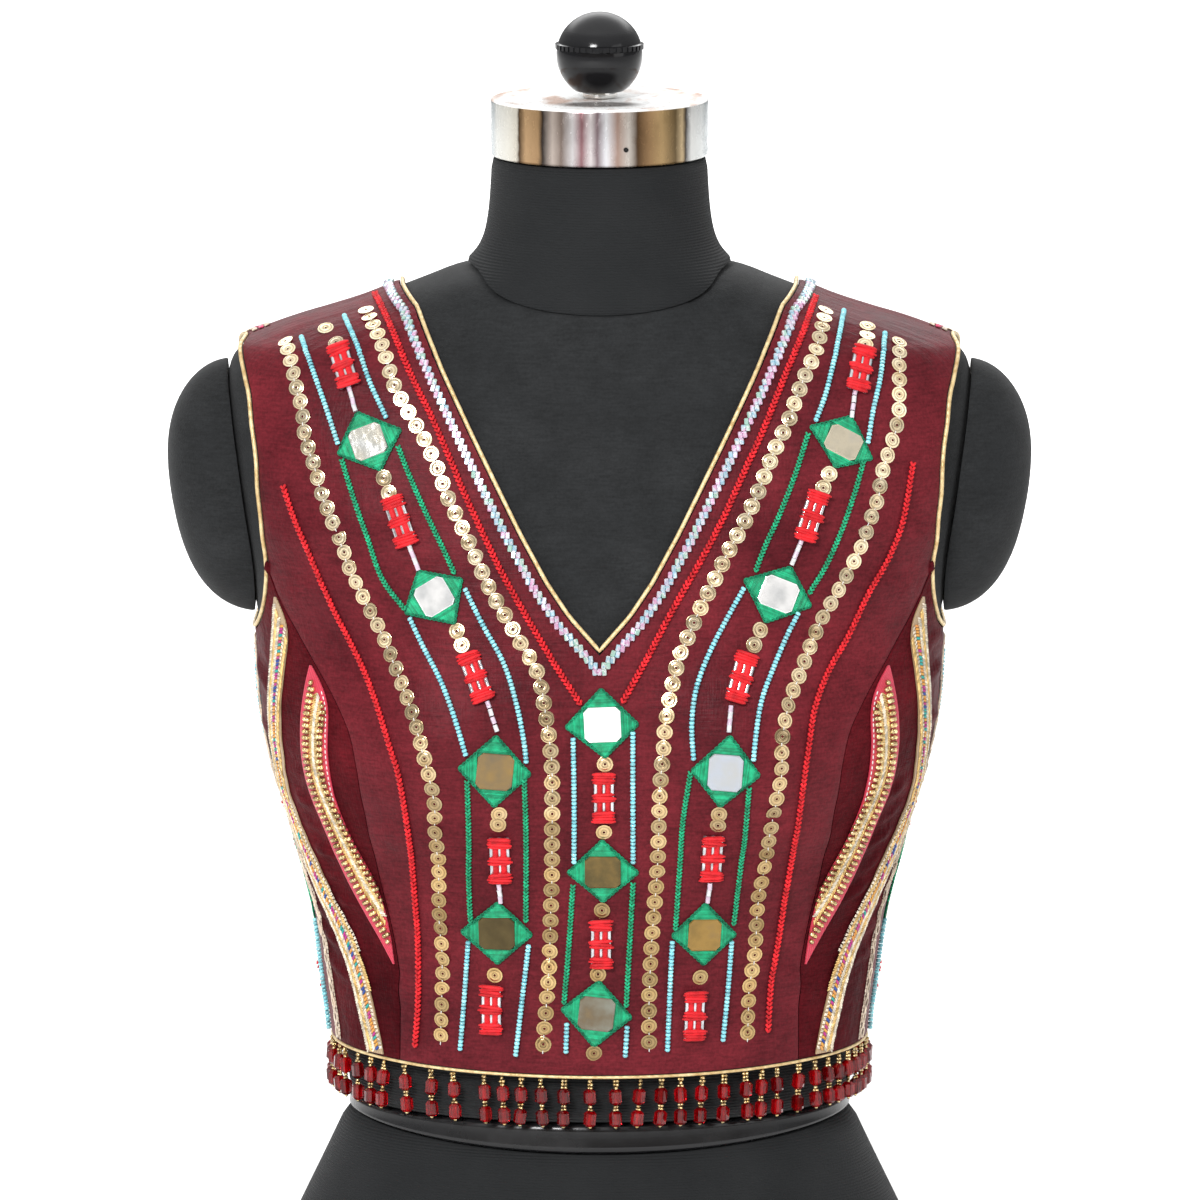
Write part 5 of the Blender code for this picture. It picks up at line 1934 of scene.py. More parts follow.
# ---- The blouse's cloth and its piping ----------------------------------------------------------------------
@dataclass
class Cut:
    """Edges of the blouse's pieces, as lines of places on the +X side."""

    body: Body
    shoulder_tip: float = 337.0
    neck_point: float = 362.0
    back_neck_drop: float = 86.0
    back_neck_half_width: float = 94.0
    straight_share: float = 0.76
    armhole_centre: float = 267.75
    armhole_half_height: float = 69.25
    armhole_front: float = 54.0
    armhole_back: float = 52.0
    armhole_fullness: float = 2.2
    princess_top: float = 238.0

    def __post_init__(self) -> None:
        """Make curves of the two side seams, and find where the princess seam meets the armhole."""
        rows = np.array(SIDE_ROWS)
        self.princess_across = Profile(rows[:, 0], rows[:, 1])
        self.side_angle = Profile(rows[:, 0], rows[:, 2])
        low, high = 0.0, 0.5
        for _ in range(40):
            middle = (low + high) / 2
            if self.armhole(np.array([-middle]))[0, 1] < self.princess_top:
                low = middle
            else:
                high = middle
        self.princess_turn = low

    def princess(self, height: Values, shift: float = 0.0) -> Array:
        """Places on the princess seam, moved sideways."""
        return self.body.across(self.princess_across(height) + shift, height)

    def side_seam(self, height: Values, shift: float = 0.0) -> Array:
        """Places on the side seam, moved back."""
        angle = np.radians(self.side_angle(height)) + shift / self.body.front(height)
        return places(angle, height)

    def armhole(self, turn: Values) -> Array:
        """Places on the armhole: turn is 0 at its bottom, 1 at the shoulder tip, minus along the front.

        Args:
            turn: array of positions along it.

        Returns:
            Array of places.
        """
        swing = np.pi * (np.abs(turn) - 0.5)
        power = 2 / self.armhole_fullness
        up = np.copysign(np.abs(np.sin(swing)) ** power, np.sin(swing))
        depth = np.maximum(np.cos(swing), 0.0) ** power
        depth = depth * np.where(turn < 0, -self.armhole_front, self.armhole_back)
        return self.body.along(depth, self.armhole_centre + self.armhole_half_height * up)

    def front_neck(self, share: Array) -> Array:
        """Places on the front neckline: share is 0 at the bottom of the V and 1 at the shoulder seam.

        Args:
            share: array of positions along it.

        Returns:
            Array of places.
        """
        knots = np.array(V_NECK)
        lengths = np.concatenate([[0.0], np.cumsum(np.hypot(*np.diff(knots, axis=0).T))])
        wanted = lengths[-1] * np.minimum(share / self.straight_share, 1.0)
        low = self.body.across(np.interp(wanted, lengths, knots[:, 0]), np.interp(wanted, lengths, knots[:, 1]))
        rest = np.clip((share - self.straight_share) / (1 - self.straight_share), 0.0, 1.0)
        across, height = knots[-1]
        across = across + (self.back_neck_half_width - across) * rest
        high = self.body.across(across, height + (self.neck_point - height) * rest)
        high[share >= 1.0] = (np.pi / 2, self.neck_point)
        return np.where((share > self.straight_share)[:, None], high, low)

    def back_neck(self, share: Array) -> Array:
        """Places on the back neckline: share is 0 at the centre back and 1 at the shoulder seam.

        Args:
            share: array of positions along it.

        Returns:
            Array of places.
        """
        swing = (1 - (1 - share) ** 1.5) * np.pi / 2
        height = self.neck_point - self.back_neck_drop * np.cos(swing)
        across = np.maximum(self.back_neck_half_width * np.sin(swing), 0.001)
        made = self.body.across(across, height, at_back=True)
        made[share >= 1.0] = (np.pi / 2, self.neck_point)
        return made

    def neck_loop(self) -> Array:
        """Closed line of places round the whole neckline, from the bottom of the V over the +X shoulder.

        Returns:
            Array of places.
        """
        right = np.vstack([self.front_neck(shares(56)), self.back_neck(shares(44))[-2:0:-1]])
        centre = self.back_neck(np.array([0.0]))
        centre[0, 0] = np.pi
        left = mirrored(right[:0:-1])
        left[:, 0] = np.where(left[:, 0] < 0, left[:, 0] + math.tau, left[:, 0])
        return np.vstack([right, centre, left])

    def armhole_loop(self) -> Array:
        """Closed line of places round the +X armhole, from the shoulder tip down its front.

        Returns:
            Array of places.
        """
        front = self.armhole(-np.linspace(1.0, 0.0, 60)[1:-1])
        back = self.armhole(np.linspace(0.0, 1.0, 60))
        return np.vstack([front, back])


@dataclass
class Panel:
    """One piece of the blouse's cloth, cut flat to a width and a length in metres."""

    name: str
    node: str
    edges: tuple
    columns: int
    flat: tuple
    area: float
    both_sides: bool = False
    other_side: bool = False
    roll: float = 0.35
    finish: str = "cloth"
    finer: int = 2
    carries: tuple = ()

    def grid(self, body: Body) -> Array:
        """Places between the two edges, rows by columns.

        Args:
            body: the body that the cloth lies on.

        Returns:
            Array of places, the lowest row on the hem.
        """
        rows = np.arange(len(self.edges[0]))
        fine = np.linspace(0, rows[-1], rows[-1] * self.finer + 1)
        first, second = (
            np.stack([np.interp(fine, rows, column) for column in edge.T], axis=-1) for edge in self.edges
        )
        share = shares(self.columns)[None, :, None]
        spots = first[:, None, :] * (1 - share) + second[:, None, :] * share
        spots[0, :, 1] = body.hem(spots[0, :, 0])
        return spots

    def lift(self, spots: Array, inner_edge: bool) -> Array:
        """How far the edges of the cloth turn down, in millimetres.

        Args:
            spots: the panel's places, rows by columns.
            inner_edge: whether the first column is an edge too.

        Returns:
            Array of lifts, minus where the cloth turns down.
        """
        down = np.zeros(spots.shape[:2])
        if inner_edge:
            down[:, 0] = self.roll
        down[:, -1] = self.roll
        down[-1, :] = self.roll
        down[0, :] = self.roll / 2
        return -down

    def build(self, body: Body, paint: Paintbox) -> None:
        """Cut and sew the piece on.

        Args:
            body: the body that it lies on.
            paint: the materials.
        """
        spots = self.grid(body)
        down = self.lift(spots, not self.both_sides)
        radius = body.girth_radius * MM
        chart = np.stack([spots[..., 0] * radius, spots[..., 1] * MM], axis=-1)
        grids = []
        if not self.other_side:
            grids.append((body.cloth(spots, down), chart))
        if self.both_sides or self.other_side:
            turned = mirrored(spots)[:, ::-1]
            grids.append((body.cloth(turned, down[:, ::-1]), (chart * [-1.0, 1.0])[:, ::-1]))
        made = grid_piece(self.name, grids, paint[self.finish], CLOTH_THICKNESS)
        hand_in(made, "maroon_cloth", self.node)

    def declare(self) -> None:
        """Look up the piece's object by its name."""
        bpy.data.objects[self.name]


@dataclass
class Blouse:
    """The five pieces of cloth and the corded piping on their edges."""

    body: Body
    cut: Cut
    paint: Paintbox
    piping_radius: float = 1.0
    piping_gap: float = 0.5
    hem_radius: float = 0.75
    piping_lift: float = 0.2
    columns: int = 48
    princess_foot: float = 4.0
    side_foot_angle: float = 74.0
    hem_steps: int = 240

    def panels(self) -> list[Panel]:
        """The blouse's five pieces, with the sizes that they are cut to.

        Returns:
            List of panels.
        """
        body, cut, gap = self.body, self.cut, SEAM_GAP / 2
        middle = np.vstack([places(0.0, V_NECK[0][1] * shares(48)), cut.front_neck(shares(56))[1:]])
        middle[-1] = (middle[-1, 0] - gap / body.front(cut.neck_point), cut.neck_point)
        foot = body.hem(cut.princess(np.array([self.princess_foot]))[0, 0])
        heights = foot + (cut.princess_top - foot) * shares(60)
        front_arm = cut.armhole(-(cut.princess_turn + (1 - cut.princess_turn) * shares(44)))
        top = (front_arm[0, 0] - gap / cut.armhole_front, cut.princess_top)
        outer = np.vstack([cut.princess(heights[:-1], -gap), [top], front_arm[1:]])
        outer[-1] = (np.pi / 2 - gap / body.front(cut.shoulder_tip), cut.shoulder_tip)
        inner = cut.princess(heights, gap)
        bottom = cut.armhole(np.array([0.0]))[0, 1]
        side_foot = body.hem(math.radians(self.side_foot_angle))
        side_heights = side_foot + (bottom - side_foot) * shares(44)
        low_arm = cut.armhole(-cut.princess_turn * shares(16))
        side_outer = np.vstack([cut.side_seam(side_heights, -gap), low_arm[1:]])
        inner[-1] = side_outer[-1]
        back_outer = np.vstack([cut.side_seam(side_heights, gap), cut.armhole(shares(60))[1:]])
        back_outer[-1] = (np.pi / 2 + gap / body.back(cut.shoulder_tip), cut.shoulder_tip)
        neck_bottom = cut.back_neck(np.array([0.0]))[0, 1]
        centre = places(np.pi - gap / cut.back_neck_half_width, neck_bottom * shares(60))
        back_inner = np.vstack([centre, cut.back_neck(shares(44))[1:]])
        back_inner[-1] = (np.pi / 2 + gap / body.back(cut.neck_point), cut.neck_point)
        front_pieces = (
            "sequins_front", "red_chain_front", "turquoise_front", "green_chain_front", "bars_front",
            "column_sequins_front", "stones_neck", "piping_neck", "piping_hem", "fringe", "patch_left",
            "patch_centre", "patch_right",
        )
        side_pieces = ("ribbon_bright", "ribbon_pink", "chain_lace")
        back_pieces = (
            "sequins_back", "tracks_back", "fillings_back", "red_chain_back", "armhole_braid", "piping_armhole",
            "patch_back",
        )
        made = [
            Panel(
                "cloth_front", "front_panel", (middle, outer), self.columns, (0.36, 0.41), 0.0904,
                both_sides=True, carries=front_pieces,
            )
        ]
        for side, other in (("right", False), ("left", True)):
            made.append(
                Panel(
                    f"cloth_side_{side}", f"side_front_{side}", (inner, side_outer), self.columns,
                    (0.12, 0.25), 0.0153, other_side=other, finish="shaded_side_cloth", finer=3,
                    carries=tuple(f"{piece}_{side}" for piece in side_pieces),
                )
            )
            made.append(
                Panel(
                    f"cloth_back_{side}", f"back_panel_{side}", (back_outer, back_inner), self.columns,
                    (0.25, 0.40), 0.0673, other_side=other,
                    carries=tuple(f"{piece}_{side}" for piece in back_pieces),
                )
            )
        return made

    def beside(self, spots: Array, lift: Array, clearance: float) -> tuple[Array, Array]:
        """Closed line of points to the left of an edge, seen from outside, and directions out of the skin.

        Args:
            spots: array of places along the edge.
            lift: off the skin, one for each place.
            clearance: distance from the edge in millimetres.

        Returns:
            The points in metres and the directions.
        """
        points = self.body.skin(spots, lift)
        normals = self.body.normal(spots)
        behind = unit(points - np.roll(points, 1, axis=0))
        ahead = unit(np.roll(points, -1, axis=0) - points)
        left_behind = unit(np.cross(normals, behind))
        left_ahead = unit(np.cross(normals, ahead))
        square = 1 + (left_behind * left_ahead).sum(-1)[:, None]
        return points + (left_behind + left_ahead) / square * clearance * MM, normals

    def add_piping(self) -> None:
        """Corded piping round the neckline, the armholes and the hem."""
        clearance = self.piping_radius + self.piping_gap
        rise = self.piping_radius + self.piping_lift - CLOTH_THICKNESS
        loop = self.cut.neck_loop()
        points, normals = self.beside(loop, self.body.cloth_lift(loop) + rise, clearance)
        made = tube_piece("piping_neck", points, normals, self.piping_radius, self.paint["piping"])
        hand_in(made, "tan_piping", "neck_piping")
        right = self.cut.armhole_loop()
        for side, loop in (("right", right), ("left", mirrored(right)[::-1])):
            points, normals = self.beside(loop, self.body.cloth_lift(loop) + rise, clearance)
            name = f"piping_armhole_{side}"
            made = tube_piece(name, points, normals, self.piping_radius, self.paint["piping"])
            hand_in(made, "tan_piping", f"armhole_piping_{side}")
        angles = np.linspace(0.0, math.tau, self.hem_steps + 1)[:-1]
        loop = places(angles, self.body.hem(angles))
        points = self.body.skin(loop, self.body.cloth_lift(loop) - CLOTH_THICKNESS / 2)
        points = points - np.array([0.0, 0.0, (self.hem_radius + self.piping_gap) * MM])
        made = tube_piece("piping_hem", points, self.body.normal(loop), self.hem_radius, self.paint["piping"])
        hand_in(made, "tan_piping", "hem_piping")

    def build(self) -> None:
        """Cut the cloth and add the piping."""
        for panel in self.panels():
            panel.build(self.body, self.paint)
        self.add_piping()

    def declare(self) -> None:
        """Look up each piece of cloth's object, once all that is sewn on it is made."""
        for panel in self.panels():
            panel.declare()


# ---- Small pieces, each modelled once -----------------------------------------------------------------------
@dataclass
class Findings:
    """Beads, sequins, stitches and mirrors, modelled round the origin.

    X runs along a line of them and Z out of the cloth.
    """

    paint: Paintbox
    sequin_across: float = 7.7
    stone_sizes: tuple = (3.1, 2.05, 1.9)
    mirror_side: float = 17.2
    mirror_clip: float = 2.3
    bead_wall: float = 0.2
    link_rise: float = 1.1
    stitch_sizes: tuple = (0.5, 0.66)
    stitch_tip: float = 0.17
    tip_width: float = 0.4
    tube_wall: float = 0.2
    tube_bore: tuple = (0.04, 0.2)
    sequin_steps: tuple = ((0.8, 0.22), (2.35, -0.12))
    sequin_thickness: float = 0.16
    stone_edge: float = 0.32
    mirror_thickness: float = 0.7
    mirror_bevel: tuple = (0.45, 0.25)
    ruby_sizes: tuple = (3.05, 7.3)
    ruby_edge: float = 1.15
    light_core_sizes: tuple = (0.75, 6.2)

    def dress(self, name: str, finish: str, angle: float | None = None) -> Piece:
        """Name the active object, give it its finish and shade it.

        Args:
            name: its name.
            finish: short name of its finish.
            angle: the angle in degrees over which an edge stays sharp.

        Returns:
            The object.
        """
        made = bpy.context.object
        bpy.ops.object.transform_apply(location=True, rotation=True, scale=True)
        made.name = name
        made.data.materials.clear()
        made.data.materials.append(self.paint[finish])
        shade(made, angle)
        bpy.context.collection.objects.unlink(made)
        return made

    def rod(self, sides: int, radius: float, length: float) -> Piece:
        """Cylinder along X.

        Args:
            sides: corners of its section.
            radius: in millimetres.
            length: in millimetres.

        Returns:
            The object.
        """
        turn = (0.0, math.radians(90), 0.0)
        bpy.ops.mesh.primitive_cylinder_add(vertices=sides, radius=radius * MM, depth=length * MM, rotation=turn)
        bpy.ops.object.transform_apply(rotation=True)
        return bpy.context.object

    def bead(
        self, name: str, across: float, length: float, finish: str, segments: int = 7, rounds: int = 5
    ) -> Piece:
        """Round bead with its hole along X.

        Args:
            name: its name.
            across: its width in millimetres.
            length: along its hole.
            finish: short name of its finish.
            segments: corners round its hole.
            rounds: corners of its wall.

        Returns:
            The object.
        """
        wall = self.bead_wall * across
        bpy.ops.mesh.primitive_torus_add(
            major_segments=segments, minor_segments=rounds, major_radius=(across / 2 - wall) * MM,
            minor_radius=wall * MM, rotation=(0.0, math.radians(90), 0.0),
        )
        bpy.ops.object.transform_apply(rotation=True)
        edit(bpy.context.object)
        bpy.ops.mesh.select_all(action="SELECT")
        bpy.ops.transform.resize(value=(length / (2 * wall), 1.0, 1.0))
        close_edit()
        return self.dress(name, finish)

    def link(
        self, name: str, length: float, across: float, thread: float, finish: str,
        segments: int = 8, rounds: int = 4,
    ) -> Piece:
        """Loop of one chain stitch, lying flat.

        Args:
            name: its name.
            length: in millimetres.
            across: its width.
            thread: the thread's width.
            finish: short name of its finish.
            segments: corners round the loop.
            rounds: corners of the thread.

        Returns:
            The object.
        """
        bpy.ops.mesh.primitive_torus_add(
            major_segments=segments, minor_segments=rounds, major_radius=(across - thread) / 2 * MM,
            minor_radius=thread / 2 * MM,
        )
        edit(bpy.context.object)
        bpy.ops.mesh.select_all(action="SELECT")
        bpy.ops.transform.resize(value=(length / across, 1.0, self.link_rise))
        close_edit()
        return self.dress(name, finish)

    def stitch(self, name: str, finish: str, sides: int = 5) -> Piece:
        """Straight stitch one millimetre long and thick, drawn in at its ends.

        Args:
            name: its name.
            finish: short name of its finish.
            sides: corners of its section.

        Returns:
            The object.
        """
        made = self.rod(sides, *self.stitch_sizes)
        for side in (-1.0, 1.0):
            edit(made)
            pick_faces(made, lambda centre, normal, way=side: normal.x * way > 0.9)
            move = (side * self.stitch_tip * MM, 0.0, 0.0)
            bpy.ops.mesh.extrude_region_move(TRANSFORM_OT_translate={"value": move})
            bpy.ops.transform.resize(value=(1.0, self.tip_width, self.tip_width))
            close_edit()
        return self.dress(name, finish, SHARP_EDGE)

    def bugle(self, name: str, across: float, length: float, finish: str) -> Piece:
        """Glass tube with its hole along X.

        Args:
            name: its name.
            across: its width in millimetres.
            length: along its hole.
            finish: short name of its finish.

        Returns:
            The object.
        """
        made = self.rod(8, across / 2, length)
        edit(made)
        pick_faces(made, lambda centre, normal: abs(normal.x) > 0.9)
        inner, deep = self.tube_bore
        bpy.ops.mesh.inset(thickness=self.tube_wall * across * MM, depth=0.0, use_individual=True)
        bpy.ops.mesh.inset(thickness=inner * across * MM, depth=-deep * length * MM, use_individual=True)
        close_edit()
        return self.dress(name, finish, SOFT_PIECE)

    def disc(
        self, name: str, across: float, steps: tuple, open_middle: bool, thickness: float, finish: str,
        corners: int,
    ) -> Piece:
        """Thin disc whose rings rise and fall.

        Args:
            name: its name.
            across: its width in millimetres.
            steps: (inset, rise) pairs from its rim inwards, in millimetres.
            open_middle: whether a hole goes through its middle.
            thickness: in millimetres.
            finish: short name of its finish.
            corners: corners of its rim.

        Returns:
            The object.
        """
        bpy.ops.mesh.primitive_circle_add(vertices=corners, radius=across / 2 * MM, fill_type="NGON")
        made = bpy.context.object
        edit(made)
        bpy.ops.mesh.select_all(action="SELECT")
        for inset, rise in steps:
            bpy.ops.mesh.inset(thickness=inset * MM, depth=rise * MM)
        if open_middle:
            bpy.ops.mesh.delete(type="FACE")
        close_edit()
        layer = made.data.uv_layers.active or made.data.uv_layers.new(name="UVMap")
        for loop in made.data.loops:
            corner = made.data.vertices[loop.vertex_index].co
            layer.data[loop.index].uv = (corner.x / (across * MM) + 0.5, corner.y / (across * MM) + 0.5)
        apply_modifier(made, "SOLIDIFY", thickness=thickness * MM, offset=-1.0)
        return self.dress(name, finish, 45)

    def sequin(self) -> Piece:
        """Flat gold sequin with a raised ring and a hole."""
        steps, thickness = self.sequin_steps, self.sequin_thickness
        return self.disc("sequin", self.sequin_across, steps, True, thickness, "sequin", 14)

    def stone(self) -> Piece:
        """Small oblong iridescent bead with cut corners.

        Returns:
            The object.
        """
        bpy.ops.mesh.primitive_cube_add(size=1.0 * MM)
        made = bpy.context.object
        edit(made)
        bpy.ops.mesh.select_all(action="SELECT")
        bpy.ops.transform.resize(value=self.stone_sizes)
        close_edit()
        apply_modifier(made, "BEVEL", width=self.stone_edge * MM, segments=1)
        return self.dress("stone", "pearl", SMALL_PIECE)

    def mirror(self) -> Piece:
        """Square mirror with clipped corners and a ground edge.

        Returns:
            The object.
        """
        bpy.ops.mesh.primitive_plane_add(size=self.mirror_side * MM)
        made = bpy.context.object
        edit(made, "VERT")
        bpy.ops.mesh.select_all(action="SELECT")
        clip = {"offset": self.mirror_clip * MM, "offset_type": "OFFSET", "clamp_overlap": False}
        bpy.ops.mesh.bevel(affect="VERTICES", **clip)
        bpy.ops.mesh.select_mode(type="FACE")
        bpy.ops.mesh.select_all(action="SELECT")
        move = (0.0, 0.0, self.mirror_thickness * MM)
        bpy.ops.mesh.extrude_region_move(TRANSFORM_OT_translate={"value": move})
        inner, rise = self.mirror_bevel
        bpy.ops.mesh.inset(thickness=inner * MM, depth=rise * MM)
        close_edit()
        clean(made, 1e-7)
        return self.dress("mirror", "mirror", SMALL_PIECE)

    def ruby(self) -> Piece:
        """Faceted glass bead with a bright red core inside, painted to stand for the light that shines through the
        glass, its hole along X.

        Returns:
            The object.
        """
        glass = self.rod(7, *self.ruby_sizes)
        bevel(glass, self.ruby_edge, 1)
        glass.data.materials.append(self.paint["ruby"])
        # the core inside the glass is painted light through the bead
        light_core = self.rod(6, *self.light_core_sizes)
        edit(light_core)
        pick_faces(light_core, lambda centre, normal: abs(normal.x) > 0.9)
        bpy.ops.mesh.inset(thickness=0.3 * MM, depth=0.0, use_individual=True)
        close_edit()
        light_core.data.materials.append(self.paint["painted_light_core"])
        made = join("ruby", [glass, light_core])
        bpy.context.collection.objects.unlink(made)
        return made


def stretched(frames: Array, length: Values, across: Values, thickness: float) -> Array:
    """The same frames, with their axes scaled by millimetres.

    Args:
        frames: array of 4 by 4 matrices.
        length: scale along X, one number or an array.
        across: scale along Y.
        thickness: scale along Z.

    Returns:
        Array of matrices.
    """
    made = frames.copy()
    for axis, size in enumerate((length, across, thickness)):
        made[:, :3, axis] *= np.broadcast_to(np.asarray(size, float), (len(frames),))[:, None]
    return made


# ---- Mirror patches --------------------------------------------------------------------------------------------
# name, then the top, right, bottom and left corners in the front view's units, and the tone of the mirror's painted
# reflection
FRONT_PATCHES = (
    ("left_1", (358, 413), (401, 430), (381, 470), (339, 454), 0.7),
    ("left_2", (419, 571), (462, 579), (455, 623), (406, 613), 0.96),
    ("left_3", (496, 736), (530, 774), (494, 806), (459, 768), 0.32),
    ("left_4", (498, 902), (532, 934), (498, 963), (462, 931), 0.05),
    ("centre_1", (601, 689), (638, 724), (605, 757), (566, 727), 1.2),
    ("centre_2", (602, 840), (638, 872), (603, 901), (568, 872), 0.13),
    ("centre_3", (599, 981), (631, 1017), (594, 1046), (562, 1009), 0.38),
    ("right_1", (850, 417), (871, 459), (835, 467), (810, 427), 0.6),
    ("right_2", (790, 567), (810, 606), (765, 622), (744, 580), 0.97),
    ("right_3", (730, 736), (759, 775), (720, 806), (692, 770), 0.79),
    ("right_4", (705, 903), (735, 934), (703, 964), (672, 935), 0.24),
)
# name, angle, height, turn, the tone of the mirror's painted reflection
BACK_PATCHES = (
    ("1", 147.0, 292.0, -18.0, 0.72),
    ("2", 150.0, 222.0, -12.0, 0.7),
    ("3", 157.5, 142.0, -4.0, 0.5),
    ("4", 157.0, 62.0, 0.0, 0.3),
    ("5", 101.0, 142.0, 0.0, 0.6),
    ("6", 99.0, 62.0, 0.0, 0.35),
)


@dataclass
class Patches:
    """Satin-stitched squares that stand on one corner, each with a clipped mirror in its middle."""

    body: Body
    view: FrontView
    paint: Paintbox
    findings: Findings
    chance: random.Random
    half: float = 16.8
    base_lift: float = 0.85
    base_thickness: float = 0.7
    thread_pitch: float = 0.62
    cord_pitch: float = 2.3
    probe: float = 0.04
    inlay_lift: float = 0.1
    satin_lift: float = 0.15
    satin_size: tuple = (0.92, 0.75)
    crown_least: float = 0.55
    reach_under: float = 0.3
    first_thread: float = 0.6

    def __post_init__(self) -> None:
        """Model the pieces that every patch has."""
        self.threads = variants(self.findings.stitch("satin", "green"))
        self.cord = variants(self.findings.link("border", 3.2, 1.9, 0.8, "dark_green", segments=7))
        self.mirror = self.findings.mirror()

    def points(self, corners: Array, across: Values, up: Values, lift: Values) -> Array:
        """Points on the cloth inside a patch.

        Args:
            corners: its top, right, bottom and left places.
            across: from -1 at the left corner to 1 at the right one.
            up: from -1 at the bottom corner to 1 at the top one.
            lift: off the cloth, in millimetres.

        Returns:
            Array of points in metres.
        """
        across, up = np.broadcast_arrays(np.asarray(across, float), np.asarray(up, float))
        s, t = ((1 + across - up) / 2)[..., None], ((1 + across + up) / 2)[..., None]
        top, right, bottom, left = corners
        spots = (1 - s) * (1 - t) * left + s * (1 - t) * bottom + s * t * right + (1 - s) * t * top
        return self.body.cloth(spots, lift)

    def frames(self, corners: Array, across: Values, up: Values, lift: float, along: int) -> Array:
        """Frames inside a patch, with X along its own horizontal (0) or upright (1).

        Args:
            corners: its top, right, bottom and left places.
            across: from -1 at the left corner to 1 at the right one.
            up: from -1 at the bottom corner to 1 at the top one.
            lift: off the cloth, in millimetres.
            along: 0 or 1, the way that X runs.

        Returns:
            Array of 4 by 4 matrices.
        """
        step = self.probe
        middle = self.points(corners, across, up, lift)
        right = self.points(corners, across + step, up, lift) - self.points(corners, across - step, up, lift)
        rise = self.points(corners, across, up + step, lift) - self.points(corners, across, up - step, lift)
        normal = unit(np.cross(right, rise))
        run = unit(rise if along else right)
        made = np.zeros((len(middle), 4, 4))
        made[:, :3, 0], made[:, :3, 1] = run, np.cross(normal, run)
        made[:, :3, 2], made[:, :3, 3], made[:, 3, 3] = normal, middle, 1.0
        return made

    def border(self, corners: Array) -> Array:
        """Frames of the cord's links round the edge.

        Args:
            corners: the patch's top, right, bottom and left places.

        Returns:
            Array of 4 by 4 matrices.
        """
        ring = np.array([(0.0, 1.0), (1.0, 0.0), (0.0, -1.0), (-1.0, 0.0), (0.0, 1.0)])
        made = []
        for start, end in zip(ring, ring[1:]):
            a = self.points(corners, start[0], start[1], 0.0)
            b = self.points(corners, end[0], end[1], 0.0)
            count = max(4, int(round(np.linalg.norm(b - a) / MM / self.cord_pitch)))
            middles = start + (end - start) * ((np.arange(count) + 0.5) / count)[:, None]
            frames = self.frames(corners, middles[:, 0], middles[:, 1], self.base_lift + self.inlay_lift, 0)
            run = unit(b - a)
            for matrix in frames:
                normal = matrix[:3, 2]
                way = unit(run - normal * (run @ normal))
                matrix[:3, 0], matrix[:3, 1] = way, np.cross(normal, way)
            made.append(frames)
        return np.vstack(made)

    def build(self, name: str, nodes: list[str], corners: Array, tone: float) -> None:
        """Sew one patch on.

        Args:
            name: the piece's name.
            nodes: the CAD node that it stands for.
            corners: its top, right, bottom and left places.
            tone: the tone of its mirror's painted reflection, from 0 to 1.
        """
        side = np.linspace(-1.0, 1.0, 9)
        s, t = np.meshgrid(side, side)
        across, up = (s + t) / 2, (t - s) / 2
        middle_share = 1 - np.maximum(np.abs(s), np.abs(t)) ** 3
        crown = self.base_lift * (self.crown_least + (1 - self.crown_least) * middle_share)
        base = self.points(corners, across, up, crown)
        chart = np.stack([s, t], axis=-1) * self.half * MM
        items = [grid_piece("base", [(base, chart)], self.paint["green"], self.base_thickness)]
        wide = np.linalg.norm(np.diff(self.points(corners, [-1.0, 1.0], 0.0, 0.0), axis=0)) / 2 / MM
        tall = np.linalg.norm(np.diff(self.points(corners, 0.0, [-1.0, 1.0], 0.0), axis=0)) / 2 / MM
        reach = self.half - self.findings.mirror_side / 2 + self.reach_under
        depths = np.arange(self.first_thread, reach, self.thread_pitch)
        for way, sizes in ((1, (tall, wide)), (0, (wide, tall))):
            for sign in (-1.0, 1.0):
                away = sign * (1 - depths / self.half)
                spots = (0.0 * away, away) if way else (away, 0.0 * away)
                frames = self.frames(corners, *spots, self.base_lift + self.satin_lift, 0 if way else 1)
                scale = sizes[1] / self.half
                long = (2 * depths - 0.1) * scale
                items += strew(self.threads, stretched(frames, long, *self.satin_size), self.chance)
        items += strew(self.cord, self.border(corners), self.chance, 4.0)
        frame_of = self.frames(corners, np.zeros(1), np.zeros(1), self.base_lift + self.inlay_lift, 0)
        glass = strew([self.mirror], stretched(frame_of, wide / self.half, tall / self.half, 1.0), self.chance)[0]
        # the mirror's painted reflection is read off this tone
        set_tone(glass, tone)
        made = join(name, items + [glass])
        hand_in(made, "green_mirror", *nodes)

    def corners_round(self, angle: float, height: float, turn: float) -> Array:
        """Places of a patch's corners from its middle and its turn in degrees.

        Args:
            angle: the middle's angle in degrees.
            height: the middle's height.
            turn: how far the patch leans, in degrees.

        Returns:
            Array of four places: top, right, bottom and left.
        """
        middle = places([math.radians(angle)], [height])
        origin = self.body.cloth(middle)[0]
        normal = self.body.normal(middle)[0]
        rise = unit(np.array([0.0, 0.0, 1.0]) - normal * normal[2])
        right = np.cross(rise, normal)
        swing = math.radians(turn)
        up = rise * math.cos(swing) + right * math.sin(swing)
        side = right * math.cos(swing) - rise * math.sin(swing)
        points = np.array([origin + way * self.half * MM for way in (up, side, -up, -side)])
        return self.body.settle(points, np.repeat(middle, 4, axis=0))

    def build_all(self) -> None:
        """Sew on every patch."""
        for name, *marks, tone in FRONT_PATCHES:
            corners = self.body.hit(self.view.eye, self.view.rays(marks))
            self.build(f"patch_{name}", [f"mirror_patch_{name}"], corners, tone)
        for name, angle, height, turn, tone in BACK_PATCHES:
            corners = self.corners_round(angle, height, turn)
            self.build(f"patch_back_right_{name}", [f"mirror_patch_back_right_{name}"], corners, tone)
            left = mirrored(corners)[[0, 3, 2, 1]]
            self.build(f"patch_back_left_{name}", [f"mirror_patch_back_left_{name}"], left, tone)


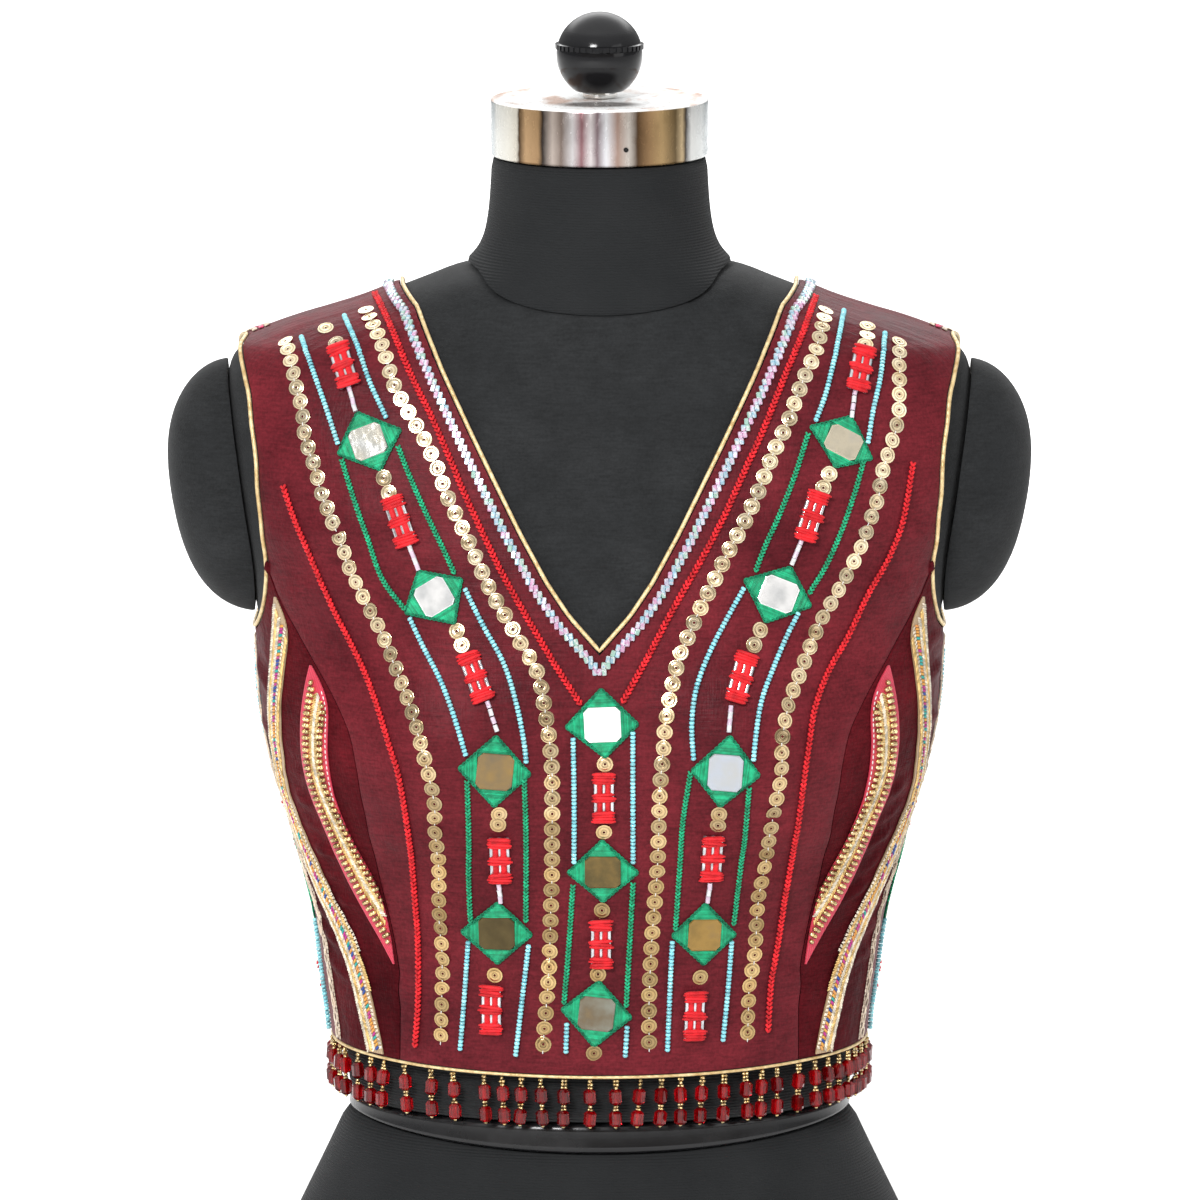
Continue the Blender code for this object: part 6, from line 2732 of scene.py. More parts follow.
# ---- Embroidery ------------------------------------------------------------------------------------------------
# All lines are in the front view's units.
SEQUIN_LINES = {
    "left": (
        ((365, 307), (373, 324), (383, 347), (393, 382), (406, 408), (424, 439), (437, 467), (447, 495), (465, 534),
         (478, 562), (490, 590), (506, 617), (521, 644), (538, 674), (544, 704), (549, 738), (552, 774), (552, 842),
         (552, 874), (551, 907), (549, 971), (544, 1035), (543, 1052)),
        ((284, 338), (289, 351), (296, 385), (302, 409), (305, 436), (314, 464), (322, 493), (332, 520), (342, 544),
         (350, 569), (367, 604), (380, 629), (391, 655), (402, 684), (413, 715), (422, 748), (434, 799), (435, 831),
         (439, 864), (439, 902), (442, 948), (443, 973), (442, 1004), (441, 1043)),
    ),
    "right": (
        ((826, 307), (822, 326), (815, 353), (806, 373), (797, 396), (788, 422), (776, 447), (766, 472), (756, 497),
         (743, 525), (728, 552), (714, 581), (700, 609), (687, 639), (680, 654), (672, 687), (666, 720), (663, 754),
         (660, 790), (659, 825), (657, 873), (653, 922), (651, 953), (649, 1000), (649, 1050)),
        ((899, 338), (899, 371), (899, 394), (898, 418), (891, 444), (882, 472), (877, 500), (868, 525), (861, 546),
         (849, 570), (836, 594), (822, 618), (811, 643), (801, 670), (789, 702), (782, 738), (781, 773), (775, 806),
         (769, 838), (764, 869), (758, 898), (756, 927), (754, 958), (749, 987), (747, 1040)),
    ),
}
RED_LINES = {
    "left": (
        ((376, 294), (393, 331), (411, 375), (432, 418), (450, 459), (465, 495), (485, 538), (501, 571), (521, 607),
         (552, 660), (581, 705)),
        ((284, 485), (294, 515), (307, 546), (322, 581), (335, 610), (348, 635), (363, 666), (376, 699), (391, 747),
         (400, 777), (409, 831), (413, 864), (415, 889), (419, 943), (419, 1004), (416, 1047)),
    ),
    "right": (
        ((815, 297), (802, 334), (781, 385), (764, 428), (743, 474), (723, 518), (702, 558), (674, 607), (646, 660),
         (622, 703)),
        ((912, 462), (906, 500), (899, 530), (886, 561), (868, 592), (847, 636), (828, 670), (814, 707), (808, 744),
         (803, 778), (798, 817), (791, 858), (784, 897), (777, 943), (770, 984), (767, 1032)),
    ),
}
BEAD_LINES = {
    "left": (
        ((302, 338), (314, 372), (325, 403), (339, 445)), ((345, 317), (358, 347), (370, 382), (387, 419)),
        ((410, 617), (424, 647), (441, 681), (454, 716), (466, 756)),
        ((465, 588), (482, 623), (504, 664), (517, 707), (524, 744), (526, 763)),
        ((469, 940), (465, 999), (461, 1050)), ((529, 944), (522, 1004), (516, 1056)),
    ),
    "centre": (
        ((573, 737), (574, 800), (574, 863)), ((633, 731), (633, 800), (633, 863)), ((567, 1022), (566, 1053)),
        ((627, 1025), (625, 1057)),
    ),
    "right": (
        ((843, 312), (835, 354), (825, 395), (815, 422)), ((884, 334), (880, 375), (872, 413), (867, 444)),
        ((744, 587), (722, 627), (707, 658), (696, 690), (692, 725), (694, 760)),
        ((798, 612), (785, 638), (770, 675), (761, 701), (756, 731), (753, 761)),
        ((672, 940), (670, 979), (667, 1051)), ((731, 940), (727, 991), (722, 1041)),
    ),
}
GREEN_LINES = {
    "left": (
        ((342, 459), (353, 495), (368, 538), (383, 579), (406, 610)),
        ((398, 446), (411, 479), (427, 515), (442, 546), (455, 574)),
        ((467, 780), (469, 842), (469, 877), (471, 922)), ((524, 779), (526, 842), (526, 922)),
    ),
    "centre": (((573, 884), (569, 944), (564, 1004)), ((633, 882), (629, 953), (626, 1007))),
    "right": (
        ((808, 433), (794, 477), (779, 515), (764, 548), (755, 572)),
        ((863, 461), (855, 490), (840, 533), (825, 566), (808, 594)),
        ((691, 771), (683, 820), (680, 861), (675, 930)),
        ((749, 787), (744, 842), (741, 861), (733, 925)),
    ),
}
# middle, tilt in degrees (positive leans its top to the left), whether its slits show
FRONT_BARS = (
    ((604, 797), 0.0, True), ((601, 943), 0.0, True), ((476, 677), 20.0, True), ((712, 857), -3.0, True),
    ((694, 1015), -2.0, True), ((344, 367), 17.0, False), ((400, 521), 20.0, False), ((500, 859), 2.0, False),
    ((492, 1009), 0.0, False), ((860, 370), -10.0, False), ((811, 516), -17.0, False),
    ((741, 678), -15.0, False),
)
# how far up and down from a bar's middle its direction is taken
BAR_AIM = 5
LONE_SEQUINS = (
    (326, 329), (336, 343), (384, 478), (389, 493), (457, 631), (462, 645), (499, 814), (498, 824), (495, 975),
    (605, 764), (604, 832), (602, 910), (598, 974), (594, 1053), (867, 327), (867, 336), (865, 345), (829, 474),
    (823, 488), (760, 630), (754, 645), (719, 814), (718, 825), (700, 977),
)
BUGLE_LINES = (
    ((349, 386), (356, 412)), ((407, 539), (419, 570)), ((487, 701), (497, 732)), ((499, 883), (501, 902)),
    ((855, 389), (851, 419)), ((802, 538), (791, 565)), ((731, 706), (729, 732)), ((710, 882), (707, 902)),
)
# height, angle of the column's middle, half way out to its tracks, half way out to its sequins
BACK_COLUMN = (
    (3.0, 157.5, 14.0, 24.0),
    (62.0, 157.0, 14.0, 24.0),
    (142.0, 157.5, 14.0, 25.0),
    (182.0, 154.0, 14.0, 25.0),
    (222.0, 150.0, 13.5, 24.5),
    (292.0, 147.0, 12.0, 22.0),
    (326.0, 138.0, 10.0, 18.5),
)
SIDE_COLUMN = (
    (3.0, 98.5, 13.0, 21.0),
    (62.0, 99.0, 13.0, 21.0),
    (142.0, 101.0, 13.0, 21.0),
    (186.0, 101.5, 12.0, 20.0),
)


# start and end height of each track, whether it is green
BACK_TRACKS = ((4.0, 58.0, 0), (66.0, 138.0, 1), (146.0, 218.0, 0), (226.0, 288.0, 1), (297.0, 326.0, 0))
SIDE_TRACKS = ((4.0, 58.0, 0), (66.0, 138.0, 1), (146.0, 186.0, 0))
# start and end height of the sequins
BACK_SEQUINS = (3.0, 322.0)
SIDE_SEQUINS = (4.0, 178.0)
# height of each bar's middle, and the height below which a bar has nothing round it
BACK_BARS = (20.0, 102.0, 186.0, 262.0)
SIDE_BARS = (24.0, 102.0, 176.0)
LOWEST_BARS = 60.0
# heights of the back's red chain, and its angles at them
BACK_CHAIN_SPAN = (4.0, 214.0)
BACK_CHAIN = ((0, 60, 140, 214), (128, 128, 129, 129))


@dataclass
class Embroidery:
    """Lines of sequins, beads and chain stitch, with the bars and lone sequins between them."""

    body: Body
    view: FrontView
    cut: Cut
    paint: Paintbox
    findings: Findings
    chance: random.Random
    sequin_pitch: float = 7.6
    bead_pitch: float = 1.82
    red_pitch: float = 2.15
    red_width: float = 3.7
    green_pitch: float = 1.75
    green_width: float = 3.1
    stone_pitch: float = 3.5
    stone_offset: float = 5.0
    stone_turn: float = 30.0
    chain_slant: float = 36.0
    stone_apart: float = 1.08
    bar_length: float = 24.0
    bar_half: float = 3.8
    sequin_lift: float = 0.35
    loose_lift: float = 0.6
    holding_thread: tuple = (1.7, 0.5, 0.4)
    thread_lift: float = 0.75
    bead_lift: float = 1.2
    bugle_pitch: float = 3.4
    bugle_lift: float = 1.05
    stitch_shares: tuple = (0.73, 0.37, 0.42)
    stitch_side: float = 0.165
    step: float = 7.0
    tube_lift: float = 1.1
    padding_lift: float = 1.5
    winding_groups: tuple = ((-9.3, 4), (0.0, 3), (9.3, 4))
    winding_pitch: float = 1.35
    winding_lift: tuple = (2.2, 0.45)
    bar_overlap: float = 3.4
    neck_foot: float = 9.5
    stone_shift: float = 0.6
    stone_lift: float = 1.0
    stone_end: float = 1.2

    def __post_init__(self) -> None:
        """Model the pieces that repeat."""
        make = self.findings
        self.sequins = variants(make.sequin(), (0.0, 0.2, 0.4, 0.6, 0.8, 1.0))
        self.beads = variants(make.bead("turquoise", 2.8, 1.66, "turquoise"))
        self.red = variants(make.stitch("red_chain", "red"))
        self.green = variants(make.stitch("green_chain", "green"))
        self.white_thread = [make.stitch("white_thread", "white")]
        self.red_thread = variants(make.stitch("red_winding", "red"), (0.2, 0.5, 0.8))
        self.tubes = variants(make.bugle("bar_tube", 2.0, 1.0, "silver_tube"), (0.3, 0.7))
        self.bugles = variants(make.bugle("bugle_white", 2.3, 3.3, "bugle"), (0.5,))
        self.bugles += variants(make.bugle("bugle_lilac", 2.3, 3.3, "lilac"), (0.5,))
        self.stones = variants(make.stone(), (0.0, 0.12, 0.3, 0.45, 0.6, 0.75, 0.9, 1.0))

    def front(self, marks: Sequence) -> Course:
        """Line over the cloth from marks in the front view's units."""
        return Course(self.body, self.body.hit(self.view.eye, self.view.rays(smooth_line(marks, self.step))))

    def sew_sequins(self, course: Course) -> list[Piece]:
        """Overlapping sequins along a line, with a white thread from each to the next.

        Args:
            course: the line.

        Returns:
            List of objects.
        """
        flat = course.frames(self.sequin_pitch, self.sequin_lift)
        items = strew(self.sequins, flat, self.chance, 7.0)
        threads = course.frames(self.sequin_pitch, self.thread_lift)
        threads[:, :3, 3] += threads[:, :3, 0] * self.sequin_pitch / 2 * MM
        return items + strew(self.white_thread, stretched(threads, *self.holding_thread), self.chance, 5.0)

    def sew_beads(self, course: Course) -> list[Piece]:
        """String of turquoise beads."""
        return strew(self.beads, course.frames(self.bead_pitch, self.bead_lift), self.chance, 8.0)

    def sew_chain(self, course: Course, masters: list[Piece], pitch: float, width: float) -> list[Piece]:
        """Line of chain stitch: two rows of slanting threads that meet in a row of arrowheads.

        Args:
            course: the line.
            masters: stitches to choose from.
            pitch: spacing of the stitches in millimetres.
            width: of the two rows together.

        Returns:
            List of objects.
        """
        items = []
        sizes = [share * width for share in self.stitch_shares]
        for way in (-1.0, 1.0):
            side = way * self.stitch_side * width
            frames = course.frames(pitch, 0.3 * width, side=side, turn=way * self.chain_slant)
            items += strew(masters, stretched(frames, *sizes), self.chance, 5.0)
        return items

    def sew_red(self, course: Course) -> list[Piece]:
        """Line of red chain stitch."""
        return self.sew_chain(course, self.red, self.red_pitch, self.red_width)

    def sew_green(self, course: Course) -> list[Piece]:
        """Line of green chain stitch."""
        return self.sew_chain(course, self.green, self.green_pitch, self.green_width)

    def sew_bugles(self, course: Course) -> list[Piece]:
        """Short row of lilac and white tubes in turn."""
        frames = course.frames(self.bugle_pitch, self.bugle_lift)
        return strew(self.bugles, frames, self.chance, 4.0, order=lambda index: (index + 1) % 2)

    def bar(self, matrix: Array, open_slits: bool) -> list[Piece]:
        """Three glass tubes side by side, tied down by raised windings of red thread.

        Args:
            matrix: the bar's frame, with X along it.
            open_slits: whether the tubes show between the windings.

        Returns:
            List of objects.
        """
        frames, tubes, threads = [], [], []
        centre = np.array(matrix)

        def at(along: float, across: float, lift: float, turned: bool) -> Array:
            """Frame beside the bar's middle.

            Args:
                along: millimetres along the bar.
                across: millimetres across it.
                lift: millimetres out of the cloth.
                turned: whether its X runs across the bar.

            Returns:
                Matrix of the frame.
            """
            made = centre.copy()
            made[:3, 3] += (centre[:3, 0] * along + centre[:3, 1] * across + centre[:3, 2] * lift) * MM
            if turned:
                made[:3, 0], made[:3, 1] = centre[:3, 1].copy(), -centre[:3, 0].copy()
            return made

        for across in (-self.bar_half, 0.0, self.bar_half):
            tubes.append(at(0.0, across, self.tube_lift, False))
        items = strew(self.tubes, stretched(np.array(tubes), self.bar_length - 1.0, 1.0, 1.0), self.chance)
        for across in (-0.5, 0.5):
            frames.append(at(0.0, across * self.bar_half, self.padding_lift, False))
        broad = 2.7 if open_slits else 3.3
        windings = stretched(np.array(frames), self.bar_length - 1.5, broad, 2.3)
        items += strew(self.red_thread, windings, self.chance)
        low, rise = self.winding_lift
        for middle, count in self.winding_groups:
            for index in range(count):
                along = middle + (index - (count - 1) / 2) * self.winding_pitch
                lean = self.chance.uniform(-0.35, 0.35)
                lift = low + rise * (index % 2) + self.chance.uniform(-0.15, 0.15)
                threads.append(at(along, lean, lift, True))
        wide = 2 * self.bar_half + self.bar_overlap
        lengths = np.array([wide + self.chance.uniform(-0.8, 1.1) for _ in threads])
        return items + strew(self.red_thread, stretched(np.array(threads), lengths, 2.0, 2.5), self.chance, 4.0)

    def hold(self, items: list[Piece], name: str) -> None:
        """Join one region's pieces and let them ride with the blouse.

        Args:
            items: list of objects.
            name: the joined piece's name.
        """
        made = join(name, items)
        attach(made, "root")
        log.info("%s: %d faces", name, len(made.data.polygons))

    def sew_front(self) -> None:
        """Everything on the front."""
        outer = (("sequins", SEQUIN_LINES, self.sew_sequins), ("red_chain", RED_LINES, self.sew_red))
        inner = (("turquoise", BEAD_LINES, self.sew_beads), ("green_chain", GREEN_LINES, self.sew_green))
        for plan in (outer, inner):
            for side in plan[0][1]:
                for kind, lines, sew in plan:
                    items = []
                    for marks in lines[side]:
                        items += sew(self.front(marks))
                    self.hold(items, f"{kind}_front_{side}")
        items = []
        for (x, y), tilt, open_slits in FRONT_BARS:
            lean = math.radians(tilt)
            rise, run = BAR_AIM * math.cos(lean), BAR_AIM * math.sin(lean)
            ends = ((x + run, y + rise), (x - run, y - rise))
            course = self.front(ends)
            items += self.bar(course.frames(course.length, 0.0)[0], open_slits)
        self.hold(items, "bars_front")
        items = []
        for x, y in LONE_SEQUINS:
            course = self.front(((x, y + 4), (x, y - 4)))
            items += strew(self.sequins, course.frames(course.length, self.loose_lift), self.chance, 8.0)
        for marks in BUGLE_LINES:
            items += self.sew_bugles(self.front(marks))
        self.hold(items, "column_sequins_front")

    def column(
        self, table: tuple, low: float, high: float, which: int, side: Values = 0.0, rise: float = 4.0
    ) -> Course:
        """Line on the back beside a column's middle.

        Args:
            table: rows of the column.
            low: height where the line starts.
            high: height where it ends.
            which: 2 for the tracks' distance, 3 for the sequins', 0 for the middle.
            side: -1 or 1, the side of the column.
            rise: spacing of the points in millimetres.

        Returns:
            The course.
        """
        rows = np.array(table)
        heights = np.linspace(low, high, max(3, int((high - low) / rise)))
        angle = np.radians(Profile(rows[:, 0], rows[:, 1])(heights))
        spots = places(angle, heights)
        if which:
            spots = self.body.shifted(spots, side * Profile(rows[:, 0], rows[:, which])(heights))
        return Course(self.body, spots)

    def other(self, course: Course, flipped: bool) -> Course:
        """The course itself, or the same one on the other side of the body."""
        return Course(self.body, mirrored(course.spots)) if flipped else course

    def sew_back(self, flipped: bool) -> None:
        """Everything on one half of the back, with the columns beside the side seam.

        Args:
            flipped: whether it is the -X half.
        """
        side = "left" if flipped else "right"
        sequins, tracks, fillings, chains = [], [], [], []
        for way in (-1.0, 1.0):
            course = self.other(self.column(BACK_COLUMN, *BACK_SEQUINS, 3, way), flipped)
            sequins += self.sew_sequins(course)
        sequins += self.sew_sequins(self.other(self.column(SIDE_COLUMN, *SIDE_SEQUINS, 3, 1.0), flipped))
        for table, spans in ((BACK_COLUMN, BACK_TRACKS), (SIDE_COLUMN, SIDE_TRACKS)):
            for low, high, green in spans:
                for way in (-1.0, 1.0):
                    course = self.other(self.column(table, low, high, 2, way), flipped)
                    tracks += self.sew_green(course) if green else self.sew_beads(course)
        bars = [(BACK_COLUMN, height) for height in BACK_BARS] + [(SIDE_COLUMN, height) for height in SIDE_BARS]
        for index, (table, height) in enumerate(bars):
            course = self.other(self.column(table, height - 3.0, height + 3.0, 0), flipped)
            fillings += self.bar(course.frames(course.length, 0.0)[0], index % 2 == 0)
            if height > LOWEST_BARS:
                for near in (height - 17.5, height - 13.5):
                    spot = self.other(self.column(table, near - 2.0, near + 2.0, 0), flipped)
                    fillings += strew(self.sequins, spot.frames(spot.length, self.loose_lift), self.chance, 8.0)
                if height < 170.0 or table is BACK_COLUMN:
                    row = self.other(self.column(table, height + 12.5, height + 22.0, 0), flipped)
                    fillings += self.sew_bugles(row)
        heights = np.linspace(*BACK_CHAIN_SPAN, 54)
        middle = places(np.radians(np.interp(heights, *BACK_CHAIN)), heights)
        chains += self.sew_red(self.other(Course(self.body, middle), flipped))
        self.hold(sequins, f"sequins_back_{side}")
        self.hold(tracks, f"tracks_back_{side}")
        self.hold(fillings, f"fillings_back_{side}")
        self.hold(chains, f"red_chain_back_{side}")

    def sew_neck(self) -> None:
        """Two stepped rows of square-cut iridescent beads inside the neckline's piping."""
        items = []
        right = np.vstack([self.cut.front_neck(shares(60)), self.cut.back_neck(shares(44))[-2::-1]])
        right = self.body.shifted(right, self.stone_offset)
        start = places([0.0], [self.cut.front_neck(np.array([0.0]))[0, 1] - self.neck_foot])
        right = np.vstack([start, right[right[:, 0] > 0.004]])
        for flipped in (False, True):
            course = Course(self.body, mirrored(right) if flipped else right)
            hand = -1.0 if flipped else 1.0
            lean = math.radians(self.stone_turn)
            for way in (-1.0, 1.0):
                across = way * self.stone_apart * math.cos(lean)
                shift = self.stone_shift + way * hand * self.stone_apart * math.sin(lean)
                row = course.frames(
                    self.stone_pitch, self.stone_lift, across, shift, course.length - self.stone_end + shift,
                    turn=hand * self.stone_turn,
                )
                items += strew(self.stones, row, self.chance, 6.0)
        self.hold(items, "stones_neck")

    def build(self) -> None:
        """Sew everything on."""
        self.sew_front()
        self.sew_back(False)
        self.sew_back(True)
        self.sew_neck()


# ---- Ribbons, lace and fringe --------------------------------------------------------------------------------
class Sewn(Enum):
    """What one row along a ribbon is made of."""

    BEADS = "gold beads"
    SLANT_UP = "stitches that slant one way"
    SLANT_DOWN = "stitches that slant the other way"
    COLOURS = "short coloured stitches"
    ZIGZAG = "fine cream zigzag"
    RUNNING = "white running stitch"


# spacing of each kind of stitch, its lift off the tape, its slants, its length, width and height, its unevenness
STITCHES = {
    Sewn.RUNNING: (2.6, 0.1, (0.0,), (1.7, 0.7, 0.5), 5.0),
    Sewn.COLOURS: (1.7, 0.35, (58.0,), (3.0, 1.35, 1.0), 6.0),
    Sewn.ZIGZAG: (2.0, 0.3, (55.0, -55.0), (2.2, 0.75, 0.7), 5.0),
    Sewn.SLANT_UP: (1.25, 0.35, (48.0,), (3.2, 1.0, 0.9), 6.0),
    Sewn.SLANT_DOWN: (1.25, 0.35, (-48.0,), (3.2, 1.0, 0.9), 6.0),
}


@dataclass
class Ribbon:
    """Ribbon sewn on a side front, with rows of thread and beads along it.

    Rows are (distance in from the outer edge in millimetres over the cloth, what it is made of, its finish).
    """

    body: Body
    paint: Paintbox
    findings: Findings
    chance: random.Random
    name: str
    node: str
    slot: str
    table: tuple
    tape: str
    rows: tuple
    lift: float = 0.35
    thickness: float = 0.6
    smoothing: int = 15
    widest: float = 15.6
    margins: tuple = (0.5, 0.5)
    margin_heights: tuple = (66.0, 100.0)
    running_span: tuple = (112.0, 181.0)
    bead_pitch: float = 2.4
    row_step: float = 2.5
    least_width: float = 0.3

    def edges(self) -> tuple[Array, Array, Array]:
        """Places of the inner and the outer edge, from below upwards.

        Returns:
            The inner edge's places, the outer edge's, and how far the inner edge is from the centre line.
        """
        rows = np.array(self.table)
        heights = np.linspace(rows[0, 0], rows[-1, 0], int((rows[-1, 0] - rows[0, 0]) / self.row_step))
        outer, inner = Profile(rows[:, 0], rows[:, 1])(heights), Profile(rows[:, 0], rows[:, 2])(heights)
        outer_line = self.evened(self.body.across(outer, heights))
        limit = self.body.shifted(outer_line, -self.widest)
        limit_across = np.interp(heights, limit[:, 1], self.body.bare(limit)[:, 0])
        inner = np.maximum(inner, np.minimum(limit_across, outer - self.least_width))
        return self.evened(self.body.across(inner, heights)), outer_line, inner

    def evened(self, spots: Array) -> Array:
        """Line of places with its small waves smoothed out and its ends kept.

        Args:
            spots: array of places.

        Returns:
            Array of places.
        """
        share = np.hanning(self.smoothing + 2)[1:-1]
        share /= share.sum()
        half = self.smoothing // 2
        for column in (0, 1):
            line = spots[:, column]
            ends = (2 * line[0] - line[half:0:-1], line, 2 * line[-1] - line[-2 : -half - 2 : -1])
            spots[:, column] = np.convolve(np.concatenate(ends), share, "valid")
        return spots

    def strip(self, flipped: bool) -> Piece:
        """The ribbon's tape.

        Args:
            flipped: whether it is on the -X side.

        Returns:
            The object.
        """
        inner, outer, _ = self.edges()
        share = shares(6)[None, :, None]
        spots = inner[:, None, :] * (1 - share) + outer[:, None, :] * share
        if flipped:
            spots = mirrored(spots)[:, ::-1]
        points = self.body.cloth(spots, self.lift + self.thickness)
        along = np.cumsum(np.linalg.norm(np.diff(points[:, 3], axis=0, prepend=points[:1, 3]), axis=1))
        wide = np.linalg.norm(np.diff(points, axis=1, prepend=points[:, :1]), axis=2).cumsum(axis=1)
        chart = np.stack([np.broadcast_to(along[:, None], wide.shape), wide], axis=-1)
        return grid_piece("tape", [(points, chart)], self.paint[self.tape], self.thickness)

    def line(self, inwards: float, flipped: bool) -> Course | None:
        """Course along the ribbon at a distance in from its outer edge, cut off where the ribbon is narrower.

        Args:
            inwards: the distance in millimetres; below zero it is measured out from the inner edge.
            flipped: whether it is on the -X side.

        Returns:
            The course, or nothing where the ribbon has no room for it.
        """
        inner, outer, inner_across = self.edges()
        if inwards < 0:
            spots = self.body.shifted(inner, -inwards)
            low, high = self.running_span
            spots = spots[(spots[:, 1] > low) & (spots[:, 1] < high)]
        else:
            spots = self.body.shifted(outer, -inwards)
            margin = np.interp(spots[:, 1], self.margin_heights, self.margins)
            spots = spots[self.body.bare(spots)[:, 0] > inner_across + margin]
        if len(spots) < 4:
            return None
        return Course(self.body, mirrored(spots) if flipped else spots)

    def sew(self, course: Course, kind: Sewn, finish: str, flipped: bool) -> list[Piece]:
        """One row of stitches or beads along a course.

        Args:
            course: the line that it follows.
            kind: what it is made of.
            finish: short name of the thread's finish.
            flipped: whether it is on the -X side.

        Returns:
            List of objects.
        """
        top = self.lift + self.thickness
        hand = -1.0 if flipped else 1.0
        masters = self.masters[(kind, finish)]
        if kind is Sewn.BEADS:
            return strew(masters, course.frames(self.bead_pitch, top + 0.75), self.chance, 12.0)
        pitch, lift, slants, sizes, sway = STITCHES[kind]
        if kind is Sewn.ZIGZAG:
            hand = 1.0
        rows = [course.frames(pitch, top + lift, turn=hand * slant) for slant in slants]
        return strew(masters, stretched(np.vstack(rows), *sizes), self.chance, sway)

    def build(self, flipped: bool) -> Piece:
        """Sew the ribbon on one side.

        Args:
            flipped: whether it is on the -X side.

        Returns:
            The object.
        """
        side = "left" if flipped else "right"
        items = [self.strip(flipped)]
        self.masters = {}
        for _, kind, finish in self.rows:
            if kind is Sewn.BEADS:
                self.masters[(kind, finish)] = variants(self.findings.bead("row_bead", 2.7, 2.1, finish))
            elif kind is Sewn.COLOURS:
                made = variants(self.findings.stitch("colours", "colours"), (0.0, 0.0, 0.1, 0.9, 1.0))
                made += variants(self.findings.stitch("cool", "cool_colours"), (0.0, 1.0))
                self.masters[(kind, finish)] = made
            else:
                self.masters[(kind, finish)] = variants(self.findings.stitch("row_stitch", finish))
        for inwards, kind, finish in self.rows:
            course = self.line(inwards, flipped)
            if course:
                items += self.sew(course, kind, finish, flipped)
        return hand_in(join(f"{self.name}_{side}", items), self.slot, f"{self.node}_{side}")


@dataclass
class Trims:
    """Ribbons on the side fronts, chain lace on the side seams, braid on the back armholes."""

    body: Body
    cut: Cut
    paint: Paintbox
    findings: Findings
    chance: random.Random
    link_pitch: float = 7.2
    link_lift: float = 0.7
    lace_edge: tuple = (1.9, 0.45, 2.9)
    braid_pitch: float = 1.6
    braid_lift: float = 0.6
    braid_stitch: tuple = (3.9, 1.3, 1.0)

    def add_side_lace(self) -> None:
        """Cream chain lace over each side seam: open oval links, joined by short twisted threads."""
        links = variants(self.findings.link("lace_link", 6.2, 4.6, 0.95, "cream", segments=12, rounds=5))
        joins = variants(self.findings.stitch("lace_join", "cream"))
        heights = np.linspace(4.5, self.cut.armhole(np.array([0.0]))[0, 1] - 3.0, 70)
        spots = self.cut.side_seam(heights)
        for side, line in (("right", spots), ("left", mirrored(spots))):
            course = Course(self.body, line)
            frames = course.frames(self.link_pitch, self.link_lift)
            items = strew(links, frames, self.chance, 4.0)
            between = frames.copy()
            between[:, :3, 3] += between[:, :3, 0] * self.link_pitch / 2 * MM
            items += strew(joins, stretched(between[:-1], 2.6, 1.7, 1.4), self.chance, 3.0)
            pitch, lift, across = self.lace_edge
            for way in (-1.0, 1.0):
                edge = course.frames(pitch, lift, side=way * across)
                items += strew(joins, stretched(edge, 1.8, 0.8, 0.7), self.chance, 6.0)
            hand_in(join(f"chain_lace_{side}", items), "cream_lace", f"side_lace_{side}")

    def add_armhole_braid(self) -> None:
        """Cream and pink braid along the back edge of each armhole."""
        cream = variants(self.findings.stitch("braid_cream", "cream"))
        pink = variants(self.findings.stitch("braid_pink", "pink"))
        spots = self.cut.armhole(np.linspace(0.06, 0.999, 70))
        for flipped, side in ((False, "right"), (True, "left")):
            items = []
            for masters, offset, slant in ((cream, 3.0, 40.0), (pink, 6.2, -40.0), (cream, 9.4, 40.0)):
                line = self.body.shifted(spots, offset)
                course = Course(self.body, mirrored(line) if flipped else line)
                hand = -1.0 if flipped else 1.0
                frames = course.frames(self.braid_pitch, self.braid_lift, turn=hand * slant)
                items += strew(masters, stretched(frames, *self.braid_stitch), self.chance, 4.0)
            made = join(f"armhole_braid_{side}", items)
            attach(made, "root")

    def build(self) -> None:
        """Sew on every ribbon, lace and braid."""
        shared = (self.body, self.paint, self.findings, self.chance)
        bright = Ribbon(
            *shared,
            "ribbon_bright",
            "bright_lace",
            "bright_braid",
            BRIGHT_LACE,
            "bright_tape",
            (
                (1.3, Sewn.SLANT_UP, "lace_thread"), (3.4, Sewn.SLANT_DOWN, "gold_thread"),
                (5.5, Sewn.SLANT_UP, "lace_thread"), (8.0, Sewn.COLOURS, "colours"),
                (10.4, Sewn.ZIGZAG, "lace_thread"), (12.4, Sewn.SLANT_DOWN, "gold_thread"),
                (14.4, Sewn.ZIGZAG, "lace_thread"),
            ),
        )
        pink = Ribbon(
            *shared,
            "ribbon_pink",
            "pink_lace",
            "pink_gold_braid",
            PINK_LACE,
            "pink_tape",
            (
                (4.6, Sewn.BEADS, "gold_bead"), (6.7, Sewn.BEADS, "gold_bead"),
                (8.9, Sewn.SLANT_UP, "gold_thread"), (11.0, Sewn.SLANT_DOWN, "lace_thread"),
                (13.1, Sewn.SLANT_UP, "gold_thread"), (15.2, Sewn.BEADS, "gold_bead"),
                (17.3, Sewn.BEADS, "gold_bead"), (-1.2, Sewn.RUNNING, "white"),
            ),
            widest=40.0,
            margins=(0.6, 2.0),
            bead_pitch=3.0,
        )
        for flipped in (False, True):
            bright.build(flipped)
            pink.build(flipped)
        self.add_side_lace()
        self.add_armhole_braid()


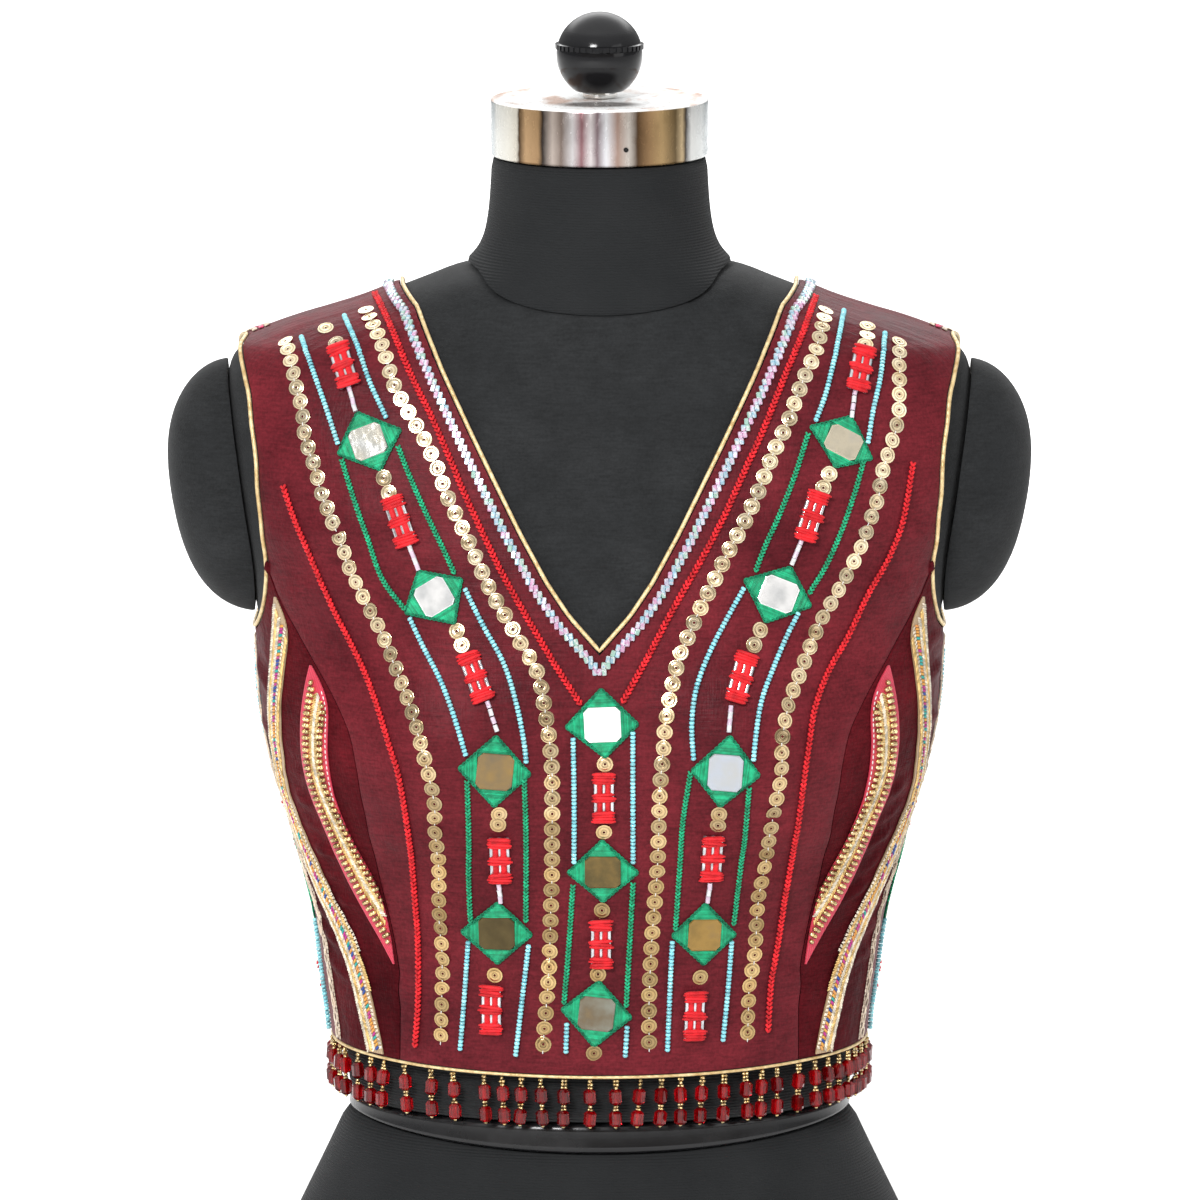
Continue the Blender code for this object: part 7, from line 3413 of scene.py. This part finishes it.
@dataclass
class Fringe:
    """Strings of gold and red beads that hang from the hem."""

    body: Body
    view: FrontView
    findings: Findings
    chance: random.Random
    spacing: float = 10.6
    drop: float = 2.2
    front_marks: tuple = (
        383, 403, 430, 452, 483, 501, 521, 540, 564, 590, 616, 641, 662, 681, 703, 725, 746, 763, 778, 800, 816, 829,
        840, 849, 856,
    )
    line: tuple = (1040.0, 28.0, 597.0, 270.0)
    unevenness: float = 0.22
    sway: float = 5.0
    first_bead: float = 0.9
    pair_spread: tuple = (0.82, 0.5)
    pair_pitch: float = 1.65
    red_middle: float = 2.6
    red_pitch: float = 7.2
    last_bead: float = 0.6

    def angles(self) -> list[float]:
        """Angles at which the strings hang: their own places in front, evenly round the sides and the back.

        Returns:
            List of angles.
        """
        height, sag, middle, half = self.line
        marks = np.array([(x, height + sag * (1 - ((x - middle) / half) ** 2)) for x in self.front_marks])
        front = sorted(self.body.hit(self.view.eye, self.view.rays(marks))[:, 0])
        start, end = front[-1], front[0] + math.tau
        turns = np.linspace(start, end, 400)
        points = self.body.cloth(places(turns, 0.0)) / MM
        lengths = np.concatenate([[0.0], np.cumsum(np.linalg.norm(np.diff(points, axis=0), axis=1))])
        count = int(lengths[-1] / self.spacing)
        jitter = np.array([self.chance.uniform(-self.unevenness, self.unevenness) for _ in range(count - 1)])
        wanted = (np.arange(1, count) + jitter) / count
        return front + list(np.interp(wanted * lengths[-1], lengths, turns))

    def string(self, angle: float) -> dict:
        """Frames of one string's beads, by kind.

        Args:
            angle: where it hangs.

        Returns:
            Lists of matrices for the gold and the red beads.
        """
        foot = places([angle], [float(self.body.hem(angle))])
        lift = self.body.cloth_lift(foot) - CLOTH_THICKNESS / 2
        top = self.body.skin(foot, lift)[0] - np.array([0.0, 0.0, self.drop * MM])
        out = self.body.normal(foot)[0] * [1.0, 1.0, 0.0]
        out = out / np.linalg.norm(out)
        side = np.cross([0.0, 0.0, -1.0], out)
        sway = math.radians(self.chance.uniform(-self.sway, self.sway))
        down = np.array([0.0, 0.0, -1.0]) * math.cos(sway) + side * math.sin(sway)
        side = side * math.cos(sway) - np.array([0.0, 0.0, -1.0]) * math.sin(sway)
        made = {"gold": [], "red": []}

        def put(kind: str, along: float, across: float = 0.0, outwards: float = 0.0) -> None:
            """Note the frame of one bead.

            Args:
                kind: gold or red.
                along: millimetres down the string.
                across: millimetres to its side.
                outwards: millimetres away from the body.
            """
            matrix = np.eye(4)
            matrix[:3, 0], matrix[:3, 1], matrix[:3, 2] = down, side, np.cross(down, side)
            matrix[:3, 3] = top + (down * along + side * across + out * outwards) * MM
            made[kind].append(matrix)

        travelled = self.first_bead
        across, outwards = self.pair_spread
        for pairs, bead in ((3, True), (2, True), (0, False)):
            for _ in range(pairs):
                turn = self.chance.uniform(0.0, math.pi)
                for way in (-1.0, 1.0):
                    put("gold", travelled, way * across * math.cos(turn), way * outwards * math.sin(turn))
                travelled += self.pair_pitch
            if bead:
                put("red", travelled + self.red_middle)
                travelled += self.red_pitch
            else:
                put("gold", travelled - self.last_bead)
        return made

    def build(self) -> None:
        """Hang every string."""
        gold = variants(self.findings.bead("fringe_gold", 1.9, 1.5, "gold_bead", segments=6, rounds=4))
        red = variants(self.findings.ruby(), (0.0, 0.5, 1.0))
        items = []
        for angle in self.angles():
            frames = self.string(angle)
            items += strew(gold, frames["gold"], self.chance, 20.0)
            items += strew(red, frames["red"], self.chance, 6.0)
        hand_in(join("fringe", items), "red_beads", "bead_fringe")


def main() -> None:
    """Build the form, the blouse and all that is sewn on it, in a plain studio."""
    deselect()
    view = FrontView()
    view.add_camera()
    chance = random.Random(SEED)
    body = Body()
    paint = Paintbox()
    cut = Cut(body)
    findings = Findings(paint)
    Studio().build()
    DressForm(paint).build()
    blouse = Blouse(body, cut, paint)
    blouse.build()
    Trims(body, cut, paint, findings, chance).build()
    Embroidery(body, view, cut, paint, findings, chance).build()
    Patches(body, view, paint, findings, chance).build_all()
    Fringe(body, view, findings, chance).build()
    blouse.declare()


if __name__ == "__main__":
    main()
